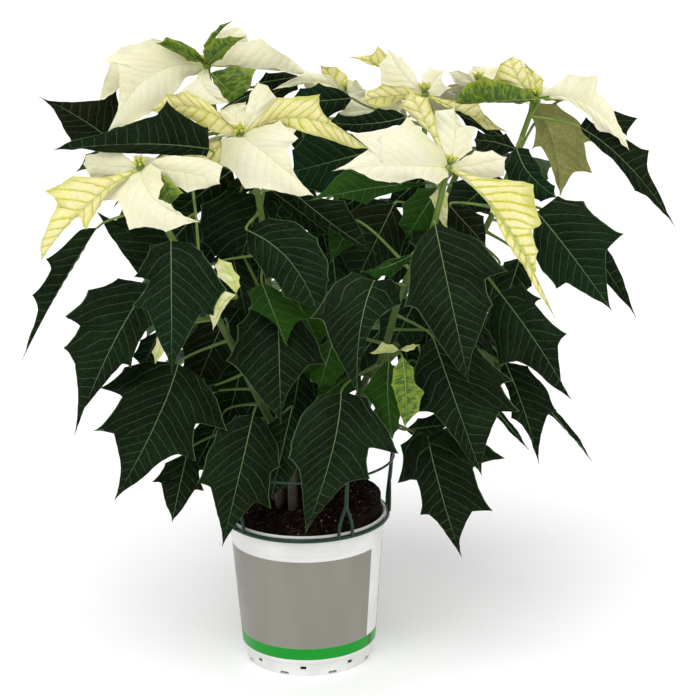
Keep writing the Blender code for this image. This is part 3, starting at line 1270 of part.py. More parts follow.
def soil_solid():
    """Root ball with a lumpy mounded top, clear of the pot by its gap."""
    rng = random.Random(7)
    gap = SOIL_GAP
    wall = POT_WALL
    side = (
        (POT_FOOT_RADIUS - wall - gap, POT_FLOOR_HEIGHT + SOIL_SEAT),
        (POT_FOOT_RADIUS - gap, POT_STEP_HEIGHT - 1.9 * MM),
        (POT_STEP_RADIUS - wall - gap, POT_STEP_HEIGHT + 0.8 * MM),
        (POT_SKIRT_RADIUS - wall - gap, POT_SKIRT_HEIGHT),
    )
    points = [Vector((0.0, 0.0, POT_FLOOR_HEIGHT + SOIL_SEAT))]
    rings = []
    for radius, height in side:
        ring = []
        for k in range(SOIL_SEGMENTS):
            angle = 2.0 * math.pi * k / SOIL_SEGMENTS
            ring.append(len(points))
            points.append(Vector((math.cos(angle) * radius, math.sin(angle) * radius, height)))
        rings.append(ring)
    for share in (1.0, 0.78, 0.5):
        ring = []
        for k in range(SOIL_SEGMENTS):
            angle = 2.0 * math.pi * k / SOIL_SEGMENTS
            x = math.cos(angle) * share * SOIL_TOP_RADIUS
            y = math.sin(angle) * share * SOIL_TOP_RADIUS
            lump = rng.uniform(-SOIL_LUMP, SOIL_LUMP) * (0.4 if share == 1.0 else 1.0)
            ring.append(len(points))
            points.append(Vector((x, y, soil_height(x, y) + lump)))
        rings.append(ring)
    top = len(points)
    points.append(Vector((0.0, 0.0, soil_height(0.0, 0.0))))
    faces = []
    for k in range(SOIL_SEGMENTS):
        faces.append((0, rings[0][(k + 1) % SOIL_SEGMENTS], rings[0][k]))
        faces.append((top, rings[-1][k], rings[-1][(k + 1) % SOIL_SEGMENTS]))
    for low, high in zip(rings, rings[1:]):
        for k in range(SOIL_SEGMENTS):
            after = (k + 1) % SOIL_SEGMENTS
            faces.append((low[k], low[after], high[after]))
            faces.append((low[k], high[after], high[k]))
    return points, faces


def make_soil(look):
    soil = mesh_object("soil", *soil_solid())
    cutters = []
    for number in STEMS:
        foot = heading_point(STEMS[number][0], STEM_RING_RADIUS, HOLE_FLOOR_HEIGHT)
        head = heading_point(STEMS[number][0], STEM_RING_RADIUS, STEM_COLLAR_HEIGHT + 14.2 * MM)
        radius = STEM_FOOT_RADIUS + HOLE_GAP
        cutters.append(mesh_object("hole", *tube([foot, head], [radius, radius], 6)))
    combine(soil, cutters, "DIFFERENCE", "EXACT")
    soil.data.materials.clear()
    soil.data.materials.append(look)
    return soil


def ring_bar(radius, height, half_width, half_height, segments, sides):
    """Closed bar round the pot's axis, four-sided or round."""
    points = []
    faces = []
    for k in range(segments):
        heading = 360.0 * k / segments
        for j in range(sides):
            angle = 2.0 * math.pi * (j + 0.5) / sides
            points.append(heading_point(
                heading, radius + math.cos(angle) * half_width,
                height + math.sin(angle) * half_height))
    for k in range(segments):
        for j in range(sides):
            a = k * sides + j
            b = k * sides + (j + 1) % sides
            c = ((k + 1) % segments) * sides + (j + 1) % sides
            d = ((k + 1) % segments) * sides + j
            faces += [(a, c, b), (a, d, c)]
    return points, faces


def support_solids():
    """Clip ring under the lip, forked uprights and the hoop above the soil."""
    root = math.sqrt(0.5)
    solids = [
        ring_bar(RING_RADIUS, RING_HEIGHT, RING_WIDTH * root, RING_THICKNESS * root, 30, 4),
        ring_bar(HOOP_RADIUS, HOOP_HEIGHT, HOOP_THICKNESS, HOOP_THICKNESS, 25, 4),
    ]
    for heading in UPRIGHT_HEADINGS:
        post = [
            heading_point(heading, RING_RADIUS + 2.6 * MM, POST_FOOT_HEIGHT),
            heading_point(heading, HOOP_RADIUS, HOOP_HEIGHT + 1.0 * MM),
        ]
        solids.append(tube(post, [POST_RADIUS, POST_RADIUS * 0.85], 4))
        for hand in (-1.0, 1.0):
            leg = [
                heading_point(
                    heading + hand * LEG_SPREAD, RING_RADIUS + 1.4 * MM, RING_HEIGHT - 0.6 * MM),
                heading_point(heading + hand * 0.5, RING_RADIUS + 2.7 * MM, POST_FOOT_HEIGHT + 3.0 * MM),
            ]
            solids.append(tube(leg, [LEG_RADIUS] * 2, 3, 0.3))
    return solids


def button_solid(number, scale=1.0):
    """Small rounded seat of a bloom."""
    path = stem_path(number)
    axis = (path[-1] - path[-2]).normalized()
    centre = path[-1] + axis * (BUTTON_RADIUS * 0.85 + BUTTON_GAP)
    path = [centre + axis * (BUTTON_RADIUS * scale * k) for k in (-0.85, -0.35, 0.35, 0.85)]
    radii = [BUTTON_RADIUS * scale * k for k in (0.5, 0.94, 0.94, 0.5)]
    return tube(path, radii, 6)


def bud_solids(number):
    """Cluster of small pointed buds on a little disc."""
    centre = bloom_centre(number)
    facing = bloom_facing(number)
    side = facing.cross(Vector((0.9, 0.3, 0.2))).normalized()
    other = facing.cross(side)
    seat = centre + facing * (BUTTON_RADIUS + BUTTON_GAP + 0.2 * MM)
    solids = [tube([seat, seat + facing * (2.0 * MM)], [2.4 * MM, 3.1 * MM], 4)]
    count = 3 if number in NEAR_BLOOMS else 2
    for k in range(count):
        angle = 2.0 * math.pi * k / count + number
        lean = side * math.cos(angle) + other * math.sin(angle)
        foot = seat + facing * (1.0 * MM) + lean * (1.4 * MM)
        way = (facing + lean * 0.35).normalized()
        path = [foot, foot + way * (BUD_LENGTH * 0.5), foot + way * BUD_LENGTH]
        solids.append(tube(path, [1.2 * MM, BUD_RADIUS * (1.0 - 0.1 * k), 0.8 * MM], 4))
    return solids


def lay_out():
    """Place every blade and petiole; the same rules give the same plant each time."""
    placer = Placer()
    paths = {number: stem_path(number) for number in STEMS}
    for solid in support_solids():
        placer.add("support", 0, *solid)
    placer.add("pot", 0, *turned_solid(pot_profile(), 24))
    placer.add("soil", 0, *soil_solid())
    for number, path in paths.items():
        radii = [radius + BLADE_CLEARANCE for radius in stem_radii(path)]
        placer.add("stem", number, *tube(path, radii, STEM_SIDES))
    for number in BLOOMS:
        placer.add("button", number, *button_solid(number, 1.2))
        for solid in bud_solids(number):
            placer.add("buds", number, *solid)
    blades = place_traced(placer)
    petioles = place_petioles(placer, paths, blades)
    rear_blades, rear_petioles = place_rear(placer, paths)
    return paths, blades + rear_blades, petioles + rear_petioles


def build():
    for thing in list(bpy.data.objects):
        bpy.data.objects.remove(thing)
    looks = {
        "pot": material("pot_plastic", POT_WHITE, 0.38),
        "soil": material("peat", SOIL_BROWN, 0.95),
        "support": material("green_plastic", SUPPORT_GREEN, 0.42),
        "leaf": material("leaf", LEAF_GREEN, 0.5),
        "bract": material("bract", CREAM, 0.6),
        "bud": material("bud", BUD_GREEN, 0.45),
    }
    paths, blades, petioles = lay_out()
    make_pot(looks["pot"])
    make_soil(looks["soil"])
    union("support", support_solids(), looks["support"])
    for number, path in paths.items():
        solids = [tube(path, stem_radii(path), STEM_SIDES)]
        for blade, route in petioles:
            if blade.plant == number:
                solids.append(leaf_solid(blade, route))
        union("leafy_stem_%d" % number, solids, looks["leaf"])
    for number in BLOOMS:
        solids = [button_solid(number)]
        for blade, bract in blades:
            if bract and blade.plant == number:
                solids.append(blade_solid(blade, BLADE_THICKNESS))
        union("bloom_%d" % number, solids, looks["bract"])
        union("buds_%d" % number, bud_solids(number), looks["bud"])
    for thing in bpy.data.objects:
        thing.data.shade_smooth()
        thing.data.set_sharp_from_angle(angle=SHARP_ANGLE)


build()
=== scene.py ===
"""The looks of a potted white poinsettia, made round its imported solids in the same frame.

Z points up and the origin is under the middle of the pot's foot. The leaves and bracts are laid out
by the same rules and the same traced sheet as the solids, then given finely curved blades, veins
and colours. A spot on the front sheet is mm across and mm down from its upper left corner.
"""

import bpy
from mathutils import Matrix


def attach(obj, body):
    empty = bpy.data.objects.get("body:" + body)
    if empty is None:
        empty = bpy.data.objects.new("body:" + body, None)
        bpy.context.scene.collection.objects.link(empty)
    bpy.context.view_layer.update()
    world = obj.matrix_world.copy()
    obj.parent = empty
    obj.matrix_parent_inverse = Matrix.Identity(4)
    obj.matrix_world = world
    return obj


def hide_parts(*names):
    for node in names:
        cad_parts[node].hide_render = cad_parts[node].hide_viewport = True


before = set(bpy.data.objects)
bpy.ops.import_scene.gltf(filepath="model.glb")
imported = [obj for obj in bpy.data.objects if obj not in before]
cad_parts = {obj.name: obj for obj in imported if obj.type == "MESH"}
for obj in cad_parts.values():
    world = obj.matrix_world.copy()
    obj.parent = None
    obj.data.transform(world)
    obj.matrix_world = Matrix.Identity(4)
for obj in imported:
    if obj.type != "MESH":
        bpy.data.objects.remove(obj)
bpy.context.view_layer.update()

import math
import random

import bmesh
import bpy
import numpy as np
from mathutils import Matrix, Vector, noise
from mathutils.bvhtree import BVHTree

MM = 0.001

# The front sheet, seen from two metres and a little above
SHEET_MIDDLE = 348.0
VIEW_DISTANCE = 2.0
VIEW_HEIGHT = 0.3254
VIEW_SIDE = 0.0445
VIEW_PITCH = math.radians(15.1)
VIEW_ROLL = math.radians(0.8)
UP = Vector((0.0, 0.0, 1.0))
FORWARD = Vector((0.0, math.cos(VIEW_PITCH), -math.sin(VIEW_PITCH)))
ABOVE = Vector((0.0, math.sin(VIEW_PITCH), math.cos(VIEW_PITCH)))
EYE = Vector((VIEW_SIDE, 0.0, VIEW_HEIGHT)) - FORWARD * VIEW_DISTANCE

# Pot
POT_RIM_RADIUS = 81.0 * MM
POT_HEIGHT = 155.7 * MM
POT_LIP_HEIGHT = 152.2 * MM
POT_HOLLOW_HEIGHT = 3.6 * MM
POT_FOOT_RADIUS = 64.0 * MM
POT_STEP_HEIGHT = 16.0 * MM
POT_STEP_RADIUS = 68.8 * MM
POT_SKIRT_HEIGHT = 132.0 * MM
POT_SKIRT_RADIUS = 77.6 * MM
POT_WALL = 1.6 * MM
POT_FLOOR_HEIGHT = 5.4 * MM
POT_PAD_RADIUS = 12.0 * MM
POT_NOTCHES = 8
POT_NOTCH_SIZE = (14.0 * MM, 9.0 * MM, 4.8 * MM)
POT_SLOT_SIZE = (9.0 * MM, 6.0 * MM, 3.4 * MM)
POT_SLOT_HEIGHT = 8.6 * MM
POT_SLOT_TURN = 18.0

# Soil
SOIL_GAP = 0.9 * MM
SOIL_SEAT = 0.4 * MM
SOIL_EDGE_HEIGHT = 150.0 * MM
SOIL_MOUND = 10.0 * MM
SOIL_TILT = 22.0 * MM
SOIL_LUMP = 1.6 * MM
SOIL_TOP_RADIUS = 76.0 * MM
SOIL_SEGMENTS = 20
STEM_RING_RADIUS = 30.0 * MM
STEM_FOOT_HEIGHT = 141.0 * MM
STEM_COLLAR_HEIGHT = 186.0 * MM

# Support
RING_RADIUS = 83.1 * MM
RING_HEIGHT = 151.6 * MM
RING_WIDTH = 2.6 * MM
RING_THICKNESS = 3.0 * MM
UPRIGHT_HEADINGS = (28.0, 98.0, 168.0, 238.0, 308.0)
LEG_SPREAD = 5.2
LEG_RADIUS = 2.1 * MM
POST_RADIUS = 2.4 * MM
POST_FOOT_HEIGHT = 180.0 * MM
HOOP_HEIGHT = 214.0 * MM
HOOP_RADIUS = 89.5 * MM
HOOP_THICKNESS = 1.3 * MM

# Stems, blades and buds
BLADE_THICKNESS = 0.8 * MM
BLADE_CLEARANCE = 0.8 * MM
PLACED_THICKNESS = BLADE_THICKNESS + 2.0 * BLADE_CLEARANCE
STEM_FOOT_RADIUS = 5.2 * MM
STEM_TOP_RADIUS = 2.7 * MM
STEM_SIDES = 5
PETIOLE_RADIUS = 1.5 * MM
PETIOLE_SIDES = 3
BUTTON_RADIUS = 4.5 * MM
BUTTON_GAP = 0.3 * MM
BUD_RADIUS = 2.7 * MM
BUD_LENGTH = 8.0 * MM
FOOT_NUDGE = 0.25 * MM
PETIOLE_LOWEST = 185.0 * MM
PETIOLE_SHORTEST = 26.0 * MM

# Rear blades: how far a leaf stands off its stem, and the turns, tilts and sizes that are tried
REAR_LEAF_REACH = 42.0 * MM
REAR_LEAF_LIFT = 12.0 * MM
REAR_ROLL = math.radians(8.0)
TURNS = (0, 12, -12, 24, -24, 36, -36, 50, -50)
TILTS = (0, -12, 10, -24, 20, -36)
SCALES = (1.0, 0.86, 0.74)

# Widest points of a rear blade: share of its length, and half width as a share of its width
LEAF_SHAPE = ((0.14, 0.36), (0.38, 0.5), (0.56, 0.33), (0.72, 0.3))
BRACT_SHAPE = ((0.24, 0.32), (0.5, 0.46), (0.76, 0.26))
CUPPING = 0.1

# Moves in depth that a traced blade tries in turn, in mm: foot, tip and, for bracts, the arch
LEAF_SHIFTS = (
    (0, 0), (6, 6), (-6, -6), (0, 10), (0, -10), (10, 0), (-10, 0), (12, 12), (-12, -12),
    (10, 20), (-10, -20), (18, 18), (-18, -18), (0, 20), (0, -20), (20, 0), (-20, 0), (25, 25),
    (-25, -25), (15, 35), (-15, -35), (34, 34), (-34, -34), (0, 34), (0, -34), (34, 0), (-34, 0),
    (45, 45), (-45, -45), (20, 50), (-20, -50), (56, 56), (-56, -56), (70, 70), (-70, -70),
)
BRACT_SHIFTS = (
    (0, 0), (0, 6), (0, -6), (0, 12), (0, -12), (0, 6, 6), (0, -6, -6), (0, 18), (0, -18),
    (0, 0, 8), (0, 0, -8), (0, 12, 8), (0, -12, -8), (0, 24), (0, -24), (0, 24, 10), (0, -24, -10),
    (0, 32), (0, -32), (0, 0, 14), (0, 0, -14), (0, 40), (0, -40), (0, 50, 10), (0, -50, -10),
)

# Stems: heading of the foot on its ring, then spots (across, down, depth) up to the bloom
STEMS = {
    1: (264, ((277, 440, 14), (258, 300, 42), (228, 180, 64), (213, 105, 66), (207, 66, 60))),
    2: (298, ((281, 440, -18), (272, 330, -34), (262, 220, -48), (246, 160, -56), (241, 135, -60))),
    3: (334, ((286, 450, -38), (257, 395, -52), (224, 330, -64), (186, 262, -86), (158, 212, -102),
              (141, 168, -110))),
    4: (50, ((352, 440, -28), (384, 350, -50), (402, 290, -64), (430, 235, -84), (439, 205, -90),
             (448, 168, -90))),
    5: (88, ((352, 450, 2), (392, 330, 20), (415, 245, 36), (419, 195, 44), (424, 140, 50),
             (425, 95, 50))),
    6: (124, ((356, 450, 26), (420, 330, 34), (482, 235, 24), (517, 150, 14), (524, 126, 12),
              (536, 99, 10))),
    7: (196, ((308, 430, 44), (330, 250, 76), (342, 150, 92), (347, 93, 92))),
    8: (160, ((338, 440, 50), (400, 300, 100), (462, 160, 146), (478, 84, 150))),
    9: (230, ((280, 440, 54), (258, 330, 112), (250, 210, 164), (262, 138, 176))),
    10: (14, ((324, 470, -38), (344, 425, -52), (370, 390, -64), (388, 362, -76), (397, 344, -84))),
}
BLOOMS = (1, 2, 3, 4, 5, 6, 7, 8, 9)
FRONT_BLOOMS = (2, 3)
NEAR_BLOOMS = (1, 2, 3, 5, 6)

# Outline of the plant on the front sheet: hidden rear blades stay inside it
CANOPY = (
    (60, 106), (112, 104), (122, 66), (150, 46), (196, 48), (214, 44), (243, 46), (262, 68),
    (300, 80), (318, 76), (345, 80), (362, 90), (382, 90), (386, 66), (402, 66), (414, 78),
    (455, 84), (462, 106), (490, 134), (515, 150), (532, 168), (552, 192), (575, 202), (592, 214),
    (598, 230), (602, 252), (603, 284), (565, 280), (556, 284), (540, 268), (528, 285), (538, 300),
    (556, 332), (560, 378), (543, 384), (543, 410), (536, 446), (526, 422), (512, 415), (508, 397),
    (496, 412), (486, 440), (478, 460), (470, 500), (456, 540), (440, 525), (422, 510), (419, 478),
    (400, 474), (401, 450), (385, 447), (366, 444), (364, 474), (345, 478), (300, 482), (268, 496),
    (240, 512), (222, 536), (213, 500), (204, 486), (173, 514), (157, 480), (160, 464), (120, 494),
    (122, 465), (100, 428), (124, 400), (104, 390), (80, 408), (79, 365), (70, 346), (84, 325),
    (72, 315), (90, 292), (134, 280), (120, 246), (117, 224), (126, 226), (106, 198), (60, 236),
    (54, 200), (52, 190), (84, 174), (84, 156), (74, 138), (62, 112),
)
CANOPY_RIGHT = (
    (455, 84), (484, 76), (500, 64), (514, 58), (532, 68), (544, 82), (568, 76), (594, 77),
    (610, 106), (624, 146), (600, 134), (592, 130), (594, 140), (590, 172), (574, 176), (560, 194),
    (540, 170), (531, 128), (520, 104), (462, 102),
)


class Blade:
    """A leaf or bract: midrib and two edges, base to tip, as rows of points."""

    def __init__(self, kind, plant, base, mids, tip, left, right, splits):
        self.kind = kind
        self.plant = plant
        self.base = base
        self.mids = mids
        self.tip = tip
        self.left = left
        self.right = right
        self.splits = splits


def seen(across, down, depth):
    """World point that a spot on the front sheet shows at a depth."""
    over = (across - SHEET_MIDDLE) * MM / VIEW_DISTANCE
    rise = (SHEET_MIDDLE - down) * MM / VIEW_DISTANCE
    side = over * math.cos(VIEW_ROLL) + rise * math.sin(VIEW_ROLL)
    lift = rise * math.cos(VIEW_ROLL) - over * math.sin(VIEW_ROLL)
    ray = FORWARD + Vector((side, 0.0, 0.0)) + ABOVE * lift
    return EYE + ray * ((depth * MM - EYE.y) / ray.y)


def shown(point):
    """Spot on the front sheet where a world point is seen."""
    away = point - EYE
    far = away.dot(FORWARD)
    side = away.x / far * VIEW_DISTANCE / MM
    lift = away.dot(ABOVE) / far * VIEW_DISTANCE / MM
    over = side * math.cos(VIEW_ROLL) - lift * math.sin(VIEW_ROLL)
    rise = side * math.sin(VIEW_ROLL) + lift * math.cos(VIEW_ROLL)
    return (SHEET_MIDDLE + over, SHEET_MIDDLE - rise)


def inside(outline, spot):
    """Whether a spot on the sheet lies within an outline."""
    within = False
    before = outline[-1]
    for corner in outline:
        if (corner[1] > spot[1]) != (before[1] > spot[1]):
            cut = (before[0] - corner[0]) * (spot[1] - corner[1]) / (before[1] - corner[1])
            if spot[0] < cut + corner[0]:
                within = not within
        before = corner
    return within


def curve_spot(base, via, tip, share):
    """Point at a share of a bowed line that passes the via point at its middle."""
    rest = 1.0 - share
    bow = tuple(2.0 * v - 0.5 * (b + t) for b, v, t in zip(base, via, tip))
    return tuple(
        rest * rest * b + 2.0 * rest * share * c + share * share * t
        for b, c, t in zip(base, bow, tip)
    )


def nearest_share(base, via, tip, spot):
    """Share along the midrib nearest a spot, and the distance there."""
    best = (1e9, 0.0)
    for step in range(51):
        share = step / 50.0
        place = curve_spot(base, via, tip, share)
        reach = math.hypot(place[0] - spot[0], place[1] - spot[1])
        best = min(best, (reach, share))
    return best[1], best[0]


def turn(a, b, c):
    """Twice the signed area of a triangle on the sheet, positive when it runs anticlockwise."""
    return (b[1] - a[1]) * (c[0] - a[0]) - (b[0] - a[0]) * (c[1] - a[1])


def quad_split(rim_a, rim_b, mid_a, mid_b, left_side):
    """Which way to split one quad of a blade so that neither half folds over."""
    sign = 1.0 if left_side else -1.0
    first = min(sign * turn(rim_a, rim_b, mid_a), sign * turn(rim_b, mid_b, mid_a))
    second = min(sign * turn(rim_a, rim_b, mid_b), sign * turn(rim_a, mid_b, mid_a))
    return 0 if first >= second else 1


def lay_traced(row, base_shift, tip_shift, bow_shift=0.0):
    """Blade from its traced outline, moved in depth along the lines of sight."""
    kind, plant, base, tip, via, depths, left, right = row
    via = via or tuple(0.5 * (b + t) for b, t in zip(base, tip))
    loop = [base, *left, tip, *reversed(right)]
    area = sum(turn((0, 0), loop[i - 1], loop[i]) for i in range(len(loop)))
    if area < 0.0:
        left, right = right, left
    start = depths[0] + base_shift
    change = depths[1] + tip_shift - start
    arch = depths[2] + bow_shift
    fold = depths[3]

    def depth_at(share):
        return start + change * share + arch * 4.0 * share * (1.0 - share)

    def edge_point(spot, order):
        share, reach = nearest_share(base, via, tip, spot)
        wave = 1.5 if order % 2 else -1.0
        extra = spot[2] if len(spot) > 2 else 0.0
        return seen(spot[0], spot[1], depth_at(share) + fold * reach + wave + extra)

    length = math.hypot(tip[0] - base[0], tip[1] - base[1])
    shares = []
    for order, (one, two) in enumerate(zip(left, right)):
        share_one, reach_one = nearest_share(base, via, tip, one)
        share_two, reach_two = nearest_share(base, via, tip, two)
        share = 0.5 * (share_one + share_two) - 0.16 * (reach_one + reach_two) / length
        floor = shares[-1] + 0.05 if shares else 0.06
        shares.append(max(floor, min(share, 0.95 - 0.05 * (len(left) - 1 - order))))
    spots = [curve_spot(base, via, tip, share) for share in shares]
    mids = [seen(p[0], p[1], depth_at(share)) for p, share in zip(spots, shares)]
    splits = []
    for i in range(len(left) - 1):
        splits.append((
            quad_split(left[i], left[i + 1], spots[i], spots[i + 1], True),
            quad_split(right[i], right[i + 1], spots[i], spots[i + 1], False),
        ))
    return Blade(
        kind, plant,
        seen(base[0], base[1], depth_at(0.0)), mids, seen(tip[0], tip[1], depth_at(1.0)),
        [edge_point(spot, order) for order, spot in enumerate(left)],
        [edge_point(spot, order) for order, spot in enumerate(right)],
        splits,
    )


def lay_turned(kind, plant, base, heading, rise, droop, length, width, roll):
    """Blade set by its heading, its rise at the base and its droop at the tip."""
    shape = BRACT_SHAPE if kind == "cream" else LEAF_SHAPE
    way = Vector((math.sin(heading), -math.cos(heading), 0.0))
    side = Vector((math.cos(heading), math.sin(heading), 0.0))

    def midrib(share):
        pitch = rise + (droop - rise) * share * 0.5
        return base + (way * math.cos(pitch) + UP * math.sin(pitch)) * (length * share)

    def edge(share, half, hand):
        pitch = rise + (droop - rise) * share
        normal = UP * math.cos(pitch) - way * math.sin(pitch)
        across = side * math.cos(roll) + normal * math.sin(roll)
        return midrib(share) + across * (hand * half * width) + normal * (CUPPING * half * width)

    mids = [midrib(max(0.05, share - 0.1)) for share, half in shape]
    left = [edge(share, half, 1.0) for share, half in shape]
    right = [edge(share, half, -1.0) for share, half in shape]
    splits = [(0, 0)] * (len(shape) - 1)
    return Blade(kind, plant, base, mids, midrib(1.0), left, right, splits)


def blade_faces(blade):
    """Upper-face triangles of a blade and its edge loop, by point number."""
    count = len(blade.mids)
    mid = [1 + i for i in range(count)]
    left = [1 + count + i for i in range(count)]
    right = [1 + 2 * count + i for i in range(count)]
    tip = 1 + 3 * count
    faces = [(0, left[0], mid[0]), (0, mid[0], right[0])]
    for i in range(count - 1):
        if blade.splits[i][0] == 0:
            faces += [(left[i], left[i + 1], mid[i]), (left[i + 1], mid[i + 1], mid[i])]
        else:
            faces += [(left[i], left[i + 1], mid[i + 1]), (left[i], mid[i + 1], mid[i])]
        if blade.splits[i][1] == 0:
            faces += [(mid[i], mid[i + 1], right[i + 1]), (mid[i], right[i + 1], right[i])]
        else:
            faces += [(mid[i], mid[i + 1], right[i]), (mid[i + 1], right[i + 1], right[i])]
    faces += [(left[-1], tip, mid[-1]), (mid[-1], tip, right[-1])]
    loop = [0, *left, tip, *reversed(right)]
    return faces, loop


def blade_solid(blade, thickness, skip_base=False):
    """Points and triangles of a blade as a thin solid, thick evenly about its middle."""
    points = [blade.base, *blade.mids, *blade.left, *blade.right, blade.tip]
    faces, loop = blade_faces(blade)
    if skip_base:
        faces = faces[2:]
        count = len(blade.mids)
        loop = [1 + count, *loop[2:-1], 1 + 2 * count, 1]
    normals = [Vector() for _ in points]
    for a, b, c in faces:
        normal = (points[b] - points[a]).cross(points[c] - points[a])
        for corner in (a, b, c):
            normals[corner] += normal
    half = 0.5 * thickness
    upper = []
    lower = []
    for point, normal in zip(points, normals):
        step = normal.normalized() * half if normal.length else Vector((0.0, 0.0, half))
        upper.append(point + step)
        lower.append(point - step)
    size = len(points)
    solid = [tuple(face) for face in faces]
    solid += [(c + size, b + size, a + size) for a, b, c in faces]
    for i, start in enumerate(loop):
        end = loop[(i + 1) % len(loop)]
        solid.append((start + size, end + size, end))
        solid.append((start + size, end, start))
    return upper + lower, solid


def frame_along(path):
    """Side vectors that turn as little as possible along a path."""
    frames = []
    side = None
    for i in range(len(path)):
        ahead = path[min(i + 1, len(path) - 1)] - path[max(i - 1, 0)]
        ahead.normalize()
        if side is None:
            side = ahead.cross(Vector((0.31, 0.87, 0.37))).normalized()
        side = (side - ahead * side.dot(ahead)).normalized()
        frames.append((side, ahead.cross(side).normalized()))
    return frames


def tube(path, radii, sides, turn_by=0.0):
    """Points and triangles of a round bar along a path."""
    points = []
    faces = []
    for (side, other), point, radius in zip(frame_along(path), path, radii):
        for k in range(sides):
            angle = 2.0 * math.pi * k / sides + turn_by
            points.append(point + side * (math.cos(angle) * radius) + other * (math.sin(angle) * radius))
    for i in range(len(path) - 1):
        for k in range(sides):
            a = i * sides + k
            b = i * sides + (k + 1) % sides
            faces += [(a, b, b + sides), (a, b + sides, a + sides)]
    last = (len(path) - 1) * sides
    for k in range(1, sides - 1):
        faces.append((0, k + 1, k))
        faces.append((last, last + k, last + k + 1))
    return points, faces


def smooth_path(spots, steps):
    """Points of a smooth curve through the given points."""
    padded = [spots[0] * 2.0 - spots[1], *spots, spots[-1] * 2.0 - spots[-2]]
    path = []
    for i in range(1, len(padded) - 2):
        p0, p1, p2, p3 = padded[i - 1:i + 3]
        for k in range(steps):
            t = k / steps
            path.append(0.5 * (
                p1 * 2.0 + (p2 - p0) * t + (p0 * 2.0 - p1 * 5.0 + p2 * 4.0 - p3) * (t * t)
                + (p1 * 3.0 - p0 - p2 * 3.0 + p3) * (t * t * t)
            ))
    path.append(spots[-1].copy())
    return path


def plain_path(path, slack):
    """The path without the points that lie nearly on the line between their neighbours."""
    kept = [path[0]]
    for i in range(1, len(path) - 1):
        way = path[i + 1] - kept[-1]
        off = path[i] - kept[-1]
        if (off - way * (off.dot(way) / way.dot(way))).length > slack:
            kept.append(path[i])
    kept.append(path[-1])
    return kept


def point_along(path, share):
    """Point at a share of a path's length."""
    left = share * sum((b - a).length for a, b in zip(path, path[1:]))
    for a, b in zip(path, path[1:]):
        step = (b - a).length
        if left <= step:
            return a.lerp(b, left / step)
        left -= step
    return path[-1].copy()


def heading_point(heading, radius, height):
    """Point at a heading in degrees, from the front round towards +X."""
    angle = math.radians(heading)
    return Vector((math.sin(angle) * radius, -math.cos(angle) * radius, height))


def smoothstep(value):
    """A smooth rise from nought to one."""
    value = max(0.0, min(1.0, value))
    return value * value * (3.0 - 2.0 * value)


def soil_height(x, y):
    """Height of the soil's top, highest towards the back right."""
    edge = min(1.0, math.hypot(x, y) / SOIL_TOP_RADIUS)
    tilt = smoothstep(0.5 + 0.5 * (0.8 * x + 0.6 * y) / SOIL_TOP_RADIUS)
    return SOIL_EDGE_HEIGHT + SOIL_MOUND * (1.0 - edge ** 4) + SOIL_TILT * tilt


def stem_path(number):
    """Centre line of a stem, from its hole in the soil to just under its bloom."""
    heading, spots = STEMS[number]
    foot = heading_point(heading, STEM_RING_RADIUS, STEM_FOOT_HEIGHT)
    collar = heading_point(heading, STEM_RING_RADIUS, STEM_COLLAR_HEIGHT)
    knee = heading_point(heading, STEM_RING_RADIUS, STEM_COLLAR_HEIGHT + 20.0 * MM)
    points = [foot, collar, knee] + [seen(*spot) for spot in spots]
    if number in BLOOMS:
        back = (points[-2] - points[-1]).normalized()
        points[-1] = points[-1] + back * (BUTTON_RADIUS * 0.85 + BUTTON_GAP)
    path = smooth_path(points, 2)
    return [path[0], *plain_path(path[2:], 1.2 * MM)]


def stem_radii(path):
    """Radius of a stem at each point of its path."""
    last = len(path) - 1
    return [STEM_FOOT_RADIUS + (STEM_TOP_RADIUS - STEM_FOOT_RADIUS) * i / last for i in range(last + 1)]


def bloom_centre(number):
    """Middle of a bloom, where its bracts meet."""
    return seen(*STEMS[number][1][-1])


def bloom_facing(number):
    """Direction in which a bloom looks."""
    if number in FRONT_BLOOMS:
        return Vector((-0.1, -0.62, 0.78)).normalized()
    if number == 4:
        return Vector((0.3, 0.1, 0.95)).normalized()
    if number in (8, 9):
        return Vector((0.0, 0.35, 0.94)).normalized()
    return Vector((0.0, -0.3, 0.95)).normalized()


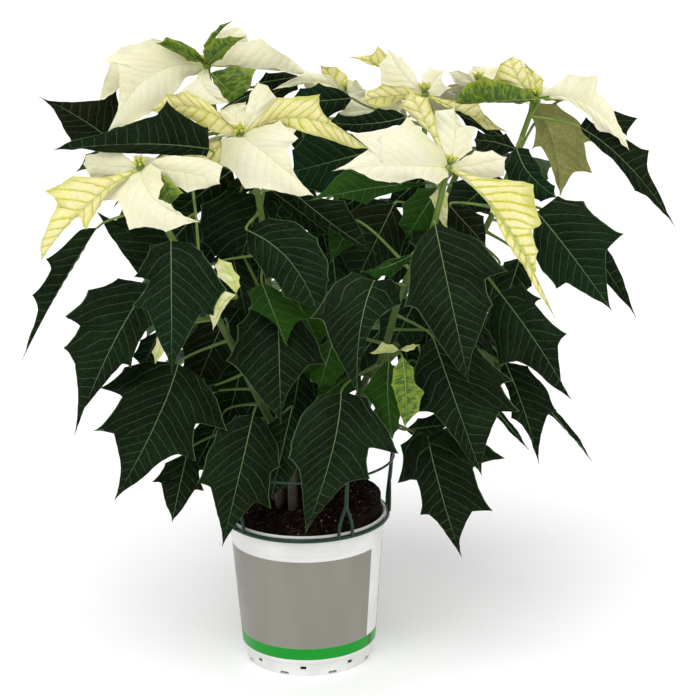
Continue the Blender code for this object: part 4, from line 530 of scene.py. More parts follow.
# Traced blades: kind, stem, foot, tip, middle of a bowed midrib, depths (foot, tip, arch, fold), margins
TRACED = (
    # Green leaves of the left side
    ("leaf", 3, (171, 241), (172, 373), None, (-146, -176, -8, 0.1),
     [(150, 246), (144, 262), (134, 277), (149, 281), (132, 306), (147, 310), (158, 338)],
     [(192, 243), (203, 252), (213, 268), (227, 290), (214, 316), (200, 315), (184, 344)]),
    ("leaf", 3, (150, 284), (74, 436), (112, 346), (-92, -118, -6, 0.08),
     [(118, 278), (88, 290), (65, 316), (80, 326), (63, 348), (75, 364), (78, 400)],
     [(160, 302), (154, 325), (139, 342), (131, 368), (122, 364), (103, 386), (84, 410)]),
    ("leaf", 3, (178, 364), (114, 501), (155, 425), (-66, -108, -8, 0.06),
     [(150, 361), (124, 367), (100, 388), (122, 397), (94, 431), (113, 433), (121, 468)],
     [(203, 378), (216, 398), (228, 431), (196, 424), (196, 461), (178, 454), (140, 480)]),
    ("leaf", 2, (253, 415), (222, 547), (241, 468), (-80, -104, -6, 0.08),
     [(236, 415), (216, 430), (207, 455), (197, 483), (210, 487), (215, 506), (221, 528)],
     [(264, 421), (277, 445), (281, 467), (271, 473), (271, 508), (256, 501), (235, 526)]),
    ("leaf", 3, (187, 453), (172, 522), None, (-50, -62, -4, 0.1),
     [(165, 463), (152, 482), (161, 483), (166, 504)], [(200, 468), (204, 491), (195, 490), (183, 508)]),
    ("leaf", 3, (97, 228), (22, 360), (60, 288), (-64, -88, -6, 0.0),
     [(80, 230), (46, 259), (51, 270), (32, 295), (38, 310), (30, 338)],
     [(91, 233, 12), (77, 256, 18), (64, 276, 18), (51, 298, 14), (41, 314, 10), (31, 336, 5)]),
    ("leaf", 2, (278, 312), (281, 424), None, (-62, -104, -8, 0.06),
     [(250, 309), (237, 326), (226, 361), (240, 372), (262, 400)],
     [(303, 318), (316, 340), (326, 364), (308, 366), (287, 394)]),
    ("leaf", 2, (247, 230), (317, 311), (290, 261), (-84, -128, -6, 0.06),
     [(247, 253), (259, 264), (265, 280), (273, 278), (284, 297), (298, 302)],
     [(268, 217), (295, 222), (318, 238), (328, 262), (329, 280), (325, 297)]),
    ("leaf", 3, (196, 214), (139, 278), None, (-56, -72, 0, 0.1),
     [(160, 203), (123, 204), (116, 220), (97, 212), (110, 236), (120, 250)],
     [(204, 236), (198, 256), (180, 272), (165, 279), (154, 280), (145, 280)]),
    ("leaf", 2, (262, 196), (241, 257), None, (-14, -40, -4, 0.1),
     [(226, 190), (200, 205), (193, 236), (214, 256)], [(282, 205), (276, 226), (262, 242), (250, 250)]),
    ("leaf", 2, (262, 283), (287, 347), None, (-74, -92, -4, 0.1),
     [(247, 291), (251, 309), (272, 321), (280, 330)], [(281, 292), (297, 306), (313, 318), (295, 324)]),
    ("leaf", 3, (209, 149), (53, 150), (140, 144), (-78, -128, -6, 0.06),
     [(208, 127), (190, 119), (167, 100), (158, 114), (140, 120), (107, 132), (72, 141)],
     [(207, 157), (180, 155), (150, 154), (122, 153), (103, 152), (86, 150), (70, 150)]),
    ("leaf", 1, (118, 146), (39, 97), (80, 118), (66, 40, -4, 0.1),
     [(122, 122), (116, 85), (104, 99), (76, 102), (56, 101)],
     [(95, 145), (71, 142), (65, 131), (58, 117), (48, 104)]),
    ("young", 3, (164, 334), (155, 364), None, (-84, -90, 0, 0.1),
     [(156, 338), (152, 352)], [(171, 342), (163, 354)]),
    ("leaf", 3, (160, 330), (142, 370), None, (-40, -52, 0, 0.1),
     [(140, 340), (132, 356)], [(166, 346), (158, 362)]),
    ("young", 3, (236, 295), (213, 330), (222, 305), (-112, -118, -2, 0.0),
     [(222, 290), (206, 290), (209, 312)], [(234, 297), (226, 305), (219, 318)]),
    ("young", 3, (236, 293), (218, 258), (232, 276), (-110, -100, -2, 0.0),
     [(229, 286), (218, 277), (214, 266)], [(240, 286), (240, 277), (231, 263)]),
    # Green leaves of the middle
    ("leaf", 4, (374, 281), (357, 396), (360, 330), (-122, -162, -8, 0.06),
     [(352, 271), (334, 284), (310, 318), (323, 321), (332, 346), (345, 370)],
     [(392, 279), (402, 287), (402, 304), (387, 311), (374, 325), (363, 354)]),
    ("leaf", 4, (341, 392), (305, 534), (332, 452), (-104, -142, -8, 0.06),
     [(318, 396), (302, 415), (292, 440), (288, 458), (299, 470), (302, 490), (304, 512)],
     [(368, 398), (388, 430), (399, 454), (369, 448), (370, 479), (347, 482), (324, 507)]),
    ("leaf", 4, (433, 182), (308, 201), (372, 188), (-66, -96, -4, 0.12),
     [(405, 184), (385, 182), (362, 175), (347, 168), (335, 178), (324, 191)],
     [(412, 187), (394, 193), (378, 197), (366, 204), (346, 199), (326, 197)]),
    ("leaf", 2, (291, 190), (377, 254), (335, 226), (-40, -66, -4, 0.1),
     [(318, 197), (345, 200), (353, 216), (358, 224), (366, 242)],
     [(300, 212), (318, 222), (334, 231), (346, 240), (360, 250)]),
    ("leaf", 4, (352, 222), (330, 263), None, (-34, -40, 0, 0.1),
     [(334, 219), (327, 226), (329, 245)], [(366, 232), (354, 243), (341, 252)]),
    ("young", 4, (412, 254), (360, 272), (388, 266), (-94, -100, -2, 0.1),
     [(400, 257), (386, 261), (374, 269)], [(408, 264), (391, 277), (375, 278)]),
    ("young", 10, (399, 350), (370, 353), None, (-84, -92, 0, 0.1),
     [(392, 344), (382, 342)], [(392, 352), (382, 353)]),
    ("young", 10, (400, 350), (420, 345), None, (-84, -90, 0, 0.1),
     [(407, 346), (413, 344)], [(407, 352), (414, 350)]),
    ("leaf", 10, (389, 360), (393, 440), (388, 400), (-92, -104, -4, 0.1),
     [(374, 374), (361, 392), (369, 400), (382, 427)], [(398, 374), (401, 392), (402, 408), (400, 428)]),
    ("fleck", 10, (402, 356), (405, 428), (406, 392), (-112, -118, -4, 0.0),
     [(393, 369), (391, 385), (396, 398), (400, 414)], [(413, 368), (415, 384), (424, 392), (419, 412)]),
    ("leaf", 4, (334, 338), (319, 388), None, (-66, -80, 0, 0.1),
     [(318, 346), (306, 362), (310, 380)], [(348, 348), (350, 368), (334, 384)]),
    ("leaf", 5, (352, 98), (284, 104), None, (20, -8, -4, 0.1),
     [(338, 89), (318, 83), (300, 88)], [(344, 110), (328, 119), (304, 117)]),
    ("leaf", 5, (406, 117), (326, 122), (366, 124), (8, -22, -4, 0.1),
     [(395, 110), (378, 108), (355, 116), (338, 113)], [(402, 126), (382, 129), (360, 133), (340, 131)]),
    ("leaf", 5, (376, 150), (292, 172), None, (-18, -40, 0, 0.1),
     [(362, 136), (338, 130), (306, 132), (292, 150)], [(368, 170), (345, 186), (322, 194), (302, 190)]),
    ("leaf", 9, (258, 83), (301, 76), None, (110, 100, 0, 0.1),
     [(266, 72), (285, 72)], [(268, 86), (286, 84)]),
    ("fleck", 1, (211, 73), (238, 100), None, (48, 36, -4, 0.1),
     [(214, 86), (221, 97), (230, 104)], [(234, 65), (256, 69), (250, 88)]),
    ("leaf", 1, (262, 88), (220, 110), None, (30, 14, 0, 0.1),
     [(247, 92), (236, 99)], [(248, 106), (236, 109)]),
    # Green leaves of the right side
    ("leaf", 4, (435, 224), (469, 383), (451, 300), (-106, -168, -8, 0.06),
     [(420, 240), (410, 262), (409, 284), (404, 307), (417, 309), (437, 340), (457, 368)],
     [(458, 232), (480, 241), (508, 271), (486, 279), (493, 305), (483, 326), (471, 358)]),
    ("leaf", 4, (433, 337), (482, 476), (455, 400), (-84, -136, -6, 0.06),
     [(420, 348), (414, 374), (416, 412), (433, 413), (450, 432), (468, 458)],
     [(474, 340), (514, 381), (501, 386), (520, 411), (500, 412), (487, 442)]),
    ("leaf", 4, (428, 438), (462, 558), (442, 496), (-54, -88, -6, 0.06),
     [(417, 427), (400, 445), (398, 483), (417, 480), (420, 515), (428, 514), (448, 537)],
     [(448, 426), (480, 440), (505, 458), (473, 468), (493, 511), (472, 512), (460, 538)]),
    ("leaf", 6, (537, 212), (612, 311), (574, 258), (-52, -86, -6, 0.08),
     [(533, 234), (532, 254), (542, 270), (556, 289), (566, 283), (591, 297)],
     [(558, 196), (584, 201), (599, 219), (624, 234), (606, 252), (607, 284)]),
    ("leaf", 6, (575, 226), (636, 317), (608, 272), (-22, -40, 0, 0.05),
     [(588, 262), (607, 284), (621, 299)], [(604, 240), (613, 258), (623, 279)]),
    ("leaf", 6, (500, 293), (572, 401), (538, 345), (-66, -112, -6, 0.08),
     [(487, 304), (484, 328), (499, 366), (516, 361), (533, 369), (550, 384)],
     [(522, 283), (542, 299), (535, 304), (567, 334), (558, 346), (562, 383)]),
    ("leaf", 6, (505, 362), (539, 464), (524, 410), (-34, -60, -4, 0.08),
     [(497, 376), (508, 391), (511, 418), (522, 425), (532, 442)],
     [(528, 366), (546, 388), (557, 411), (547, 416), (540, 440)]),
    ("leaf", 6, (540, 398), (592, 461), None, (-20, -34, 0, 0.2),
     [(546, 413), (561, 426), (575, 440)], [(550, 405), (564, 420), (579, 438)]),
    ("leaf", 4, (486, 398), (529, 450), None, (-36, -48, 0, 0.2),
     [(491, 411), (503, 424), (514, 436)], [(497, 404), (507, 417), (518, 432)]),
    ("leaf", 6, (580, 127), (675, 226), (628, 165), (-8, -44, -4, 0.06),
     [(586, 117), (603, 129), (627, 140), (649, 150), (647, 164), (658, 192)],
     [(584, 134), (600, 149), (615, 162), (635, 191), (645, 195), (658, 208)]),
    ("leaf", 6, (598, 108), (627, 136), None, (40, 36, 0, 0.1),
     [(598, 118), (612, 125)], [(617, 112), (638, 118)]),
    ("leaf", 6, (517, 148), (557, 198), (528, 172), (-18, -38, -4, 0.1),
     [(500, 162), (508, 184), (524, 198), (541, 202)], [(529, 149), (538, 164), (543, 176), (555, 186)]),
    ("leaf", 6, (516, 149), (474, 140), (495, 142), (-10, -20, 0, 0.1),
     [(506, 133), (490, 136), (478, 130)], [(502, 156), (490, 153), (476, 151)]),
    ("leaf", 6, (450, 206), (486, 246), None, (-24, -34, 0, 0.1),
     [(450, 226), (460, 244), (474, 250)], [(468, 206), (484, 216), (486, 232)]),
    ("young", 4, (441, 186), (449, 232), (441, 208), (-78, -80, 0, 0.1),
     [(429, 197), (436, 211), (442, 223)], [(449, 194), (448, 208), (447, 221)]),
    ("fleck", 6, (537, 99), (455, 103), None, (0, -8, -2, 0.0),
     [(520, 102, 16), (500, 101, 22), (484, 101, 22), (472, 102, 14), (462, 103, 6)],
     [(528, 89), (505, 83), (484, 76), (468, 83), (460, 93)]),
    ("under", 6, (535, 103), (560, 198), (554, 146), (20, 34, 0, 0.08),
     [(529, 115), (536, 129), (532, 149), (541, 147), (549, 161), (556, 181)],
     [(557, 104), (577, 120), (595, 140), (584, 143), (593, 173), (573, 173)]),
    # Leaves that fill the shade behind the front ones
    ("leaf", 5, (394, 204), (352, 290), None, (6, -14, 0, 0.1),
     [(366, 196), (340, 216), (334, 246)], [(412, 230), (400, 258), (378, 280)]),
    ("leaf", 7, (258, 180), (332, 236), None, (20, 8, 0, 0.1),
     [(268, 205), (296, 226), (318, 236)], [(284, 180), (314, 188), (332, 210)]),
    ("leaf", 2, (230, 244), (246, 314), None, (-16, -30, 0, 0.1),
     [(212, 260), (212, 284), (228, 305)], [(250, 256), (258, 280), (254, 300)]),
    ("leaf", 3, (224, 320), (194, 390), None, (-8, -24, 0, 0.1),
     [(198, 322), (180, 344), (182, 370)], [(242, 336), (240, 358), (220, 380)]),
    ("leaf", 2, (300, 370), (290, 428), None, (6, -4, 0, 0.1),
     [(280, 380), (272, 398), (279, 416)], [(314, 384), (318, 402), (304, 418)]),
    ("leaf", 5, (418, 296), (388, 354), None, (-6, -20, 0, 0.1),
     [(396, 300), (378, 318), (376, 340)], [(430, 318), (422, 340), (404, 350)]),
    ("leaf", 3, (224, 412), (192, 474), None, (-6, -20, 0, 0.1),
     [(204, 414), (186, 436), (182, 460)], [(236, 430), (228, 452), (208, 470)]),
    ("leaf", 2, (244, 358), (226, 428), None, (-2, -16, 0, 0.1),
     [(222, 362), (206, 382), (210, 408)], [(264, 376), (262, 400), (244, 420)]),
    ("leaf", 1, (232, 170), (174, 214), None, (10, -8, 0, 0.1),
     [(208, 164), (182, 176), (168, 196)], [(238, 190), (222, 206), (196, 216)]),
    ("leaf", 6, (494, 180), (450, 216), None, (30, 16, 0, 0.1),
     [(474, 172), (452, 182), (444, 200)], [(496, 198), (484, 212), (466, 218)]),
    ("leaf", 6, (520, 258), (504, 306), None, (-8, -18, 0, 0.1),
     [(504, 262), (492, 278), (494, 296)], [(536, 268), (532, 286), (518, 300)]),
    ("leaf", 5, (332, 250), (338, 300), None, (0, -10, 0, 0.1),
     [(320, 258), (318, 276), (328, 292)], [(346, 256), (352, 274), (346, 292)]),
    # Bracts of the blooms
    ("cream", 1, (207, 66), (108, 132), (150, 76), (60, 2, -6, 0.08),
     [(175, 42), (152, 38), (122, 46), (104, 59), (118, 66), (117, 110)],
     [(198, 74), (186, 78), (177, 89), (165, 102), (150, 114), (130, 124)]),
    ("cream", 1, (207, 66), (98, 101), (140, 78), (70, 44, 0, 0.06),
     [(150, 60), (110, 62), (104, 80)], [(150, 86), (120, 88), (112, 94)]),
    ("cream", 1, (207, 66), (309, 73), None, (60, 86, -4, 0.06),
     [(235, 64), (257, 66), (277, 68), (295, 74)], [(233, 42), (262, 38), (279, 52), (293, 60)]),
    ("cream", 1, (207, 66), (240, 27), (224, 44), (64, 92, 0, 0.04),
     [(214, 42), (220, 31), (229, 25)], [(234, 50), (249, 44), (247, 35)]),
    ("fleck", 1, (207, 66), (156, 43), (182, 52), (54, 22, -4, 0.06),
     [(195, 49), (180, 41), (166, 37)], [(200, 62), (187, 60), (173, 50)]),
    ("fleck", 1, (207, 66), (246, 37), (224, 48), (52, 44, -4, 0.06),
     [(204, 49), (213, 39), (229, 36)], [(221, 61), (228, 50), (237, 42)]),
    ("fleck", 1, (207, 66), (232, 21), (214, 40), (62, 72, 0, 0.0),
     [(203, 46), (211, 33), (220, 25)], [(212, 45), (217, 36), (223, 28)]),
    ("cream", 1, (207, 66), (230, 104), (205, 88), (62, 34, 0, 0.06),
     [(190, 83), (175, 95), (201, 104)], [(212, 82), (219, 88), (223, 98)]),
    ("cream", 2, (241, 135), (314, 196), (276, 162), (-62, -112, -6, 0.08),
     [(221, 139), (219, 163), (232, 172), (246, 189), (272, 190), (298, 196)],
     [(258, 128), (281, 121), (298, 138), (287, 148), (293, 166), (299, 182)]),
    ("vein", 2, (241, 135), (370, 150), (304, 118), (-58, -82, -6, 0.06),
     [(262, 126), (281, 125), (300, 131), (318, 136), (335, 142), (352, 147)],
     [(278, 97), (297, 97), (320, 94), (319, 104), (328, 118), (347, 135)]),
    ("cream", 2, (241, 135), (258, 82), (255, 108), (-56, -36, -2, 0.06),
     [(245, 118), (247, 104), (251, 92)], [(259, 121), (277, 98), (268, 86)]),
    ("vein", 2, (241, 135), (148, 111), (198, 108), (-58, -70, -2, 0.1),
     [(224, 117), (204, 100), (187, 91), (167, 94)], [(225, 134), (207, 128), (190, 119), (163, 113)]),
    ("vein", 2, (241, 135), (152, 158), (196, 155), (-54, -66, 0, 0.08),
     [(222, 139), (203, 145), (177, 150)], [(223, 167), (201, 162), (176, 159)]),
    ("cream", 2, (241, 135), (246, 102), (236, 116), (-50, -26, 0, 0.06),
     [(228, 122), (217, 112), (229, 106)], [(247, 122), (249, 113), (249, 107)]),
    ("cream", 3, (141, 168), (200, 222), (156, 200), (-112, -166, -6, 0.08),
     [(113, 184), (102, 201), (119, 202), (130, 230), (140, 227), (166, 232)],
     [(151, 163), (161, 170), (163, 182), (158, 200), (174, 207), (189, 220)]),
    ("vein", 3, (141, 168), (40, 262), (86, 206), (-112, -160, -8, 0.08),
     [(106, 177), (72, 176), (45, 191), (57, 203), (49, 222), (41, 244)],
     [(110, 190), (101, 205), (86, 229), (84, 214), (72, 222), (53, 241)]),
    ("cream", 3, (141, 168), (83, 164), None, (-108, -118, -2, 0.08),
     [(122, 153), (105, 150), (86, 155)], [(122, 176), (105, 174), (88, 174)]),
    ("cream", 3, (141, 168), (220, 184), (184, 172), (-108, -124, -4, 0.1),
     [(162, 172), (170, 184), (188, 192), (208, 188)], [(160, 158), (183, 156), (207, 159), (223, 166)]),
    ("fleck", 3, (141, 168), (170, 206), (163, 186), (-104, -112, 0, 0.0),
     [(155, 180), (158, 192), (159, 204)], [(160, 173), (171, 181), (183, 193)]),
    ("cream", 4, (448, 168), (332, 171), (388, 165), (-92, -134, -8, 0.06),
     [(441, 148, -5), (407, 116), (400, 127), (350, 133), (382, 136), (356, 158)],
     [(449, 177, -5), (437, 185, -3), (420, 178), (401, 184), (375, 180), (352, 169)]),
    ("vein", 4, (448, 168), (410, 91), (428, 128), (-90, -66, -2, 0.06),
     [(430, 135), (413, 118), (400, 106)], [(440, 143), (434, 118), (428, 98)]),
    ("cream", 4, (448, 168), (454, 107), (455, 140), (-92, -78, -2, 0.08),
     [(441, 148), (434, 126), (435, 111)], [(472, 150), (476, 127), (463, 126)]),
    ("cream", 4, (448, 168), (507, 157), (478, 164), (-92, -98, -2, 0.08),
     [(462, 159), (475, 151), (492, 151)], [(468, 176), (488, 180), (504, 175)]),
    ("vein", 4, (448, 168), (556, 320), (506, 226), (-96, -170, -8, 0.06),
     [(468, 180), (484, 191), (491, 208), (501, 230), (511, 249), (522, 265), (536, 289)],
     [(490, 178), (516, 181), (534, 185), (541, 223), (532, 231), (538, 251), (533, 273)]),
    ("cream", 5, (425, 95), (388, 49), (402, 72), (48, 74, -2, 0.06),
     [(400, 89), (381, 84), (379, 64)], [(420, 84), (413, 71), (402, 57)]),
    ("vein", 5, (425, 95), (349, 57), (384, 68), (72, 88, 0, 0.06),
     [(400, 66), (378, 46), (371, 55)], [(402, 78), (380, 68), (366, 63)]),
    ("cream", 5, (425, 95), (445, 69), (434, 82), (52, 78, 0, 0.06),
     [(420, 86), (421, 75), (431, 67)], [(440, 96), (448, 88), (441, 79)]),
    ("vein", 5, (425, 95), (361, 102), (392, 96), (44, 14, -2, 0.08),
     [(402, 86), (382, 84), (368, 92)], [(406, 100), (393, 106), (375, 107)]),
    ("cream", 5, (425, 95), (337, 113), (376, 108), (44, 32, 0, 0.06),
     [(402, 104), (375, 102), (351, 100)], [(400, 112), (372, 114), (350, 118)]),
    ("vein", 5, (425, 95), (508, 132), (462, 112), (46, 12, -2, 0.06),
     [(446, 107), (470, 117), (487, 130)], [(450, 100), (478, 101), (485, 117)]),
    ("vein", 6, (536, 99), (513, 56), (516, 76), (10, 26, -2, 0.06),
     [(515, 86), (493, 79), (500, 64)], [(530, 86), (527, 74), (521, 61)]),
    ("vein", 6, (536, 99), (524, 62), (534, 80), (16, 34, 0, 0.04),
     [(530, 86), (527, 78), (524, 70)], [(542, 91), (544, 80), (533, 70)]),
    ("cream", 6, (536, 99), (629, 150), (586, 104), (8, -28, -6, 0.08),
     [(563, 100), (578, 106), (592, 119), (600, 132), (612, 134), (622, 143)],
     [(552, 87), (568, 74), (597, 75), (594, 86), (612, 106), (622, 131)]),
    ("fleck", 6, (536, 99), (580, 96), None, (2, -8, 0, 0.1),
     [(550, 92), (562, 93)], [(549, 101), (563, 100)]),
    ("cream", 7, (347, 93), (273, 90), (308, 80), (92, 68, -2, 0.08),
     [(328, 75), (307, 71), (289, 80)], [(328, 88), (309, 85), (289, 87)]),
    ("vein", 7, (347, 93), (320, 65), None, (94, 104, 0, 0.06),
     [(336, 92), (328, 80), (321, 73)], [(350, 82), (346, 74), (337, 67)]),
    ("cream", 7, (347, 93), (366, 90), None, (90, 78, 0, 0.06),
     [(347, 80), (358, 79)], [(354, 100), (363, 98)]),
    ("cream", 8, (478, 84), (448, 72), None, (150, 142, 0, 0.06),
     [(470, 73), (458, 71)], [(466, 88), (455, 84)]),
    ("cream", 8, (478, 84), (472, 66), (478, 75), (154, 160, 0, 0.06),
     [(471, 77), (468, 71)], [(494, 77), (502, 66)]),
)

# Hidden rear bracts: bloom, heading, rise, droop, length and width
REAR_BRACTS = (
    (1, 150, 14, -34, 92, 58), (1, 196, 18, -30, 84, 56), (1, 240, 8, -40, 88, 54),
    (2, 150, 12, -40, 76, 50), (2, 215, 12, -40, 76, 50),
    (3, 160, 10, -36, 80, 52), (3, 215, 12, -36, 84, 54), (3, 262, 4, -44, 78, 48),
    (4, 150, 10, -40, 78, 52), (4, 205, 8, -44, 78, 50),
    (5, 120, 10, -38, 84, 54), (5, 165, 16, -30, 88, 58), (5, 210, 14, -34, 84, 54),
    (6, 120, 6, -44, 84, 50), (6, 170, 12, -36, 88, 56), (6, 220, 10, -40, 80, 50),
    (7, 120, 10, -36, 82, 54), (7, 170, 16, -30, 90, 58), (7, 225, 12, -36, 86, 54),
    (8, 60, 4, -40, 78, 50), (8, 112, 10, -34, 88, 58), (8, 160, 16, -28, 96, 62),
    (8, 208, 14, -32, 92, 58), (8, 262, 6, -40, 80, 52),
    (9, 84, 6, -40, 82, 52), (9, 132, 14, -32, 92, 60), (9, 180, 18, -28, 96, 62),
    (9, 228, 12, -34, 92, 58), (9, 276, 6, -42, 80, 50),
)

# Hidden rear leaves: stem, share of its height, heading, rise, droop, length and width
REAR_LEAVES = (
    (1, 0.84, 205, 5, -62, 104, 78), (1, 0.70, 250, 0, -66, 112, 84),
    (1, 0.46, 225, -10, -72, 108, 80), (1, 0.78, 292, -4, -64, 96, 70),
    (3, 0.72, 262, -8, -70, 96, 72), (3, 0.50, 238, -14, -74, 104, 76),
    (5, 0.80, 140, 4, -62, 108, 80), (5, 0.66, 190, -2, -66, 112, 82),
    (6, 0.84, 140, 0, -66, 104, 76), (6, 0.72, 96, -6, -70, 104, 76), (6, 0.60, 175, -6, -68, 112, 84),
    (6, 0.48, 128, -12, -74, 110, 80),
    (7, 0.84, 150, 6, -60, 104, 78), (7, 0.74, 214, 2, -64, 110, 82), (7, 0.62, 180, -4, -68, 114, 86),
    (7, 0.48, 150, -8, -72, 112, 82),
    (8, 0.86, 130, 4, -60, 108, 82), (8, 0.76, 190, 2, -64, 114, 86),
    (8, 0.56, 155, -6, -70, 118, 88), (8, 0.44, 205, -10, -74, 110, 82),
    (9, 0.86, 160, 4, -60, 108, 82), (9, 0.76, 222, 0, -64, 114, 86), (9, 0.66, 262, -6, -68, 108, 80),
    (9, 0.58, 185, -6, -70, 118, 88), (9, 0.46, 240, -10, -74, 112, 84),
    (5, 0.40, 165, -10, -76, 104, 76), (3, 0.36, 262, -16, -78, 92, 66),
)


class Placer:
    """Keeps what is already placed and finds clear room for each new piece."""

    def __init__(self):
        self.pieces = []

    @staticmethod
    def box(points):
        low = Vector(min(p[i] for p in points) for i in range(3))
        high = Vector(max(p[i] for p in points) for i in range(3))
        return low, high

    def add(self, label, plant, points, faces):
        self.pieces.append((label, plant, self.box(points), BVHTree.FromPolygons(points, faces)))

    def hits(self, points, faces, skip):
        """Which placed pieces a new one would touch."""
        low, high = self.box(points)
        tree = None
        touched = []
        for label, plant, (other_low, other_high), other in self.pieces:
            if skip(label, plant):
                continue
            if any(low[i] > other_high[i] or high[i] < other_low[i] for i in range(3)):
                continue
            if tree is None:
                tree = BVHTree.FromPolygons(points, faces)
            if tree.overlap(other):
                touched.append((label, plant))
        return touched


def try_blade(placer, blade, is_bract):
    """What a blade would touch; a bract's foot may meet the other bracts of its own bloom."""
    points, faces = blade_solid(blade, PLACED_THICKNESS)
    if not is_bract:
        return placer.hits(points, faces, lambda label, plant: False)
    own = blade.plant
    hits = placer.hits(
        points, faces,
        lambda label, plant: plant == own and label not in ("leaf", "petiole", "support"),
    )
    points, faces = blade_solid(blade, PLACED_THICKNESS, skip_base=True)
    hits += placer.hits(
        points, faces,
        lambda label, plant: plant != own or label not in ("stem", "buds", "bract"),
    )
    points, faces = blade_solid(blade, BLADE_THICKNESS + 0.6 * MM)
    hits += placer.hits(
        points, faces, lambda label, plant: plant != own or label not in ("stem", "buds")
    )
    return hits


def keep_blade(placer, blade, is_bract):
    """Note a placed blade; a bract also as it is without its foot."""
    points, faces = blade_solid(blade, PLACED_THICKNESS)
    placer.add("whole bract" if is_bract else "leaf", blade.plant, points, faces)
    if is_bract:
        points, faces = blade_solid(blade, PLACED_THICKNESS, skip_base=True)
        placer.add("bract", blade.plant, points, faces)


def is_bract_row(row):
    """Whether a traced blade grows from the middle of its bloom."""
    kind, plant, base = row[:3]
    return kind in ("cream", "vein") or (kind == "fleck" and base == STEMS[plant][1][-1][:2])


def place_traced(placer):
    """Every traced blade, each at the first depth where it is clear."""
    blades = []
    for number, row in enumerate(TRACED):
        bract = is_bract_row(row)
        shifts = BRACT_SHIFTS if bract else LEAF_SHIFTS
        best = None
        for shift in shifts:
            blade = lay_traced(row, *shift)
            if bract:
                nudge = Vector((number % 5 - 2, number % 3 - 1, number % 7 - 3)) * FOOT_NUDGE
                blade.base = bloom_centre(row[1]) + nudge
            hits = try_blade(placer, blade, bract)
            if best is None or len(hits) < len(best[0]):
                best = (hits, blade)
            if not hits:
                break
        keep_blade(placer, best[1], bract)
        blades.append((best[1], bract))
    return blades


def within_canopy(blade):
    """Whether the front view of a blade stays within the outline of the plant."""
    spots = [shown(point) for point in [*blade.mids, *blade.left, *blade.right, blade.tip]]
    return all(inside(CANOPY, spot) or inside(CANOPY_RIGHT, spot) for spot in spots)


def rear_trials(row, paths, order):
    """Rear blade in each of its turns, tilts and sizes, the wanted one first."""
    kind, plant, share, heading, rise, droop, length, width = row
    roll = REAR_ROLL if order % 2 else -REAR_ROLL
    for scale in SCALES:
        for tilt in TILTS:
            for turning in TURNS:
                angle = math.radians(heading + turning)
                way = Vector((math.sin(angle), -math.cos(angle), 0.0))
                if kind == "cream":
                    base = bloom_centre(plant) + way * (0.8 * MM)
                else:
                    lift = Vector((0.0, 0.0, REAR_LEAF_LIFT + tilt * MM))
                    base = point_along(paths[plant], share) + way * REAR_LEAF_REACH + lift
                yield lay_turned(
                    kind, plant, base, angle, math.radians(rise + tilt), math.radians(droop + tilt),
                    length * scale * MM, width * scale * MM, roll,
                )


def place_rear(placer, paths, petioles):
    """Rear bracts and leaves, turned, tilted or shortened until clear and hidden."""
    blades = []
    rows = [("cream", row[0], 1.0, *row[1:]) for row in REAR_BRACTS]
    rows += [("leaf", *row) for row in REAR_LEAVES]
    for order, row in enumerate(rows):
        bract = row[0] == "cream"
        for blade in rear_trials(row, paths, order):
            if within_canopy(blade) and settle(placer, paths, petioles, blade, bract):
                blades.append(Laid(blade, bract, False, False))
                break
    return blades


def petiole_path(start, blade, reach, bulge):
    """Leaf stalk that leaves its stem upwards and runs into the blade's midrib."""
    into = (blade.mids[0] - blade.base).normalized()
    span = (blade.base - start).length
    control = blade.base - into * (reach * span) + Vector((0.0, 0.0, bulge))
    path = []
    for t in (0.0, 0.36, 0.7, 1.0):
        path.append(start * (1.0 - t) ** 2 + control * (2.0 * t * (1.0 - t)) + blade.base * (t * t))
    return path


def petiole_choices(path, blade):
    """Ways to run a petiole, shortest first."""
    starts = []
    for low, high in zip(path[1:], path[2:]):
        starts += [low.lerp(high, share) for share in (0.1, 0.35, 0.6, 0.85)]
    choices = []
    for i, start in enumerate(starts):
        if start.z < PETIOLE_LOWEST:
            continue
        for reach in (0.35, 0.6, 0.15):
            for bulge in (0.0, 14.0 * MM, -10.0 * MM):
                route = petiole_path(start, blade, reach, bulge)
                length = sum((b - a).length for a, b in zip(route, route[1:]))
                short = max(0.0, PETIOLE_SHORTEST - length) * 4.0
                choices.append((length + short + 0.3 * abs(bulge), i, route))
    choices.sort(key=lambda choice: (choice[0], choice[1]))
    return choices


def find_petiole(placer, paths, blade):
    """The shortest clear petiole of a leaf, or the least bad one with what it touches."""
    best = None
    own_points, own_faces = blade_solid(blade, PLACED_THICKNESS)
    own = BVHTree.FromPolygons(own_points, own_faces)
    for _, _, route in petiole_choices(paths[blade.plant], blade):
        near = min(0.5, 5.0 * MM / (route[-1] - route[-2]).length)
        trial = [*route[:-1], route[-1] + (route[-2] - route[-1]) * near]
        points, faces = tube(trial, [PETIOLE_RADIUS + BLADE_CLEARANCE] * len(trial), PETIOLE_SIDES)
        if BVHTree.FromPolygons(points, faces).overlap(own):
            continue
        hits = placer.hits(
            points, faces, lambda label, plant: plant == blade.plant and label in ("stem", "petiole")
        )
        if best is None or len(hits) < len(best[0]):
            best = (hits, route)
        if not hits:
            break
    return best if best else (["no route"], None)


def keep_petiole(placer, blade, route):
    """Note a placed petiole with clear room round it."""
    points, faces = tube(route, [PETIOLE_RADIUS + BLADE_CLEARANCE] * len(route), PETIOLE_SIDES)
    placer.add("petiole", blade.plant, points, faces)


def settle(placer, paths, petioles, blade, bract=False):
    """Keep a blade if it is clear and so is its petiole, and say whether it was kept."""
    if try_blade(placer, blade, bract):
        return False
    if not bract:
        hits, route = find_petiole(placer, paths, blade)
        if hits:
            return False
        keep_petiole(placer, blade, route)
        petioles.append((blade, route))
    keep_blade(placer, blade, bract)
    return True


